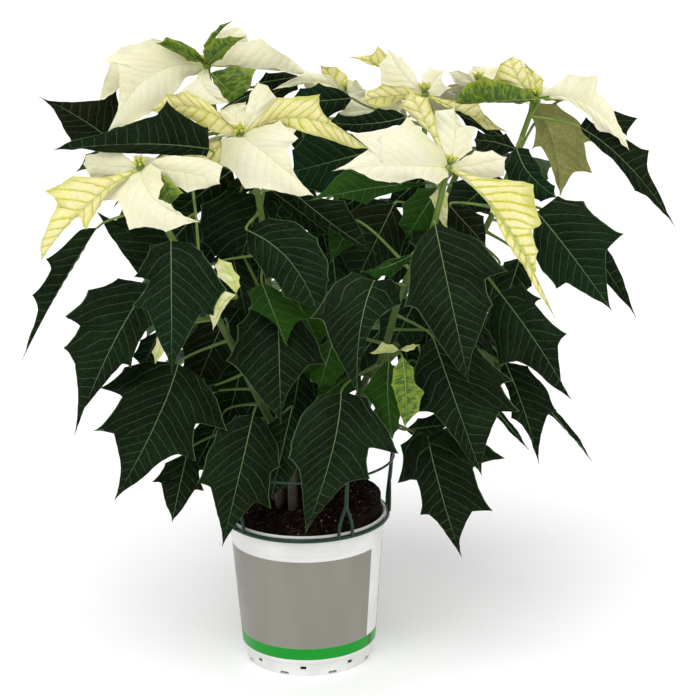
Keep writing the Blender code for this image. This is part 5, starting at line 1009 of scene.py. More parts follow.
def place_petioles(placer, paths, blades):
    """A clear petiole for every traced green leaf."""
    petioles = []
    for blade, bract in blades:
        if bract:
            continue
        route = find_petiole(placer, paths, blade)[1]
        petioles.append((blade, route))
        keep_petiole(placer, blade, route)
    return petioles


def mesh_object(name, points, faces):
    """A mesh in the scene, from its points and faces."""
    mesh = bpy.data.meshes.new(name)
    mesh.from_pydata([tuple(p) for p in points], [], faces)
    mesh.update()
    thing = bpy.data.objects.new(name, mesh)
    bpy.context.scene.collection.objects.link(thing)
    return thing


def cut(thing, cutters):
    """Cut pieces out of an object, then remove the pieces."""
    group = bpy.data.collections.new("cutters")
    bpy.context.scene.collection.children.link(group)
    for cutter in cutters:
        bpy.context.scene.collection.objects.unlink(cutter)
        group.objects.link(cutter)
    boolean = thing.modifiers.new("cut", "BOOLEAN")
    boolean.operation = "DIFFERENCE"
    boolean.operand_type = "COLLECTION"
    boolean.collection = group
    boolean.solver = "EXACT"
    bpy.context.view_layer.update()
    graph = bpy.context.evaluated_depsgraph_get()
    result = bpy.data.meshes.new_from_object(thing.evaluated_get(graph))
    thing.modifiers.clear()
    old = thing.data
    thing.data = result
    bpy.data.meshes.remove(old)
    for cutter in cutters:
        data = cutter.data
        bpy.data.objects.remove(cutter)
        bpy.data.meshes.remove(data)
    bpy.data.collections.remove(group)
    thing.data.name = thing.name


def turned_solid(profile, segments):
    """Solid of revolution of a profile that starts and ends on the axis."""
    points = []
    rings = []
    for radius, height in profile:
        if radius == 0.0:
            rings.append([len(points)])
            points.append(Vector((0.0, 0.0, height)))
            continue
        ring = []
        for k in range(segments):
            angle = 2.0 * math.pi * k / segments
            ring.append(len(points))
            points.append(Vector((math.cos(angle) * radius, math.sin(angle) * radius, height)))
        rings.append(ring)
    faces = []
    for low, high in zip(rings, rings[1:]):
        for k in range(segments):
            a = low[k % len(low)]
            b = low[(k + 1) % len(low)]
            c = high[(k + 1) % len(high)]
            d = high[k % len(high)]
            corners = [a]
            for corner in (b, c, d):
                if corner not in corners:
                    corners.append(corner)
            faces.append(tuple(corners))
    return points, faces


def box_solid(centre, size, heading):
    """Box turned to a heading: size is along the heading, across it and up."""
    angle = math.radians(heading)
    way = Vector((math.sin(angle), -math.cos(angle), 0.0)) * (0.5 * size[0])
    side = Vector((math.cos(angle), math.sin(angle), 0.0)) * (0.5 * size[1])
    up = Vector((0.0, 0.0, 0.5 * size[2]))
    points = []
    for z in (-1, 1):
        for w, s in ((-1, -1), (1, -1), (1, 1), (-1, 1)):
            points.append(centre + way * w + side * s + up * z)
    faces = [(0, 3, 2, 1), (4, 5, 6, 7), (0, 1, 5, 4), (1, 2, 6, 5), (2, 3, 7, 6), (3, 0, 4, 7)]
    return points, faces


def pot_profile():
    """Radius and height round the pot's section, from under its foot to its floor inside."""
    wall = POT_WALL
    return (
        (0.0, 0.0), (POT_PAD_RADIUS, 0.0), (POT_PAD_RADIUS, POT_HOLLOW_HEIGHT),
        (POT_FOOT_RADIUS - 4.0 * MM, POT_HOLLOW_HEIGHT), (POT_FOOT_RADIUS - 3.0 * MM, 0.0),
        (POT_FOOT_RADIUS, 0.0), (POT_FOOT_RADIUS + 1.6 * MM, POT_STEP_HEIGHT - 3.0 * MM),
        (POT_STEP_RADIUS, POT_STEP_HEIGHT), (POT_SKIRT_RADIUS, POT_SKIRT_HEIGHT),
        (POT_SKIRT_RADIUS + 1.0 * MM, POT_SKIRT_HEIGHT + 1.0 * MM),
        (POT_RIM_RADIUS - 1.0 * MM, POT_LIP_HEIGHT - 0.8 * MM), (POT_RIM_RADIUS, POT_LIP_HEIGHT),
        (POT_RIM_RADIUS, POT_HEIGHT - 0.9 * MM), (POT_RIM_RADIUS - 1.4 * MM, POT_HEIGHT),
        (POT_RIM_RADIUS - 2.8 * MM, POT_HEIGHT - 0.9 * MM),
        (POT_SKIRT_RADIUS - wall, POT_SKIRT_HEIGHT - 0.4 * MM),
        (POT_STEP_RADIUS - wall, POT_STEP_HEIGHT + 0.6 * MM),
        (POT_FOOT_RADIUS, POT_STEP_HEIGHT - 2.4 * MM),
        (POT_FOOT_RADIUS - wall, POT_FLOOR_HEIGHT), (0.0, POT_FLOOR_HEIGHT),
    )


# Radius and height of the soil's side at each bend of the pot's wall
SOIL_SIDE = (
    (POT_FOOT_RADIUS - POT_WALL - SOIL_GAP, POT_FLOOR_HEIGHT + SOIL_SEAT),
    (POT_FOOT_RADIUS - SOIL_GAP, POT_STEP_HEIGHT - 1.9 * MM),
    (POT_STEP_RADIUS - POT_WALL - SOIL_GAP, POT_STEP_HEIGHT + 0.8 * MM),
    (POT_SKIRT_RADIUS - POT_WALL - SOIL_GAP, POT_SKIRT_HEIGHT),
)


def soil_solid():
    """Root ball with a lumpy mounded top, clear of the pot by its gap."""
    rng = random.Random(7)
    points = [Vector((0.0, 0.0, POT_FLOOR_HEIGHT + SOIL_SEAT))]
    rings = []
    for radius, height in SOIL_SIDE:
        ring = []
        for k in range(SOIL_SEGMENTS):
            angle = 2.0 * math.pi * k / SOIL_SEGMENTS
            ring.append(len(points))
            points.append(Vector((math.cos(angle) * radius, math.sin(angle) * radius, height)))
        rings.append(ring)
    for share in (1.0, 0.78, 0.5):
        ring = []
        for k in range(SOIL_SEGMENTS):
            angle = 2.0 * math.pi * k / SOIL_SEGMENTS
            x = math.cos(angle) * share * SOIL_TOP_RADIUS
            y = math.sin(angle) * share * SOIL_TOP_RADIUS
            lump = rng.uniform(-SOIL_LUMP, SOIL_LUMP) * (0.4 if share == 1.0 else 1.0)
            ring.append(len(points))
            points.append(Vector((x, y, soil_height(x, y) + lump)))
        rings.append(ring)
    top = len(points)
    points.append(Vector((0.0, 0.0, soil_height(0.0, 0.0))))
    faces = []
    for k in range(SOIL_SEGMENTS):
        faces.append((0, rings[0][(k + 1) % SOIL_SEGMENTS], rings[0][k]))
        faces.append((top, rings[-1][k], rings[-1][(k + 1) % SOIL_SEGMENTS]))
    for low, high in zip(rings, rings[1:]):
        for k in range(SOIL_SEGMENTS):
            after = (k + 1) % SOIL_SEGMENTS
            faces.append((low[k], low[after], high[after]))
            faces.append((low[k], high[after], high[k]))
    return points, faces


def ring_bar(radius, height, half_width, half_height, segments, sides):
    """Closed bar round the pot's axis, four-sided or round."""
    points = []
    faces = []
    for k in range(segments):
        heading = 360.0 * k / segments
        for j in range(sides):
            angle = 2.0 * math.pi * (j + 0.5) / sides
            points.append(heading_point(
                heading, radius + math.cos(angle) * half_width,
                height + math.sin(angle) * half_height))
    for k in range(segments):
        for j in range(sides):
            a = k * sides + j
            b = k * sides + (j + 1) % sides
            c = ((k + 1) % segments) * sides + (j + 1) % sides
            d = ((k + 1) % segments) * sides + j
            faces += [(a, c, b), (a, d, c)]
    return points, faces


def post_ends(heading):
    """Foot and head of one upright."""
    low = heading_point(heading, RING_RADIUS + 2.6 * MM, POST_FOOT_HEIGHT)
    return low, heading_point(heading, HOOP_RADIUS, HOOP_HEIGHT + 1.0 * MM)


def leg_ends(heading, hand):
    """Foot and head of one leg of an upright's fork."""
    foot = heading_point(heading + hand * LEG_SPREAD, RING_RADIUS + 1.4 * MM, RING_HEIGHT - 0.6 * MM)
    return foot, heading_point(heading + hand * 0.5, RING_RADIUS + 2.7 * MM, POST_FOOT_HEIGHT + 3.0 * MM)


def support_solids():
    """Clip ring under the lip, forked uprights and the hoop above the soil."""
    root = math.sqrt(0.5)
    solids = [
        ring_bar(RING_RADIUS, RING_HEIGHT, RING_WIDTH * root, RING_THICKNESS * root, 30, 4),
        ring_bar(HOOP_RADIUS, HOOP_HEIGHT, HOOP_THICKNESS, HOOP_THICKNESS, 25, 4),
    ]
    for heading in UPRIGHT_HEADINGS:
        solids.append(tube(post_ends(heading), [POST_RADIUS, POST_RADIUS * 0.85], 4))
        for hand in (-1.0, 1.0):
            solids.append(tube(leg_ends(heading, hand), [LEG_RADIUS] * 2, 3, 0.3))
    return solids


def button_line(number, radius, shares):
    """Points along the axis of a bloom's small rounded seat."""
    path = stem_path(number)
    axis = (path[-1] - path[-2]).normalized()
    centre = path[-1] + axis * (BUTTON_RADIUS * 0.85 + BUTTON_GAP)
    return [centre + axis * (radius * share) for share in shares]


def button_solid(number):
    """The room that a bloom's seat needs."""
    radius = BUTTON_RADIUS * 1.2
    line = button_line(number, radius, (-0.85, -0.35, 0.35, 0.85))
    return tube(line, [radius * k for k in (0.5, 0.94, 0.94, 0.5)], 6)


def bud_seat(number):
    """Middle of a cluster of buds, the way it faces and two ways across that."""
    facing = bloom_facing(number)
    side = facing.cross(Vector((0.9, 0.3, 0.2))).normalized()
    seat = bloom_centre(number) + facing * (BUTTON_RADIUS + BUTTON_GAP + 0.2 * MM)
    return seat, facing, side, facing.cross(side)


def bud_solids(number):
    """Cluster of small pointed buds on a little disc."""
    seat, facing, side, other = bud_seat(number)
    solids = [tube([seat, seat + facing * (2.0 * MM)], [2.4 * MM, 3.1 * MM], 4)]
    count = 3 if number in NEAR_BLOOMS else 2
    for k in range(count):
        angle = 2.0 * math.pi * k / count + number
        lean = side * math.cos(angle) + other * math.sin(angle)
        foot = seat + facing * (1.0 * MM) + lean * (1.4 * MM)
        way = (facing + lean * 0.35).normalized()
        path = [foot, foot + way * (BUD_LENGTH * 0.5), foot + way * BUD_LENGTH]
        solids.append(tube(path, [1.2 * MM, BUD_RADIUS * (1.0 - 0.1 * k), 0.8 * MM], 4))
    return solids


# Leaves deep in the plant, seen only through the gaps between the others
SHADE_LEAVES = (
    ("leaf", 5, (438, 188), (406, 238), None, (20, 4, 0, 0.1),
     [(418, 188), (402, 204), (398, 224)], [(448, 204), (446, 224), (424, 240)]),
    ("leaf", 9, (266, 98), (302, 76), None, (120, 110, 0, 0.1),
     [(268, 82), (284, 72)], [(282, 100), (298, 90)]),
    ("leaf", 5, (380, 330), (344, 378), None, (-6, -14, 0, 0.1),
     [(358, 328), (342, 344), (336, 362)], [(386, 348), (378, 366), (360, 378)]),
    ("leaf", 5, (360, 368), (312, 404), None, (10, 0, 0, 0.1),
     [(338, 368), (318, 380)], [(362, 388), (338, 404)]),
    ("leaf", 2, (246, 298), (220, 336), None, (6, -4, 0, 0.1),
     [(228, 298), (216, 316)], [(250, 316), (240, 332)]),
    ("leaf", 2, (290, 286), (320, 346), None, (0, -10, 0, 0.1),
     [(284, 304), (292, 326), (306, 340)], [(310, 292), (328, 310), (330, 332)]),
    ("leaf", 5, (402, 334), (412, 380), None, (14, 6, 0, 0.1),
     [(394, 350), (398, 366)], [(418, 342), (424, 360)]),
    ("leaf", 5, (406, 430), (450, 424), None, (-10, -20, 0, 0.1),
     [(418, 418), (434, 414)], [(420, 442), (438, 438)]),
    ("leaf", 2, (292, 408), (271, 499), None, (-62, -66, -4, 0.1),
     [(268, 424), (252, 452), (257, 480)], [(308, 432), (303, 462), (288, 484)]),
    ("leaf", 3, (252, 392), (232, 428), None, (-30, -34, 0, 0.1),
     [(236, 392), (224, 410)], [(260, 408), (248, 424)]),
    ("leaf", 6, (506, 138), (452, 110), None, (46, 36, 0, 0.1),
     [(486, 116), (468, 106)], [(490, 138), (466, 126)]),
    ("leaf", 6, (470, 318), (502, 368), None, (6, -4, 0, 0.1),
     [(472, 340), (484, 358)], [(486, 322), (502, 346)]),
    ("leaf", 7, (366, 190), (336, 214), None, (40, 30, 0, 0.1),
     [(352, 186), (338, 196)], [(366, 204), (352, 214)]),
    ("leaf", 2, (256, 176), (226, 196), None, (6, -6, 0, 0.1),
     [(242, 172), (228, 182)], [(254, 190), (240, 198)]),
    ("leaf", 9, (262, 240), (256, 296), None, (50, 40, 0, 0.1),
     [(244, 252), (242, 274)], [(276, 254), (274, 278)]),
    ("leaf", 7, (322, 296), (300, 344), None, (50, 40, 0, 0.1),
     [(302, 300), (292, 320)], [(334, 314), (322, 336)]),
    ("leaf", 5, (424, 176), (382, 212), None, (30, 20, 0, 0.1),
     [(408, 174), (392, 188)], [(426, 192), (404, 208)]),
    ("leaf", 5, (421, 224), (396, 268), None, (30, 20, 0, 0.1),
     [(406, 226), (396, 244)], [(424, 242), (412, 260)]),
    ("leaf", 5, (413, 258), (380, 286), None, (24, 14, 0, 0.1),
     [(400, 258), (386, 268)], [(414, 272), (398, 284)]),
    ("leaf", 6, (500, 264), (484, 318), None, (20, 10, 0, 0.1),
     [(486, 272), (480, 294)], [(506, 284), (498, 306)]),
    ("leaf", 6, (430, 314), (424, 358), None, (24, 16, 0, 0.1),
     [(418, 322), (414, 340)], [(440, 330), (434, 346)]),
    ("leaf", 5, (328, 348), (292, 386), None, (10, 4, 0, 0.1),
     [(312, 346), (298, 362)], [(328, 366), (308, 384)]),
    ("leaf", 2, (226, 224), (196, 274), None, (-6, -14, 0, 0.1),
     [(208, 228), (194, 252)], [(226, 244), (212, 264)]),
    ("leaf", 3, (116, 148), (76, 172), None, (-92, -88, 0, 0.1),
     [(102, 145), (86, 154)], [(112, 160), (94, 170)]),
    ("leaf", 2, (262, 196), (292, 232), None, (-8, -14, 0, 0.1),
     [(256, 212), (270, 228)], [(278, 198), (292, 214)]),
    ("leaf", 7, (300, 126), (318, 180), None, (56, 44, 0, 0.1),
     [(288, 140), (296, 164)], [(320, 136), (330, 160)]),
    ("leaf", 7, (330, 160), (384, 190), None, (50, 44, 0, 0.1),
     [(338, 176), (360, 190)], [(348, 158), (370, 170)]),
    ("leaf", 8, (464, 190), (446, 248), None, (60, 50, 0, 0.1),
     [(446, 196), (434, 222)], [(474, 206), (464, 232)]),
    ("leaf", 7, (318, 212), (330, 262), None, (40, 30, 0, 0.1),
     [(304, 226), (314, 246)], [(334, 222), (342, 244)]),
    ("leaf", 2, (276, 394), (252, 438), None, (0, -6, 0, 0.1),
     [(260, 398), (246, 418)], [(280, 412), (266, 432)]),
    ("leaf", 7, (334, 314), (320, 364), None, (40, 34, 0, 0.1),
     [(320, 322), (310, 344)], [(344, 332), (334, 354)]),
    ("leaf", 5, (326, 370), (310, 416), None, (10, 4, 0, 0.1),
     [(314, 376), (302, 396)], [(334, 386), (322, 408)]),
)

# Feet of the leaves painted a brighter green, as painted light shining through them
PAINTED_LIGHT_FEET = {
    (433, 182), (262, 283), (389, 360), (334, 338), (352, 222), (360, 368), (290, 286), (116, 148),
    (438, 188), (328, 348),
}

# Tip of the veined bract that is greenest along its midrib
GREENEST_TIP = (556, 320)

# Feet of the young leaves that have turned green; they also take the painted light of the brighter leaves
GREENED_FEET = {(412, 254)}

# Smaller leaves inside the plant, turned to its sides: stems, shares of their height
INNER_STEMS = (1, 2, 3, 4, 5, 6, 7, 8, 9)
INNER_SHARES = (0.38, 0.54, 0.7)
INNER_LENGTH = 88.0
INNER_WIDTH = 66.0
PLANT_MIDDLE = 30.0 * MM
MOST_BARE = 0.35


class Laid:
    """A blade in its place: whether it is a bract, laid face up, near the viewer, and at full tint, which
    is painted light as a brighter green on a leaf and the strongest colours on a veined bract.
    """

    def __init__(self, blade, bract, up, near, painted_light_and_strong_tint=False):
        self.blade = blade
        self.bract = bract
        self.up = up
        self.near = near
        self.painted_light_and_strong_tint = painted_light_and_strong_tint


def place_shade(placer, paths, petioles):
    """The deep leaves that find clear room, with their petioles."""
    blades = []
    for row in SHADE_LEAVES:
        for shift in LEAF_SHIFTS:
            blade = lay_traced(row, *shift)
            if settle(placer, paths, petioles, blade):
                # Leaves on the painted light list get full tint, a brighter green painted as light shining
                # through
                blades.append(Laid(blade, False, True, False, row[2] in PAINTED_LIGHT_FEET))
                break
    return blades


def bare_share(placer, blade):
    """Share of a blade's outline that nothing covers in the front view."""
    spots = [blade.tip, *blade.mids, *blade.left, *blade.right]
    bare = 0
    for spot in spots:
        bare += not any(
            label in ("leaf", "whole bract") and tree.ray_cast(spot, -FORWARD)[0]
            for label, _, _, tree in placer.pieces
        )
    return bare / len(spots)


def place_inner(placer, paths, petioles):
    """The smaller leaves that face the sides, where they are clear and covered in front."""
    blades = []
    spots = [(number, share) for share in INNER_SHARES for number in INNER_STEMS]
    for order, (number, share) in enumerate(spots):
        heading = 84 if point_along(paths[number], share).x > PLANT_MIDDLE else 276
        heading += 20 if order % 2 else -20
        row = ("leaf", number, share, heading, -4, -68, INNER_LENGTH, INNER_WIDTH)
        for blade in rear_trials(row, paths, order):
            if not within_canopy(blade) or bare_share(placer, blade) > MOST_BARE:
                continue
            if settle(placer, paths, petioles, blade):
                blades.append(Laid(blade, False, False, False))
                break
    return blades


def lay_out():
    """Place every blade and petiole; the same rules give the same plant each time."""
    placer = Placer()
    paths = {number: stem_path(number) for number in STEMS}
    for solid in support_solids():
        placer.add("support", 0, *solid)
    placer.add("pot", 0, *turned_solid(pot_profile(), 24))
    placer.add("soil", 0, *soil_solid())
    for number, path in paths.items():
        radii = [radius + BLADE_CLEARANCE for radius in stem_radii(path)]
        placer.add("stem", number, *tube(path, radii, STEM_SIDES))
    for number in BLOOMS:
        placer.add("button", number, *button_solid(number))
        for solid in bud_solids(number):
            placer.add("buds", number, *solid)
    blades = place_traced(placer)
    petioles = place_petioles(placer, paths, blades)
    laid = []
    for (blade, bract), row in zip(blades, TRACED):
        # Full tint: painted light on the listed leaves and the greened young leaf, strongest colours on the
        # greenest veined bract
        painted_light_and_strong_tint = row[2] in PAINTED_LIGHT_FEET or row[2] in GREENED_FEET or row[3] == GREENEST_TIP
        if row[2] in GREENED_FEET:
            blade.kind = "leaf"
        laid.append(Laid(blade, bract, blade.kind != "under", True, painted_light_and_strong_tint))
    for place in (place_rear, place_shade, place_inner):
        laid += place(placer, paths, petioles)
    return paths, laid, petioles


# Fine blades
FINE_THICKNESS = 0.45 * MM
RIDGE = 0.8 * MM
UNEVENNESS = 0.8 * MM
VEIN_SPACING = 10.2 * MM
VEIN_SLOPE = 0.42
VEIN_ARCH = 4.0
NEAR_ROW = 3.2 * MM
REAR_ROW = 6.0 * MM
NEAR_COLUMNS = (0.0, 0.035, 0.11, 0.23, 0.38, 0.54, 0.7, 0.86, 1.0)
REAR_COLUMNS = (0.0, 0.05, 0.2, 0.42, 0.7, 1.0)
SHARP_CORNER = 24.0
SOFT_KINDS = ("cream", "vein", "fleck")

# Swelling, depth of the side veins, height of the waves, hollow and raggedness of a margin
SOFT_FORM = (0.08, -0.26 * MM, 2.2 * MM, 0.25, 0.9 * MM)
FIRM_FORM = (0.075, -0.4 * MM, 1.3 * MM, 0.5, 0.55 * MM)

# Materials of the upper and lower side of each kind of blade
LAID_SIDES = {
    "leaf": ("leaf", "leaf_under"),
    "under": ("leaf", "olive_under"),
    "young": ("young", "young"),
    "fleck": ("fleck", "fleck"),
    "cream": ("bract", "bract_under"),
    "vein": ("veined_bract", "bract_under"),
}


def corner_ways(corner, before, after, mid, hollow):
    """Directions of a margin into and out of a corner: teeth are pointed, with hollow sides."""
    first = corner - before
    second = after - corner
    even = (after - before) * 0.5
    if min(first.length, second.length) < 0.1 * MM or math.degrees(first.angle(second)) < SHARP_CORNER:
        return even, even
    if (corner - (before + after) * 0.5).dot(corner - mid) <= 0.0:
        return first.lerp(even, 0.5), second.lerp(even, 0.5)
    out = (corner - mid).normalized() * hollow
    return first.lerp(even, 0.1) + out * first.length, second.lerp(even, 0.1) - out * second.length


def limited(way, longest):
    """A direction no longer than a given length."""
    return way * (longest / way.length) if way.length > longest else way


def bend(start, end, leave, arrive, steps):
    """Points of a curve between two points, without the first."""
    span = (end - start).length
    leave = limited(leave, 1.15 * span)
    arrive = limited(arrive, 1.15 * span)
    line = []
    for k in range(1, steps + 1):
        t = k / steps
        square = t * t
        cube = square * t
        line.append(
            start * (2.0 * cube - 3.0 * square + 1.0) + leave * (cube - 2.0 * square + t)
            + end * (3.0 * square - 2.0 * cube) + arrive * (cube - square)
        )
    return line


def margin(blade, corners, steps):
    """Points of one slightly ragged margin, from the foot to the tip."""
    hollow, ragged = (SOFT_FORM if blade.kind in SOFT_KINDS else FIRM_FORM)[3:]
    spots = [blade.base, *corners, blade.tip]
    rows = [blade.base, *blade.mids, blade.tip]
    foot = (spots[1] - spots[0]) + (spots[1] - rows[1]) * 0.4
    point = (spots[-1] - spots[-2]).lerp(spots[-1] - rows[-2], 0.75)
    ways = [(foot, foot)]
    for i in range(1, len(spots) - 1):
        ways.append(corner_ways(spots[i], spots[i - 1], spots[i + 1], rows[i], hollow))
    ways.append((point, point))
    line = [blade.base]
    for i, count in enumerate(steps):
        line += bend(spots[i], spots[i + 1], ways[i][1], ways[i + 1][0], count)
    for k in range(2, len(line) - 2):
        out = (line[k + 1] - line[k - 1]).cross(blade.left[0] - blade.right[0])
        across = (line[k + 1] - line[k - 1]).cross(out)
        if across.length:
            line[k] = line[k] + across.normalized() * (ragged * noise.noise(line[k] * 170.0))
    return line


def midrib_line(blade, steps):
    """Points of the midrib, smooth all along."""
    spots = [blade.base, *blade.mids, blade.tip]
    ways = []
    for i in range(len(spots)):
        low = max(i - 1, 0)
        high = min(i + 1, len(spots) - 1)
        ways.append((spots[high] - spots[low]) / (high - low))
    line = [blade.base]
    for i, count in enumerate(steps):
        line += bend(spots[i], spots[i + 1], ways[i], ways[i + 1], count)
    return line


def span_steps(blade, row):
    """Number of fine rows between each two rows of a blade."""
    lines = [[blade.base, *side, blade.tip] for side in (blade.left, blade.right, blade.mids)]
    steps = []
    for i in range(len(blade.mids) + 1):
        longest = max((line[i + 1] - line[i]).length for line in lines)
        steps.append(max(2, math.ceil(longest / row)))
    return steps


def surface_normals(spots, faces):
    """Unit normal at each point of an open surface."""
    normals = np.zeros_like(spots)
    corners = np.array([(face[0], face[1], face[-1]) for face in faces])
    first = spots[corners[:, 1]] - spots[corners[:, 0]]
    second = spots[corners[:, 2]] - spots[corners[:, 0]]
    crossed = np.cross(first, second)
    for face, normal in zip(faces, crossed):
        for corner in face:
            normals[corner] += normal
    sizes = np.linalg.norm(normals, axis=1)
    sizes[sizes < 1e-14] = 1.0
    return normals / sizes[:, None]


class Skin:
    """Collects the points, faces and patterns of one piece before it becomes a mesh."""

    def __init__(self):
        self.points = []
        self.faces = []
        self.looks = []
        self.veins = []
        self.sizes = []
        self.rims = []
        self.tints = []

    def add(self, points, faces, look, tint=0.5, veins=None, sizes=None, rims=None):
        first = len(self.points)
        count = len(points)
        self.points.extend(tuple(point) for point in points)
        self.faces.extend(tuple(first + corner for corner in face) for face in faces)
        self.looks.extend([look] * len(faces))
        self.veins.extend(veins if veins else [(0.0, 0.0)] * count)
        self.sizes.extend(sizes if sizes else [(0.0, 0.0)] * count)
        self.rims.extend(rims if rims else [0.0] * count)
        self.tints.extend([tint] * count)

    def make(self, name, looks, sharp=60.0):
        mesh = bpy.data.meshes.new(name)
        mesh.from_pydata(self.points, [], self.faces)
        names = sorted(set(self.looks))
        for look in names:
            mesh.materials.append(looks[look])
        order = {look: number for number, look in enumerate(names)}
        mesh.polygons.foreach_set("material_index", [order[look] for look in self.looks])
        corners = np.zeros(len(mesh.loops), dtype=np.int32)
        mesh.loops.foreach_get("vertex_index", corners)
        for layer, values in (("Veins", self.veins), ("Sizes", self.sizes)):
            made = mesh.uv_layers.new(name=layer)
            made.data.foreach_set("uv", np.array(values, dtype=np.float32)[corners].ravel())
        for layer, values in (("rim", self.rims), ("tint", self.tints)):
            made = mesh.attributes.new(layer, "FLOAT", "POINT")
            made.data.foreach_set("value", np.array(values, dtype=np.float32))
        mesh.update()
        mesh.shade_smooth()
        mesh.set_sharp_from_angle(angle=math.radians(sharp))
        thing = bpy.data.objects.new(name, mesh)
        bpy.context.scene.collection.objects.link(thing)
        return thing


def vein_place(along, out):
    """Where a spot lies between the side veins, which slope forwards and arch: whole on a vein."""
    reach = abs(out)
    shift = 0.0 if out < 0.0 else 0.35
    return (along - VEIN_SLOPE * reach - VEIN_ARCH * reach * reach) / VEIN_SPACING + shift


def relief(kind, point, along, out, share, length, phase):
    """Height of a blade's swelling, side veins and waves over its plain surface."""
    swelling, sink, waving = (SOFT_FORM if kind in SOFT_KINDS else FIRM_FORM)[:3]
    reach = abs(share)
    half = abs(out) / reach if reach else 0.0
    swell = swelling * half * math.sin(math.pi * min(1.0, reach * 1.1))
    groove = math.cos(2.0 * math.pi * vein_place(along, out))
    groove *= min(1.0, 5.0 * reach) * min(1.0, 2.5 * (1.0 - reach))
    quilt = sink * groove
    wave = waving * reach * reach * math.sin(along * 110.0 + phase + 2.0 * share)
    rough = UNEVENNESS * reach * noise.noise(point * 26.0)
    end = min(1.0, 6.0 * along / length, 8.0 * (1.0 - along / length))
    return (swell + quilt + wave + rough) * end


def blade_grid(blade, steps, shares):
    """Points of a blade row by row, and the place of each: along it, across it and its share."""
    mid = midrib_line(blade, steps)
    left = margin(blade, blade.left, steps)
    right = margin(blade, blade.right, steps)
    points = [blade.base]
    places = [(0.0, 0.0, 0.0)]
    along = 0.0
    for j in range(1, len(mid) - 1):
        along += (mid[j] - mid[j - 1]).length
        for share in shares:
            rim = left[j] if share < 0.0 else right[j]
            points.append(mid[j].lerp(rim, abs(share)))
            places.append((along, share * (rim - mid[j]).length, share))
    points.append(blade.tip)
    places.append((along + (mid[-1] - mid[-2]).length, 0.0, 0.0))
    return points, places


def grid_faces(rows, width, last):
    """Faces between the foot, the rows of points and the tip."""
    faces = []
    for c in range(width - 1):
        faces.append((0, 1 + c, 2 + c))
        faces.append((last - width + c + 1, last - width + c, last))
    for j in range(rows - 1):
        low = 1 + j * width
        for c in range(width - 1):
            faces.append((low + c, low + width + c, low + width + c + 1, low + c + 1))
    return faces


def add_fine_blade(skin, laid, rng):
    """A blade as a thin curved skin with sunken veins, a raised midrib below and a waved margin."""
    blade = laid.blade
    columns = NEAR_COLUMNS if laid.near else REAR_COLUMNS
    shares = [*(-share for share in reversed(columns[1:])), *columns]
    points, places = blade_grid(blade, span_steps(blade, NEAR_ROW if laid.near else REAR_ROW), shares)
    length = places[-1][0]
    last = len(points) - 1
    width = len(shares)
    rows = (last - 1) // width
    faces = grid_faces(rows, width, last)
    spots = np.array([tuple(point) for point in points])
    turned = 1.0 if laid.up else -1.0
    phase = rng.uniform(0.0, 2.0 * math.pi)
    heights = np.array([
        relief(blade.kind, point, *place, length, phase) for point, place in zip(points, places)
    ])
    spots += surface_normals(spots, faces) * (turned * heights)[:, None]
    normals = surface_normals(spots, faces) * turned
    ridge = np.array([
        RIDGE * (1.0 - 0.8 * place[0] / length) if place[2] == 0.0 else 0.0 for place in places
    ])
    above = spots + normals * (0.5 * FINE_THICKNESS)
    below = spots - normals * (0.5 * FINE_THICKNESS + ridge)[:, None]
    # Full tint paints a leaf brighter green as painted light, and gives a veined bract its strongest
    # colours
    tint = 1.0 if laid.painted_light_and_strong_tint else rng.uniform(0.0, 0.7)
    veins = [(vein_place(place[0], place[1]), place[0] / length) for place in places]
    sizes = [(place[0], place[1]) for place in places]
    rims = [abs(place[2]) for place in places]
    back = [(face[0], *reversed(face[1:])) for face in faces]
    upper, lower = LAID_SIDES[blade.kind]
    skin.add(above, faces if laid.up else back, upper, tint, veins, sizes, rims)
    skin.add(below, back if laid.up else faces, lower, tint, veins, sizes, rims)
    loop = [0, *(1 + j * width for j in range(rows)), last, *(j * width for j in range(rows, 0, -1))]
    edge = []
    for i, start in enumerate(loop):
        end = loop[(i + 1) % len(loop)]
        quad = (start, start + last + 1, end + last + 1, end)
        edge.append(quad if laid.up else tuple(reversed(quad)))
    both = np.concatenate((above, below))
    skin.add(both, edge, upper, tint, veins * 2, sizes * 2, rims * 2)


def add_fine_tube(skin, path, radii, sides, look, tint=0.5):
    """A round bar along a path; its pattern runs by mm along and round it."""
    points, faces = tube(path, radii, sides)
    sizes = []
    reach = 0.0
    for i, point in enumerate(path):
        reach += (point - path[i - 1]).length if i else 0.0
        sizes += [(reach, k / sides * 2.0 * math.pi * radii[i]) for k in range(sides)]
    skin.add(points, faces, look, tint, None, sizes)


def even_radii(start, end, count):
    """Radii that change evenly from one end to the other."""
    return [start + (end - start) * i / (count - 1) for i in range(count)]


def make_foliage(number, path, blades, petioles, looks):
    """A stem with its petioles and leaves."""
    rng = random.Random(100 + number)
    skin = Skin()
    stem = smooth_path(path, 5)
    radii = even_radii(STEM_FOOT_RADIUS, STEM_TOP_RADIUS, len(stem))
    radii = [
        radius * (1.0 + 0.05 * noise.noise(point * 120.0)) for radius, point in zip(radii, stem)
    ]
    add_fine_tube(skin, stem, radii, 12, "stem")
    for blade, route in petioles:
        if blade.plant != number:
            continue
        line = smooth_path(route, 6)
        swell = [1.0 + 0.7 * math.exp(-i / 1.6) + 0.15 * math.exp((i - len(line)) / 2.0)
                 for i in range(len(line))]
        thin = even_radii(PETIOLE_RADIUS * 0.95, PETIOLE_RADIUS * 0.72, len(line))
        add_fine_tube(skin, line, [a * b for a, b in zip(swell, thin)], 8, "petiole", rng.random())
    for laid in blades:
        add_fine_blade(skin, laid, rng)
    return skin.make("foliage_%d" % number, looks)


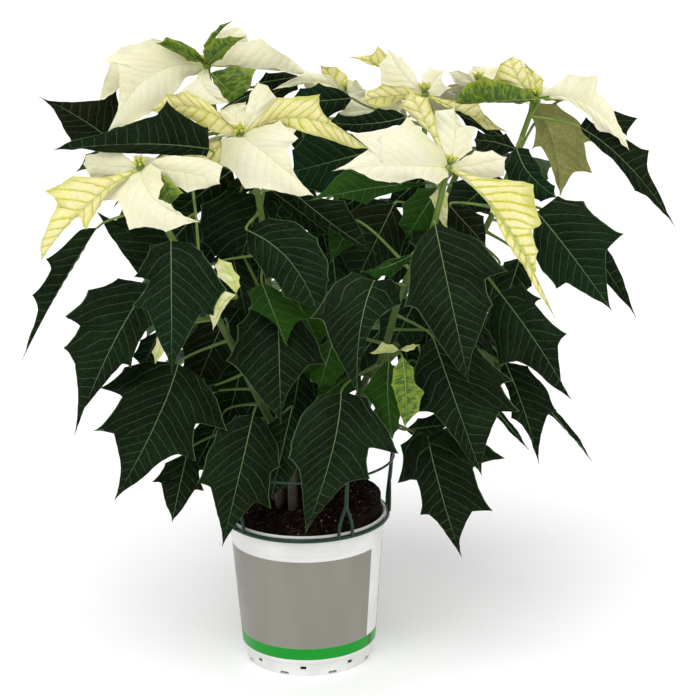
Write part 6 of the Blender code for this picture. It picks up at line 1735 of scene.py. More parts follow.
def make_bloom(number, blades, looks):
    """The bracts of one bloom on their small seat."""
    rng = random.Random(200 + number)
    skin = Skin()
    rise = (-0.85, -0.6, -0.3, 0.0, 0.3, 0.6, 0.85)
    line = button_line(number, BUTTON_RADIUS, rise)
    add_fine_tube(skin, line, [BUTTON_RADIUS * math.sqrt(1.0 - k * k) for k in rise], 14, "petiole")
    for laid in blades:
        add_fine_blade(skin, laid, rng)
    return skin.make("bracts_%d" % number, looks)


# Points along a fine bud, and its girth there
BUD_SHARES = (0.0, 0.12, 0.3, 0.5, 0.7, 0.86, 0.95, 1.0)
BUD_GIRTHS = (0.35, 0.62, 0.9, 1.0, 0.92, 0.66, 0.52, 0.2)


def make_buds(number, looks):
    """A cluster of rounded flower buds, each with a small yellow gland at its lip."""
    rng = random.Random(300 + number)
    skin = Skin()
    seat, facing, side, other = bud_seat(number)
    base = [seat + facing * (k * MM) for k in (0.0, 0.8, 1.8, 2.4)]
    add_fine_tube(skin, base, [2.4 * MM, 3.2 * MM, 3.1 * MM, 1.4 * MM], 12, "petiole")
    places = [(0.0, 0.0)] + [(1.0, 2.0 * math.pi * k / 5 + number) for k in range(5)]
    for ring, angle in places:
        lean = (side * math.cos(angle) + other * math.sin(angle)) * ring
        size = rng.uniform(0.78, 1.0) * (1.0 if ring else 1.12)
        way = (facing + lean * 0.42).normalized()
        foot = seat + facing * (1.0 * MM) + lean * (2.3 * MM)
        line = [foot + way * (7.0 * MM * size * share) for share in BUD_SHARES]
        radii = [2.0 * MM * size * girth for girth in BUD_GIRTHS]
        add_fine_tube(skin, line, radii, 12, "bud", rng.random())
        if ring:
            lip = foot + way * (6.3 * MM * size) + lean.normalized() * (1.5 * MM)
        else:
            lip = foot + way * (7.4 * MM * size)
        knob = [lip + way * (k * MM) for k in (-0.9, -0.6, 0.0, 0.6, 0.9)]
        add_fine_tube(skin, knob, [0.3 * MM, 0.8 * MM, 1.1 * MM, 0.8 * MM, 0.3 * MM], 8, "gland")
    return skin.make("flower_buds_%d" % number, looks)


# Fine pot and soil
FINE_SEGMENTS = 160
EDGE_SOFTENING = 0.45 * MM
SOFTENED_BEND = math.radians(28.0)
SHARP_BEND = math.radians(50.0)
FINE_SOIL_SEGMENTS = 132
FINE_SOIL_RINGS = 44
CRUMBS = 520
GRAINS = 70
FIBRES = 150


def make_pot_body(looks):
    """The pot, turned finely, with its foot notches and slots."""
    pot = mesh_object("pot_body", *turned_solid(pot_profile(), FINE_SEGMENTS))
    cutters = []
    for k in range(POT_NOTCHES):
        heading = 360.0 * (k + 0.5) / POT_NOTCHES
        centre = heading_point(heading, POT_FOOT_RADIUS, 0.6 * MM)
        cutters.append(mesh_object("notch", *box_solid(centre, POT_NOTCH_SIZE, heading)))
        heading += POT_SLOT_TURN
        slot = heading_point(heading, POT_FOOT_RADIUS, POT_SLOT_HEIGHT)
        cutters.append(mesh_object("drain", *box_solid(slot, POT_SLOT_SIZE, heading)))
    cut(pot, cutters)
    pot.data.materials.clear()
    pot.data.materials.append(looks["pot"])
    for face in pot.data.polygons:
        face.material_index = 0
    soften = pot.modifiers.new("soften", "BEVEL")
    soften.width = EDGE_SOFTENING
    soften.segments = 2
    soften.angle_limit = SOFTENED_BEND
    pot.data.shade_smooth()
    pot.data.set_sharp_from_angle(angle=SHARP_BEND)
    return pot


def make_soil_top(looks):
    """Lumpy peat with crumbs, root fibres and pale grains, over a plain side."""
    rng = random.Random(41)
    skin = Skin()
    headings = [360.0 * k / FINE_SOIL_SEGMENTS for k in range(FINE_SOIL_SEGMENTS)]
    points = [Vector((0.0, 0.0, POT_FLOOR_HEIGHT + SOIL_SEAT))]
    for radius, height in SOIL_SIDE:
        points += [heading_point(heading, radius, height) for heading in headings]
    for j in range(FINE_SOIL_RINGS):
        for heading in headings:
            spot = heading_point(heading, (1.0 - j / FINE_SOIL_RINGS) * SOIL_TOP_RADIUS, 0.0)
            spot.z = soil_surface(spot.x, spot.y)
            points.append(spot)
    points.append(Vector((0.0, 0.0, soil_surface(0.0, 0.0))))
    top = len(points) - 1
    faces = []
    around = FINE_SOIL_SEGMENTS
    for k in range(around):
        after = (k + 1) % around
        faces.append((0, 1 + after, 1 + k))
        faces.append((top, top - around + k, top - around + after))
        for low in range(1, top - around, around):
            faces.append((low + k, low + after, low + around + after, low + around + k))
    skin.add(points, faces, "soil")
    for _ in range(CRUMBS):
        add_crumb(skin, rng, rng.uniform(0.8, 2.3) * MM, "soil")
    for _ in range(GRAINS):
        add_crumb(skin, rng, rng.uniform(0.4, 0.9) * MM, "grain")
    for _ in range(FIBRES):
        add_fibre(skin, rng)
    return skin.make("potting_soil", looks, 80.0)


def soil_surface(x, y):
    """Height of the lumpy soil."""
    spot = Vector((x, y, 0.0))
    edge = min(1.0, math.hypot(x, y) / SOIL_TOP_RADIUS)
    lump = 1.9 * MM * noise.noise(spot * 60.0) + 1.2 * MM * noise.noise(spot * 150.0)
    lump += 0.7 * MM * noise.noise(spot * 380.0)
    return soil_height(x, y) + lump * (1.0 - 0.5 * edge ** 6)


def loose_spot(rng):
    """A chance spot on the soil, even over its area."""
    radius = math.sqrt(rng.random()) * (SOIL_TOP_RADIUS - 2.0 * MM)
    angle = rng.uniform(0.0, 2.0 * math.pi)
    return math.cos(angle) * radius, math.sin(angle) * radius


def add_crumb(skin, rng, size, look):
    """One rounded irregular crumb lying on the soil."""
    x, y = loose_spot(rng)
    centre = Vector((x, y, soil_surface(x, y) + size * 0.35))
    way = Vector((rng.uniform(-1, 1), rng.uniform(-1, 1), rng.uniform(-1, 1))).normalized()
    line = [centre + way * (size * k) for k in (-0.8, -0.45, 0.1, 0.6, 0.85)]
    radii = [size * k * rng.uniform(0.75, 1.2) for k in (0.3, 0.75, 0.95, 0.6, 0.2)]
    points, faces = tube(line, radii, 6, rng.uniform(0.0, 1.0))
    points = [point + way * (size * 0.2 * noise.noise(point * 900.0)) for point in points]
    skin.add(points, faces, look, rng.random())


def add_fibre(skin, rng):
    """One thin root fibre lying over the soil."""
    x, y = loose_spot(rng)
    angle = rng.uniform(0.0, 2.0 * math.pi)
    length = rng.uniform(5.0, 16.0) * MM
    turn_by = rng.uniform(-1.2, 1.2)
    line = []
    farthest = SOIL_TOP_RADIUS - 1.5 * MM
    for k in range(6):
        heading = angle + turn_by * k / 5.0
        x += math.cos(heading) * length / 5.0
        y += math.sin(heading) * length / 5.0
        far = math.hypot(x, y)
        if far > farthest:
            x *= farthest / far
            y *= farthest / far
        line.append(Vector((x, y, soil_surface(x, y) + (0.6 + 1.2 * math.sin(0.63 * k)) * MM)))
    if min((b - a).length for a, b in zip(line, line[1:])) < 0.2 * MM:
        return
    add_fine_tube(skin, line, even_radii(0.32 * MM, 0.16 * MM, 6), 5, "fibre", rng.random())


def make_support(looks):
    """The clip ring, forked uprights and hoop, with rounded bars."""
    skin = Skin()
    ring = ring_bar(RING_RADIUS, RING_HEIGHT, RING_WIDTH * 0.72, RING_THICKNESS * 0.72, 150, 12)
    hoop = ring_bar(HOOP_RADIUS, HOOP_HEIGHT, HOOP_THICKNESS, HOOP_THICKNESS, 150, 10)
    skin.add(*ring, "support")
    skin.add(*hoop, "support")
    for heading in UPRIGHT_HEADINGS:
        low, high = post_ends(heading)
        line = [low.lerp(high, k / 8.0) for k in range(9)]
        radii = even_radii(POST_RADIUS * 0.95, POST_RADIUS * 0.78, 9)
        radii[0] = radii[-1] = POST_RADIUS * 0.5
        add_fine_tube(skin, line, radii, 12, "support")
        for hand in (-1.0, 1.0):
            foot, head = leg_ends(heading, hand)
            out = heading + hand * LEG_SPREAD * 0.85
            knee = heading_point(out, RING_RADIUS + 2.0 * MM, RING_HEIGHT + 14.0 * MM)
            line = smooth_path([foot, knee, head], 6)
            add_fine_tube(skin, line, [LEG_RADIUS * 0.85] * len(line), 10, "support")
    return skin.make("plant_support", looks)


# Colours, as linear red, green and blue
DARK_LEAF = (0.0058, 0.0158, 0.0034)
DEEP_LEAF = (0.0032, 0.0082, 0.002)
BROWN_LEAF = (0.0075, 0.0098, 0.003)
COOL_LEAF = (0.0045, 0.0235, 0.0075)
# Brighter green, painted light shining through a leaf
PAINTED_LIGHT_LEAF = (0.015, 0.058, 0.003)
LEAF_VEIN = (0.085, 0.14, 0.07)
LEAF_EDGE = (0.11, 0.19, 0.075)
LEAF_MIDRIB = (0.15, 0.23, 0.1)
LEAF_BACK = (0.07, 0.13, 0.038)
LEAF_BACK_DEEP = (0.05, 0.1, 0.035)
LEAF_BACK_VEIN = (0.27, 0.37, 0.16)
YOUNG_GREEN = (0.55, 0.6, 0.2)
YOUNG_CREAM = (0.78, 0.76, 0.42)
YOUNG_VEIN = (0.3, 0.42, 0.1)
YOUNG_MIDRIB = (0.4, 0.5, 0.15)
OLIVE = (0.25, 0.255, 0.07)
OLIVE_PALE = (0.33, 0.325, 0.1)
OLIVE_NET = (0.15, 0.14, 0.04)
OLIVE_VEIN = (0.17, 0.2, 0.07)
OLIVE_MIDRIB = (0.3, 0.37, 0.12)
FLECK_DEEP = (0.03, 0.09, 0.006)
FLECK_GREEN = (0.17, 0.25, 0.016)
FLECK_PALE = (0.34, 0.4, 0.03)
FLECK_VEIN = (0.2, 0.3, 0.04)
FLECK_MIDRIB = (0.3, 0.4, 0.08)
CREAM = (0.85, 0.82, 0.62)
CREAM_WARM = (0.8, 0.76, 0.5)
CREAM_VEIN = (0.62, 0.63, 0.27)
CREAM_BACK = (0.68, 0.66, 0.42)
CREAM_BACK_WARM = (0.6, 0.56, 0.33)
CREAM_BACK_VEIN = (0.4, 0.4, 0.18)
VEINED_CREAM = (0.84, 0.75, 0.42)
VEINED_YELLOW = (0.76, 0.71, 0.16)
VEINED_EDGE = (0.42, 0.46, 0.035)
VEINED_CORE = (0.2, 0.32, 0.02)
VEINED_MIDRIB = (0.32, 0.42, 0.07)
YELLOW = (0.66, 0.61, 0.035)
GREEN_VEIN = (0.14, 0.24, 0.02)
STEM_GREEN = (0.11, 0.185, 0.022)
# Painted shade on low stems, and woody brown darkened as painted shade near the soil
STEM_PAINTED_SHADE = (0.045, 0.085, 0.01)
STEM_BROWN_AND_SHADE = (0.03, 0.022, 0.011)
STEM_SCAR = (0.3, 0.26, 0.12)
# Painted shade on low petioles
PETIOLE_PAINTED_SHADE = (0.05, 0.1, 0.01)
PETIOLE_GREEN = (0.13, 0.21, 0.025)
PETIOLE_PALE = (0.25, 0.33, 0.07)
BUD_GREEN = (0.3, 0.4, 0.05)
BUD_YELLOW = (0.56, 0.6, 0.1)
BUD_SPOT = (0.2, 0.3, 0.04)
PEAT_DARK = (0.0035, 0.002, 0.0013)
PEAT_BROWN = (0.017, 0.0085, 0.005)
PEAT_GRAIN = (0.06, 0.028, 0.014)
POT_OFF_WHITE = (0.82, 0.815, 0.795)
POT_SHADED = (0.74, 0.735, 0.715)
PANEL_GREY = (0.25, 0.235, 0.205)
PANEL_PALE = (0.28, 0.265, 0.232)
BAND_GREEN = (0.001, 0.3, 0.018)
BAND_OVERLAP = (0.001, 0.16, 0.016)

# How far red, green and blue light spread in a bract, beside one another
TISSUE_RADIUS = (1.0, 0.85, 0.4)

# Painted shade on the stalks: painted deeper green below the first height, as the shade inside the plant,
# and left bright above the second
LOW_STALKS = 0.36
HIGH_STALKS = 0.5

# Panels and band of the pot: headings of the panels and of the band's seam, and heights
PANELS = ((-99.0, 58.0), (81.0, 238.0))
PANEL_TOP = 127.0 * MM
PANEL_FOOT = 31.5 * MM
BAND_FOOT = 19.0 * MM
PANEL_EDGE = 0.2 * MM
SEAM_HEADING = 61.0


class Look:
    """A procedural material, put together node by node."""

    def __init__(self, name, roughness, specular):
        self.made = bpy.data.materials.new(name)
        self.made.use_nodes = True
        self.tree = self.made.node_tree
        self.shader = self.tree.nodes["Principled BSDF"]
        self.shader.inputs["Roughness"].default_value = roughness
        self.shader.inputs["Specular IOR Level"].default_value = specular
        self.ground = None

    def feed(self, socket, value):
        if isinstance(value, bpy.types.NodeSocket):
            self.tree.links.new(value, socket)
        elif socket.type == "RGBA":
            socket.default_value = (*value, 1.0)
        else:
            socket.default_value = value

    def node(self, kind, inputs, **settings):
        made = self.tree.nodes.new("ShaderNode" + kind)
        for name, value in settings.items():
            setattr(made, name, value)
        for key, value in inputs.items():
            self.feed(made.inputs[key], value)
        return made

    def sum(self, operation, *values):
        return self.node("Math", dict(enumerate(values)), operation=operation).outputs[0]

    def times(self, first, second):
        return self.sum("MULTIPLY", first, second)

    def plus(self, first, second):
        return self.sum("ADD", first, second)

    def less(self, first, second):
        return self.sum("SUBTRACT", first, second)

    def scaled(self, pattern, strength):
        return pattern if strength == 1.0 else self.times(pattern, strength)

    def step(self, value, low, high, start=0.0, end=1.0):
        """A smooth step from start to end as the value goes from low to high."""
        inputs = {"Value": value, "From Min": low, "From Max": high, "To Min": start, "To Max": end}
        return self.node("MapRange", inputs, interpolation_type="SMOOTHSTEP").outputs[0]

    def band(self, value, low, high, soft):
        """Whole between two limits and nothing beyond them, with soft edges."""
        rise = self.step(value, low - soft, low + soft)
        return self.times(rise, self.step(value, high - soft, high + soft, 1.0, 0.0))

    def blend(self, share, first, second):
        return self.node("Mix", {0: share, 6: first, 7: second}, data_type="RGBA").outputs[2]

    def start(self, share, first, second):
        """The first two colours of a surface."""
        self.ground = self.blend(share, first, second)

    def lay(self, share, paint, strength=1.0):
        """Lay one more colour over the surface, as far as a pattern says."""
        self.ground = self.blend(self.scaled(share, strength), self.ground, paint)

    def noise(self, place, scale, detail=3.0):
        return self.node("TexNoise", {"Vector": place, "Scale": scale, "Detail": detail}).outputs[0]

    def cells(self, place, scale):
        inputs = {"Vector": place, "Scale": scale}
        return self.node("TexVoronoi", inputs, feature="DISTANCE_TO_EDGE").outputs["Distance"]

    def value(self, name):
        return self.node("Attribute", {}, attribute_name=name).outputs["Fac"]

    def split(self, vector):
        return self.node("SeparateXYZ", {0: vector}).outputs

    def join(self, x, y, z):
        return self.node("CombineXYZ", {0: x, 1: y, 2: z}).outputs[0]

    def uv(self, name):
        return self.node("UVMap", {}, uv_map=name).outputs[0]

    def position(self):
        return self.node("NewGeometry", {}).outputs["Position"]

    def colour(self, value):
        self.feed(self.shader.inputs["Base Color"], value)

    def roughness(self, value):
        self.feed(self.shader.inputs["Roughness"], value)

    def soft(self, weight, radius=TISSUE_RADIUS):
        """Let light spread a little way inside."""
        self.shader.inputs["Subsurface Weight"].default_value = weight
        self.shader.inputs["Subsurface Radius"].default_value = radius
        self.shader.inputs["Subsurface Scale"].default_value = 2.0 * MM

    def finish(self, height, strength, distance):
        """The material with its colours and a bump."""
        self.colour(self.ground)
        made = self.node("Bump", {"Height": height, "Strength": strength, "Distance": distance})
        self.feed(self.shader.inputs["Normal"], made.outputs[0])
        return self.made


class BladeLook(Look):
    """A look with the patterns that every blade shares: midrib, side veins, net and margin."""

    def __init__(self, name, roughness, specular):
        super().__init__(name, roughness, specular)
        phase, self.share, _ = self.split(self.uv("Veins"))
        along, out, _ = self.split(self.uv("Sizes"))
        self.tint = self.value("tint")
        self.rim = self.value("rim")
        apart = self.times(self.tint, 3.0)
        self.place = self.join(along, out, apart)
        self.streak = self.join(self.times(along, 2.6), out, apart)
        waver = self.times(self.less(self.noise(self.place, 55.0, 2.0), 0.5), 0.55)
        saw = self.sum("FRACT", self.plus(phase, waver))
        saw = self.sum("ABSOLUTE", self.less(self.times(saw, 2.0), 1.0))
        fade = self.step(self.rim, 0.72, 1.0, 1.0, 0.15)
        self.vein = self.times(self.step(saw, 0.91, 0.98), fade)
        self.groove = self.times(self.step(saw, 0.35, 1.0), fade)
        reach = self.sum("ABSOLUTE", out)
        narrowing = self.plus(reach, self.times(self.share, 0.42 * MM))
        self.midrib = self.step(narrowing, 0.3 * MM, 0.68 * MM, 1.0, 0.0)
        self.trough = self.step(reach, 0.0, 5.0 * MM, 1.0, 0.0)
        shift = self.join(self.times(self.noise(self.place, 160.0, 2.0), 0.004), 0.0, 0.0)
        warp = self.node("VectorMath", {0: self.place, 1: shift}, operation="ADD").outputs[0]
        self.big_net = self.step(self.cells(warp, 210.0), 0.02, 0.13, 1.0, 0.0)
        self.fine_net = self.step(self.cells(warp, 620.0), 0.03, 0.2, 1.0, 0.0)
        self.margin = self.step(self.rim, 0.965, 0.995)

    def patch(self, scale, detail, span, first, second):
        """Two colours in irregular patches of a blade; span is where one turns into the other."""
        patch = self.noise(self.place, scale, detail)
        self.start(self.step(patch, *span), first, second)
        return patch

    def lay_all(self, *layers):
        """Lay colours over named patterns: the name, strength and colour of each."""
        for name, strength, paint in layers:
            self.lay(getattr(self, name), paint, strength)

    def sunk(self, **depths):
        """Height that sinks at the named patterns."""
        height = 1.0
        for name, depth in depths.items():
            height = self.less(height, self.scaled(getattr(self, name), depth))
        return height

    def raised(self, net):
        """Height that rises at the side veins and the net between them."""
        return self.plus(self.times(self.groove, 0.9), self.times(self.big_net, net))


def leaf_look():
    """Dark green, browner or cooler by its tint, painted brighter green at full tint as painted light
    shining through, with pale veins and margin.
    """
    look = BladeLook("leaf", 0.45, 0.045)
    patch = look.patch(22.0, 3.0, (0.35, 0.68), DEEP_LEAF, DARK_LEAF)
    look.lay(look.step(look.tint, 0.0, 0.25, 0.75, 0.0), BROWN_LEAF)
    cool = look.step(look.tint, 0.4, 0.6)
    look.lay(look.times(cool, look.step(look.share, 0.1, 0.9, 0.1, 0.9)), COOL_LEAF)
    # Painted light: a brighter green where light would shine through, on leaves of full tint
    painted_light_and_strong_tint = look.step(look.tint, 0.75, 0.95)
    look.lay(look.times(painted_light_and_strong_tint, look.step(patch, 0.3, 0.6, 0.55, 1.0)), PAINTED_LIGHT_LEAF)
    look.lay_all(("big_net", 0.05, LEAF_VEIN), ("vein", 0.5, LEAF_VEIN), ("margin", 0.7, LEAF_EDGE),
                 ("midrib", 1.0, LEAF_MIDRIB))
    look.roughness(look.step(look.noise(look.place, 70.0), 0.3, 0.7, 0.38, 0.55))
    puff = look.sunk(big_net=0.35, groove=0.9, fine_net=0.1, trough=0.7)
    return look.finish(puff, 0.55, 0.8 * MM)


def leaf_under_look():
    """Paler green underside with a raised net."""
    look = BladeLook("leaf_under", 0.6, 0.3)
    look.patch(30.0, 3.0, (0.3, 0.7, 0.0, 0.6), LEAF_BACK, LEAF_BACK_DEEP)
    look.lay_all(("big_net", 0.35, LEAF_BACK_VEIN), ("vein", 0.8, LEAF_BACK_VEIN),
                 ("midrib", 1.0, LEAF_MIDRIB))
    return look.finish(look.raised(0.4), 0.5, 0.7 * MM)


def young_look():
    """Yellow-green and cream in small patches."""
    look = BladeLook("young_leaf", 0.5, 0.35)
    look.patch(60.0, 3.0, (0.42, 0.62), YOUNG_GREEN, YOUNG_CREAM)
    look.lay_all(("vein", 0.6, YOUNG_VEIN), ("midrib", 1.0, YOUNG_MIDRIB))
    look.soft(0.25, (1.0, 0.8, 0.3))
    return look.finish(look.sunk(groove=1.0), 0.4, 0.5 * MM)


def bract_look(name, ground, warm, vein, vein_share, mottle):
    """Cream with faint veins, fine mottling and a greener foot."""
    look = BladeLook(name, 0.55, 0.3)
    look.patch(26.0, 4.0, (0.38, 0.7, 0.0, 0.65), ground, warm)
    look.lay(look.step(look.noise(look.place, 240.0), 0.45, 0.75, 0.0, mottle), vein)
    look.lay(look.step(look.share, 0.0, 0.28, 0.45, 0.0), vein)
    look.lay_all(("big_net", 0.3 * vein_share, vein), ("vein", vein_share, vein), ("midrib", 0.9, vein))
    look.soft(0.2)
    return look.finish(look.sunk(groove=0.8, big_net=0.3, fine_net=0.12), 0.45, 0.6 * MM)


def veined_bract_look():
    """Cream between its veins, yellow round them and green in them and along the margin."""
    look = BladeLook("veined_bract", 0.52, 0.3)
    look.patch(34.0, 3.0, (0.35, 0.65, 0.0, 0.45), VEINED_CREAM, VEINED_YELLOW)
    fine = look.step(look.noise(look.place, 380.0, 4.0), 0.38, 0.54, 0.3, 1.0)
    near_vein = look.times(look.step(look.groove, 0.2, 0.65), fine)
    strong = look.step(look.tint, 0.75, 0.95)
    look.lay(look.times(near_vein, look.step(strong, 0.0, 1.0, 0.6, 0.95)), YELLOW)
    ragged = look.plus(look.rim, look.times(look.noise(look.place, 75.0, 4.0), 0.6))
    look.lay(look.step(ragged, 0.95, 1.4), VEINED_EDGE, 0.8)
    coarse = look.less(look.noise(look.place, 140.0, 4.0), 0.5)
    core = look.step(look.plus(look.trough, look.times(coarse, 2.4)), 0.3, 0.75)
    core = look.times(core, look.step(look.trough, 0.02, 0.2))
    look.lay(look.times(core, look.step(strong, 0.0, 1.0, 0.22, 0.5)), VEINED_CORE)
    look.lay_all(("big_net", 0.09, GREEN_VEIN), ("vein", 0.85, GREEN_VEIN), ("midrib", 0.85, VEINED_MIDRIB))
    look.soft(0.15)
    return look.finish(look.sunk(groove=0.9, big_net=0.3), 0.5, 0.7 * MM)


def olive_under_look():
    """Greyed olive underside with a darker net."""
    look = BladeLook("olive_under", 0.6, 0.25)
    look.patch(40.0, 4.0, (0.35, 0.65), OLIVE, OLIVE_PALE)
    look.lay_all(("big_net", 0.4, OLIVE_NET), ("vein", 0.7, OLIVE_VEIN), ("midrib", 1.0, OLIVE_MIDRIB))
    return look.finish(look.raised(0.5), 0.55, 0.7 * MM)


def fleck_look():
    """Green with fine yellow mottling and a paler margin, as on half-turned bracts."""
    look = BladeLook("flecked_bract", 0.5, 0.3)
    look.start(look.step(look.noise(look.streak, 170.0, 5.0), 0.36, 0.66), FLECK_DEEP, FLECK_GREEN)
    uneven = look.times(look.less(look.noise(look.place, 60.0), 0.5), 1.4)
    outward = look.plus(look.rim, uneven)
    look.lay(look.step(outward, 0.65, 1.25, 0.0, 0.7), FLECK_PALE)
    look.lay(look.step(outward, 0.3, -0.1, 0.0, 0.8), FLECK_DEEP)
    look.lay_all(("vein", 0.45, FLECK_VEIN), ("midrib", 1.0, FLECK_MIDRIB))
    look.soft(0.15)
    return look.finish(look.sunk(groove=1.0), 0.45, 0.6 * MM)


def petiole_look():
    """Streaked along its length, darker in patches, and painted deeper green low in the plant as painted
    shade.
    """
    look = Look("petiole", 0.45, 0.4)
    along, round_it, _ = look.split(look.uv("Sizes"))
    place = look.join(look.times(along, 0.15), round_it, look.times(look.value("tint"), 2.0))
    look.start(look.step(look.noise(place, 500.0), 0.35, 0.7), PETIOLE_GREEN, PETIOLE_PALE)
    look.lay(look.step(look.noise(look.position(), 40.0), 0.52, 0.72, 0.0, 0.6), STEM_GREEN)
    height = look.split(look.position())[2]
    # Painted shade: petioles deeper green low in the plant
    look.lay(look.step(height, LOW_STALKS, HIGH_STALKS, 0.75, 0.0), PETIOLE_PAINTED_SHADE)
    return look.finish(look.noise(place, 900.0), 0.3, 0.4 * MM)


def stem_look():
    """Green above, painted shade as deeper green lower down, and woody brown near the soil darkened as
    painted shade, with small leaf scars.
    """
    look = Look("stem", 0.55, 0.35)
    place = look.position()
    height = look.split(place)[2]
    patch = look.noise(place, 90.0, 4.0)
    level = look.plus(height, look.times(patch, 0.12))
    # Painted shade: deeper green below the stalk heights, as the shade inside the plant
    green = look.blend(look.step(height, LOW_STALKS, HIGH_STALKS), STEM_PAINTED_SHADE, STEM_GREEN)
    # Brown near the soil: woody colour, made dark as painted shade
    look.start(look.step(level, 0.22, 0.36), STEM_BROWN_AND_SHADE, green)
    look.lay(look.step(look.noise(place, 600.0, 2.0), 0.6, 0.75, 0.0, 0.5), STEM_SCAR)
    return look.finish(patch, 0.5, 1.0 * MM)


def bud_look():
    """Green at the foot and yellower at the lip."""
    look = Look("bud", 0.4, 0.4)
    place = look.position()
    along = look.split(look.uv("Sizes"))[0]
    look.start(look.step(along, 1.5 * MM, 6.0 * MM), BUD_GREEN, BUD_YELLOW)
    look.lay(look.step(look.noise(place, 500.0), 0.5, 0.7, 0.0, 0.4), BUD_SPOT)
    return look.finish(look.noise(place, 900.0, 2.0), 0.3, 0.3 * MM)


def plain_look(name, first, second, scale, roughness, specular, depth):
    """Two colours in irregular patches with a bump at the same scale."""
    look = Look(name, roughness, specular)
    patch = look.noise(look.position(), scale, 4.0)
    look.start(look.step(patch, 0.35, 0.65), first, second)
    return look.finish(patch, 0.4, depth)


def soil_look():
    """Dark peat with browner grains."""
    look = Look("peat", 0.95, 0.06)
    place = look.position()
    coarse = look.noise(place, 130.0, 5.0)
    fine = look.noise(place, 900.0, 4.0)
    look.start(look.step(coarse, 0.35, 0.7), PEAT_DARK, PEAT_BROWN)
    look.lay(look.step(fine, 0.58, 0.72, 0.0, 0.6), PEAT_GRAIN)
    return look.finish(look.plus(coarse, look.times(fine, 0.6)), 1.0, 2.0 * MM)


def pot_look():
    """Off-white plastic with two plain grey panels and a green band low on it."""
    look = Look("pot_plastic", 0.36, 0.22)
    place = look.position()
    x, y, height = look.split(place)
    angle = look.sum("DEGREES", look.sum("ARCTAN2", x, look.times(y, -1.0)))
    panel = None
    for low, high in PANELS:
        for turned in (0.0, -360.0):
            both = look.band(angle, low + turned, high + turned, 0.25)
            panel = both if panel is None else look.sum("MAXIMUM", panel, both)
    cloud = look.noise(look.join(look.times(angle, 0.012), look.times(height, 2.0), 0.0), 3.0, 2.0)
    grey = look.blend(look.step(cloud, 0.3, 0.7), PANEL_GREY, PANEL_PALE)
    look.start(look.step(look.noise(place, 30.0), 0.35, 0.7), POT_OFF_WHITE, POT_SHADED)
    look.lay(look.times(panel, look.band(height, PANEL_FOOT, PANEL_TOP, PANEL_EDGE)), grey)
    near_seam = look.band(angle, SEAM_HEADING, SEAM_HEADING + 6.3, 0.3)
    green = look.blend(near_seam, BAND_GREEN, BAND_OVERLAP)
    look.lay(look.band(height, BAND_FOOT, PANEL_FOOT, PANEL_EDGE), green)
    look.roughness(look.step(look.noise(place, 45.0, 4.0), 0.3, 0.7, 0.3, 0.46))
    grain = look.plus(look.noise(place, 260.0), look.times(look.noise(place, 14.0, 2.0), 1.2))
    return look.finish(grain, 0.12, 0.5 * MM)


# Plain looks: name, two colours, size of the patches, roughness, specular level and depth of the bump
PLAIN_LOOKS = {
    "gland": ("gland", (0.75, 0.55, 0.05), (0.62, 0.5, 0.06), 700.0, 0.3, 0.5, 0.2 * MM),
    "grain": ("pale_grain", (0.42, 0.38, 0.31), (0.25, 0.2, 0.15), 500.0, 0.9, 0.2, 0.3 * MM),
    "fibre": ("root_fibre", (0.12, 0.045, 0.025), (0.055, 0.025, 0.015), 300.0, 0.85, 0.2, 0.2 * MM),
    "support": ("green_plastic", (0.004, 0.036, 0.011), (0.003, 0.026, 0.008), 120.0, 0.4, 0.35, 0.2 * MM),
}


def make_looks():
    """Every material by the name that the pieces call it."""
    looks = {
        "leaf": leaf_look(),
        "leaf_under": leaf_under_look(),
        "young": young_look(),
        "fleck": fleck_look(),
        "bract": bract_look("bract", CREAM, CREAM_WARM, CREAM_VEIN, 0.4, 0.12),
        "bract_under": bract_look("bract_under", CREAM_BACK, CREAM_BACK_WARM, CREAM_BACK_VEIN, 0.7, 0.4),
        "veined_bract": veined_bract_look(),
        "olive_under": olive_under_look(),
        "stem": stem_look(),
        "petiole": petiole_look(),
        "bud": bud_look(),
        "pot": pot_look(),
        "soil": soil_look(),
    }
    looks.update({key: plain_look(*values) for key, values in PLAIN_LOOKS.items()})
    return looks


# Stage, camera and light
FLOOR_REACH = 30.0
LENS = 103.45
SENSOR = 36.0
WHITE = (1.0, 1.0, 1.0)
SKY_STRENGTH = 0.5

# Lights: heading, rise, strength and spread
SUNS = {
    "key": (-12.0, 57.0, 1.85, 50.0),
    "fill": (60.0, 25.0, 0.45, 70.0),
    "back": (190.0, 44.0, 0.6, 70.0),
}


def make_floor():
    """A wide plain pale floor."""
    corners = [(x * FLOOR_REACH, y * FLOOR_REACH, 0.0) for x, y in ((-1, -1), (1, -1), (1, 1), (-1, 1))]
    floor = mesh_object("floor", corners, [(0, 1, 2, 3)])
    look = Look("studio_floor", 0.8, 0.1)
    look.colour(WHITE)
    floor.data.materials.append(look.made)
    floor.location.z = -0.2 * MM


def make_camera():
    """Camera at the photograph's angle, two metres off and a little above."""
    above = ABOVE * math.cos(VIEW_ROLL) + Vector((1.0, 0.0, 0.0)) * math.sin(VIEW_ROLL)
    side = FORWARD.cross(above).normalized()
    data = bpy.data.cameras.new("camera")
    data.lens = LENS
    data.sensor_width = SENSOR
    camera = bpy.data.objects.new("camera", data)
    bpy.context.scene.collection.objects.link(camera)
    turned = Matrix((side, side.cross(FORWARD), -FORWARD)).transposed().to_4x4()
    turned.translation = EYE
    camera.matrix_world = turned
    bpy.context.scene.camera = camera


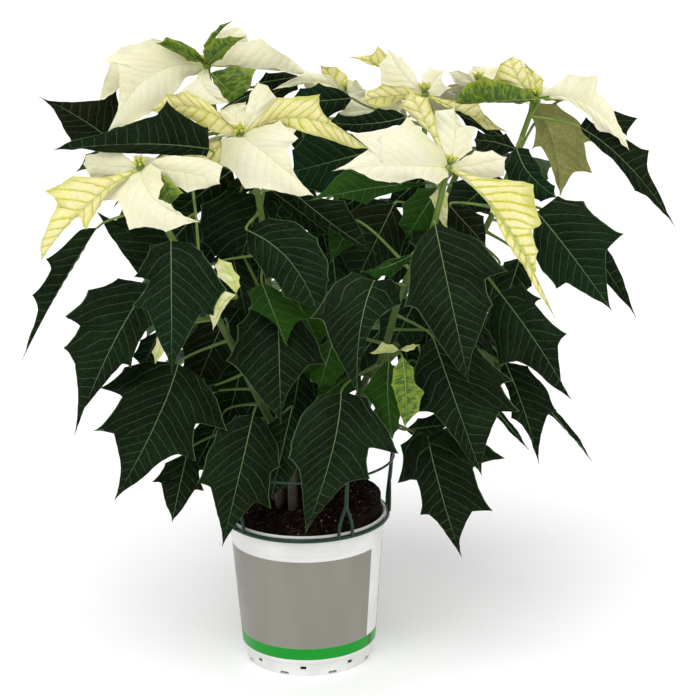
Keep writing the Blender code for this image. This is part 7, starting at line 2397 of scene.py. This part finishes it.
def make_backdrop():
    """White surroundings that only the camera sees, so that they add no light."""
    mesh = bpy.data.meshes.new("backdrop")
    shape = bmesh.new()
    bmesh.ops.create_icosphere(shape, subdivisions=4, radius=FLOOR_REACH)
    shape.to_mesh(mesh)
    shape.free()
    backdrop = bpy.data.objects.new("backdrop", mesh)
    bpy.context.scene.collection.objects.link(backdrop)
    look = Look("white_backdrop", 1.0, 0.0)
    look.colour((0.0, 0.0, 0.0))
    look.shader.inputs["Emission Color"].default_value = (*WHITE, 1.0)
    look.shader.inputs["Emission Strength"].default_value = 1.0
    mesh.materials.append(look.made)
    for hidden in ("diffuse", "glossy", "transmission", "volume_scatter", "shadow"):
        setattr(backdrop, "visible_" + hidden, False)


def add_sun(name, heading, rise, strength, spread):
    """Soft light from a heading, as degrees from the front round towards +X, and a rise."""
    data = bpy.data.lights.new(name, "SUN")
    data.energy = strength
    data.angle = math.radians(spread)
    light = bpy.data.objects.new(name, data)
    bpy.context.scene.collection.objects.link(light)
    place = heading_point(heading, math.cos(math.radians(rise)), math.sin(math.radians(rise)))
    light.location = place * 3.0
    light.rotation_euler = (-place).to_track_quat("-Z", "Y").to_euler()


def make_light():
    """Even white surroundings, a broad soft key from the front and above, and weaker fills."""
    world = bpy.data.worlds.new("studio")
    world.use_nodes = True
    background = world.node_tree.nodes["Background"]
    background.inputs["Color"].default_value = (*WHITE, 1.0)
    background.inputs["Strength"].default_value = SKY_STRENGTH
    bpy.context.scene.world = world
    for name, values in SUNS.items():
        add_sun(name, *values)
    bpy.context.scene.view_settings.view_transform = "Standard"


def mount(piece, node):
    """Let a fine piece stand for a node of the frame."""
    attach(piece, "root")
    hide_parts(node)


def dress():
    """Put every fine piece in place of its plain solid."""
    looks = make_looks()
    paths, blades, petioles = lay_out()
    mount(make_pot_body(looks), "pot")
    mount(make_soil_top(looks), "soil")
    mount(make_support(looks), "support")
    for number, path in paths.items():
        own = [laid for laid in blades if not laid.bract and laid.blade.plant == number]
        mount(make_foliage(number, path, own, petioles, looks), "leafy_stem_%d" % number)
    for number in BLOOMS:
        own = [laid for laid in blades if laid.bract and laid.blade.plant == number]
        mount(make_bloom(number, own, looks), "bloom_%d" % number)
        mount(make_buds(number, looks), "buds_%d" % number)


make_camera()
make_floor()
make_backdrop()
make_light()
dress()
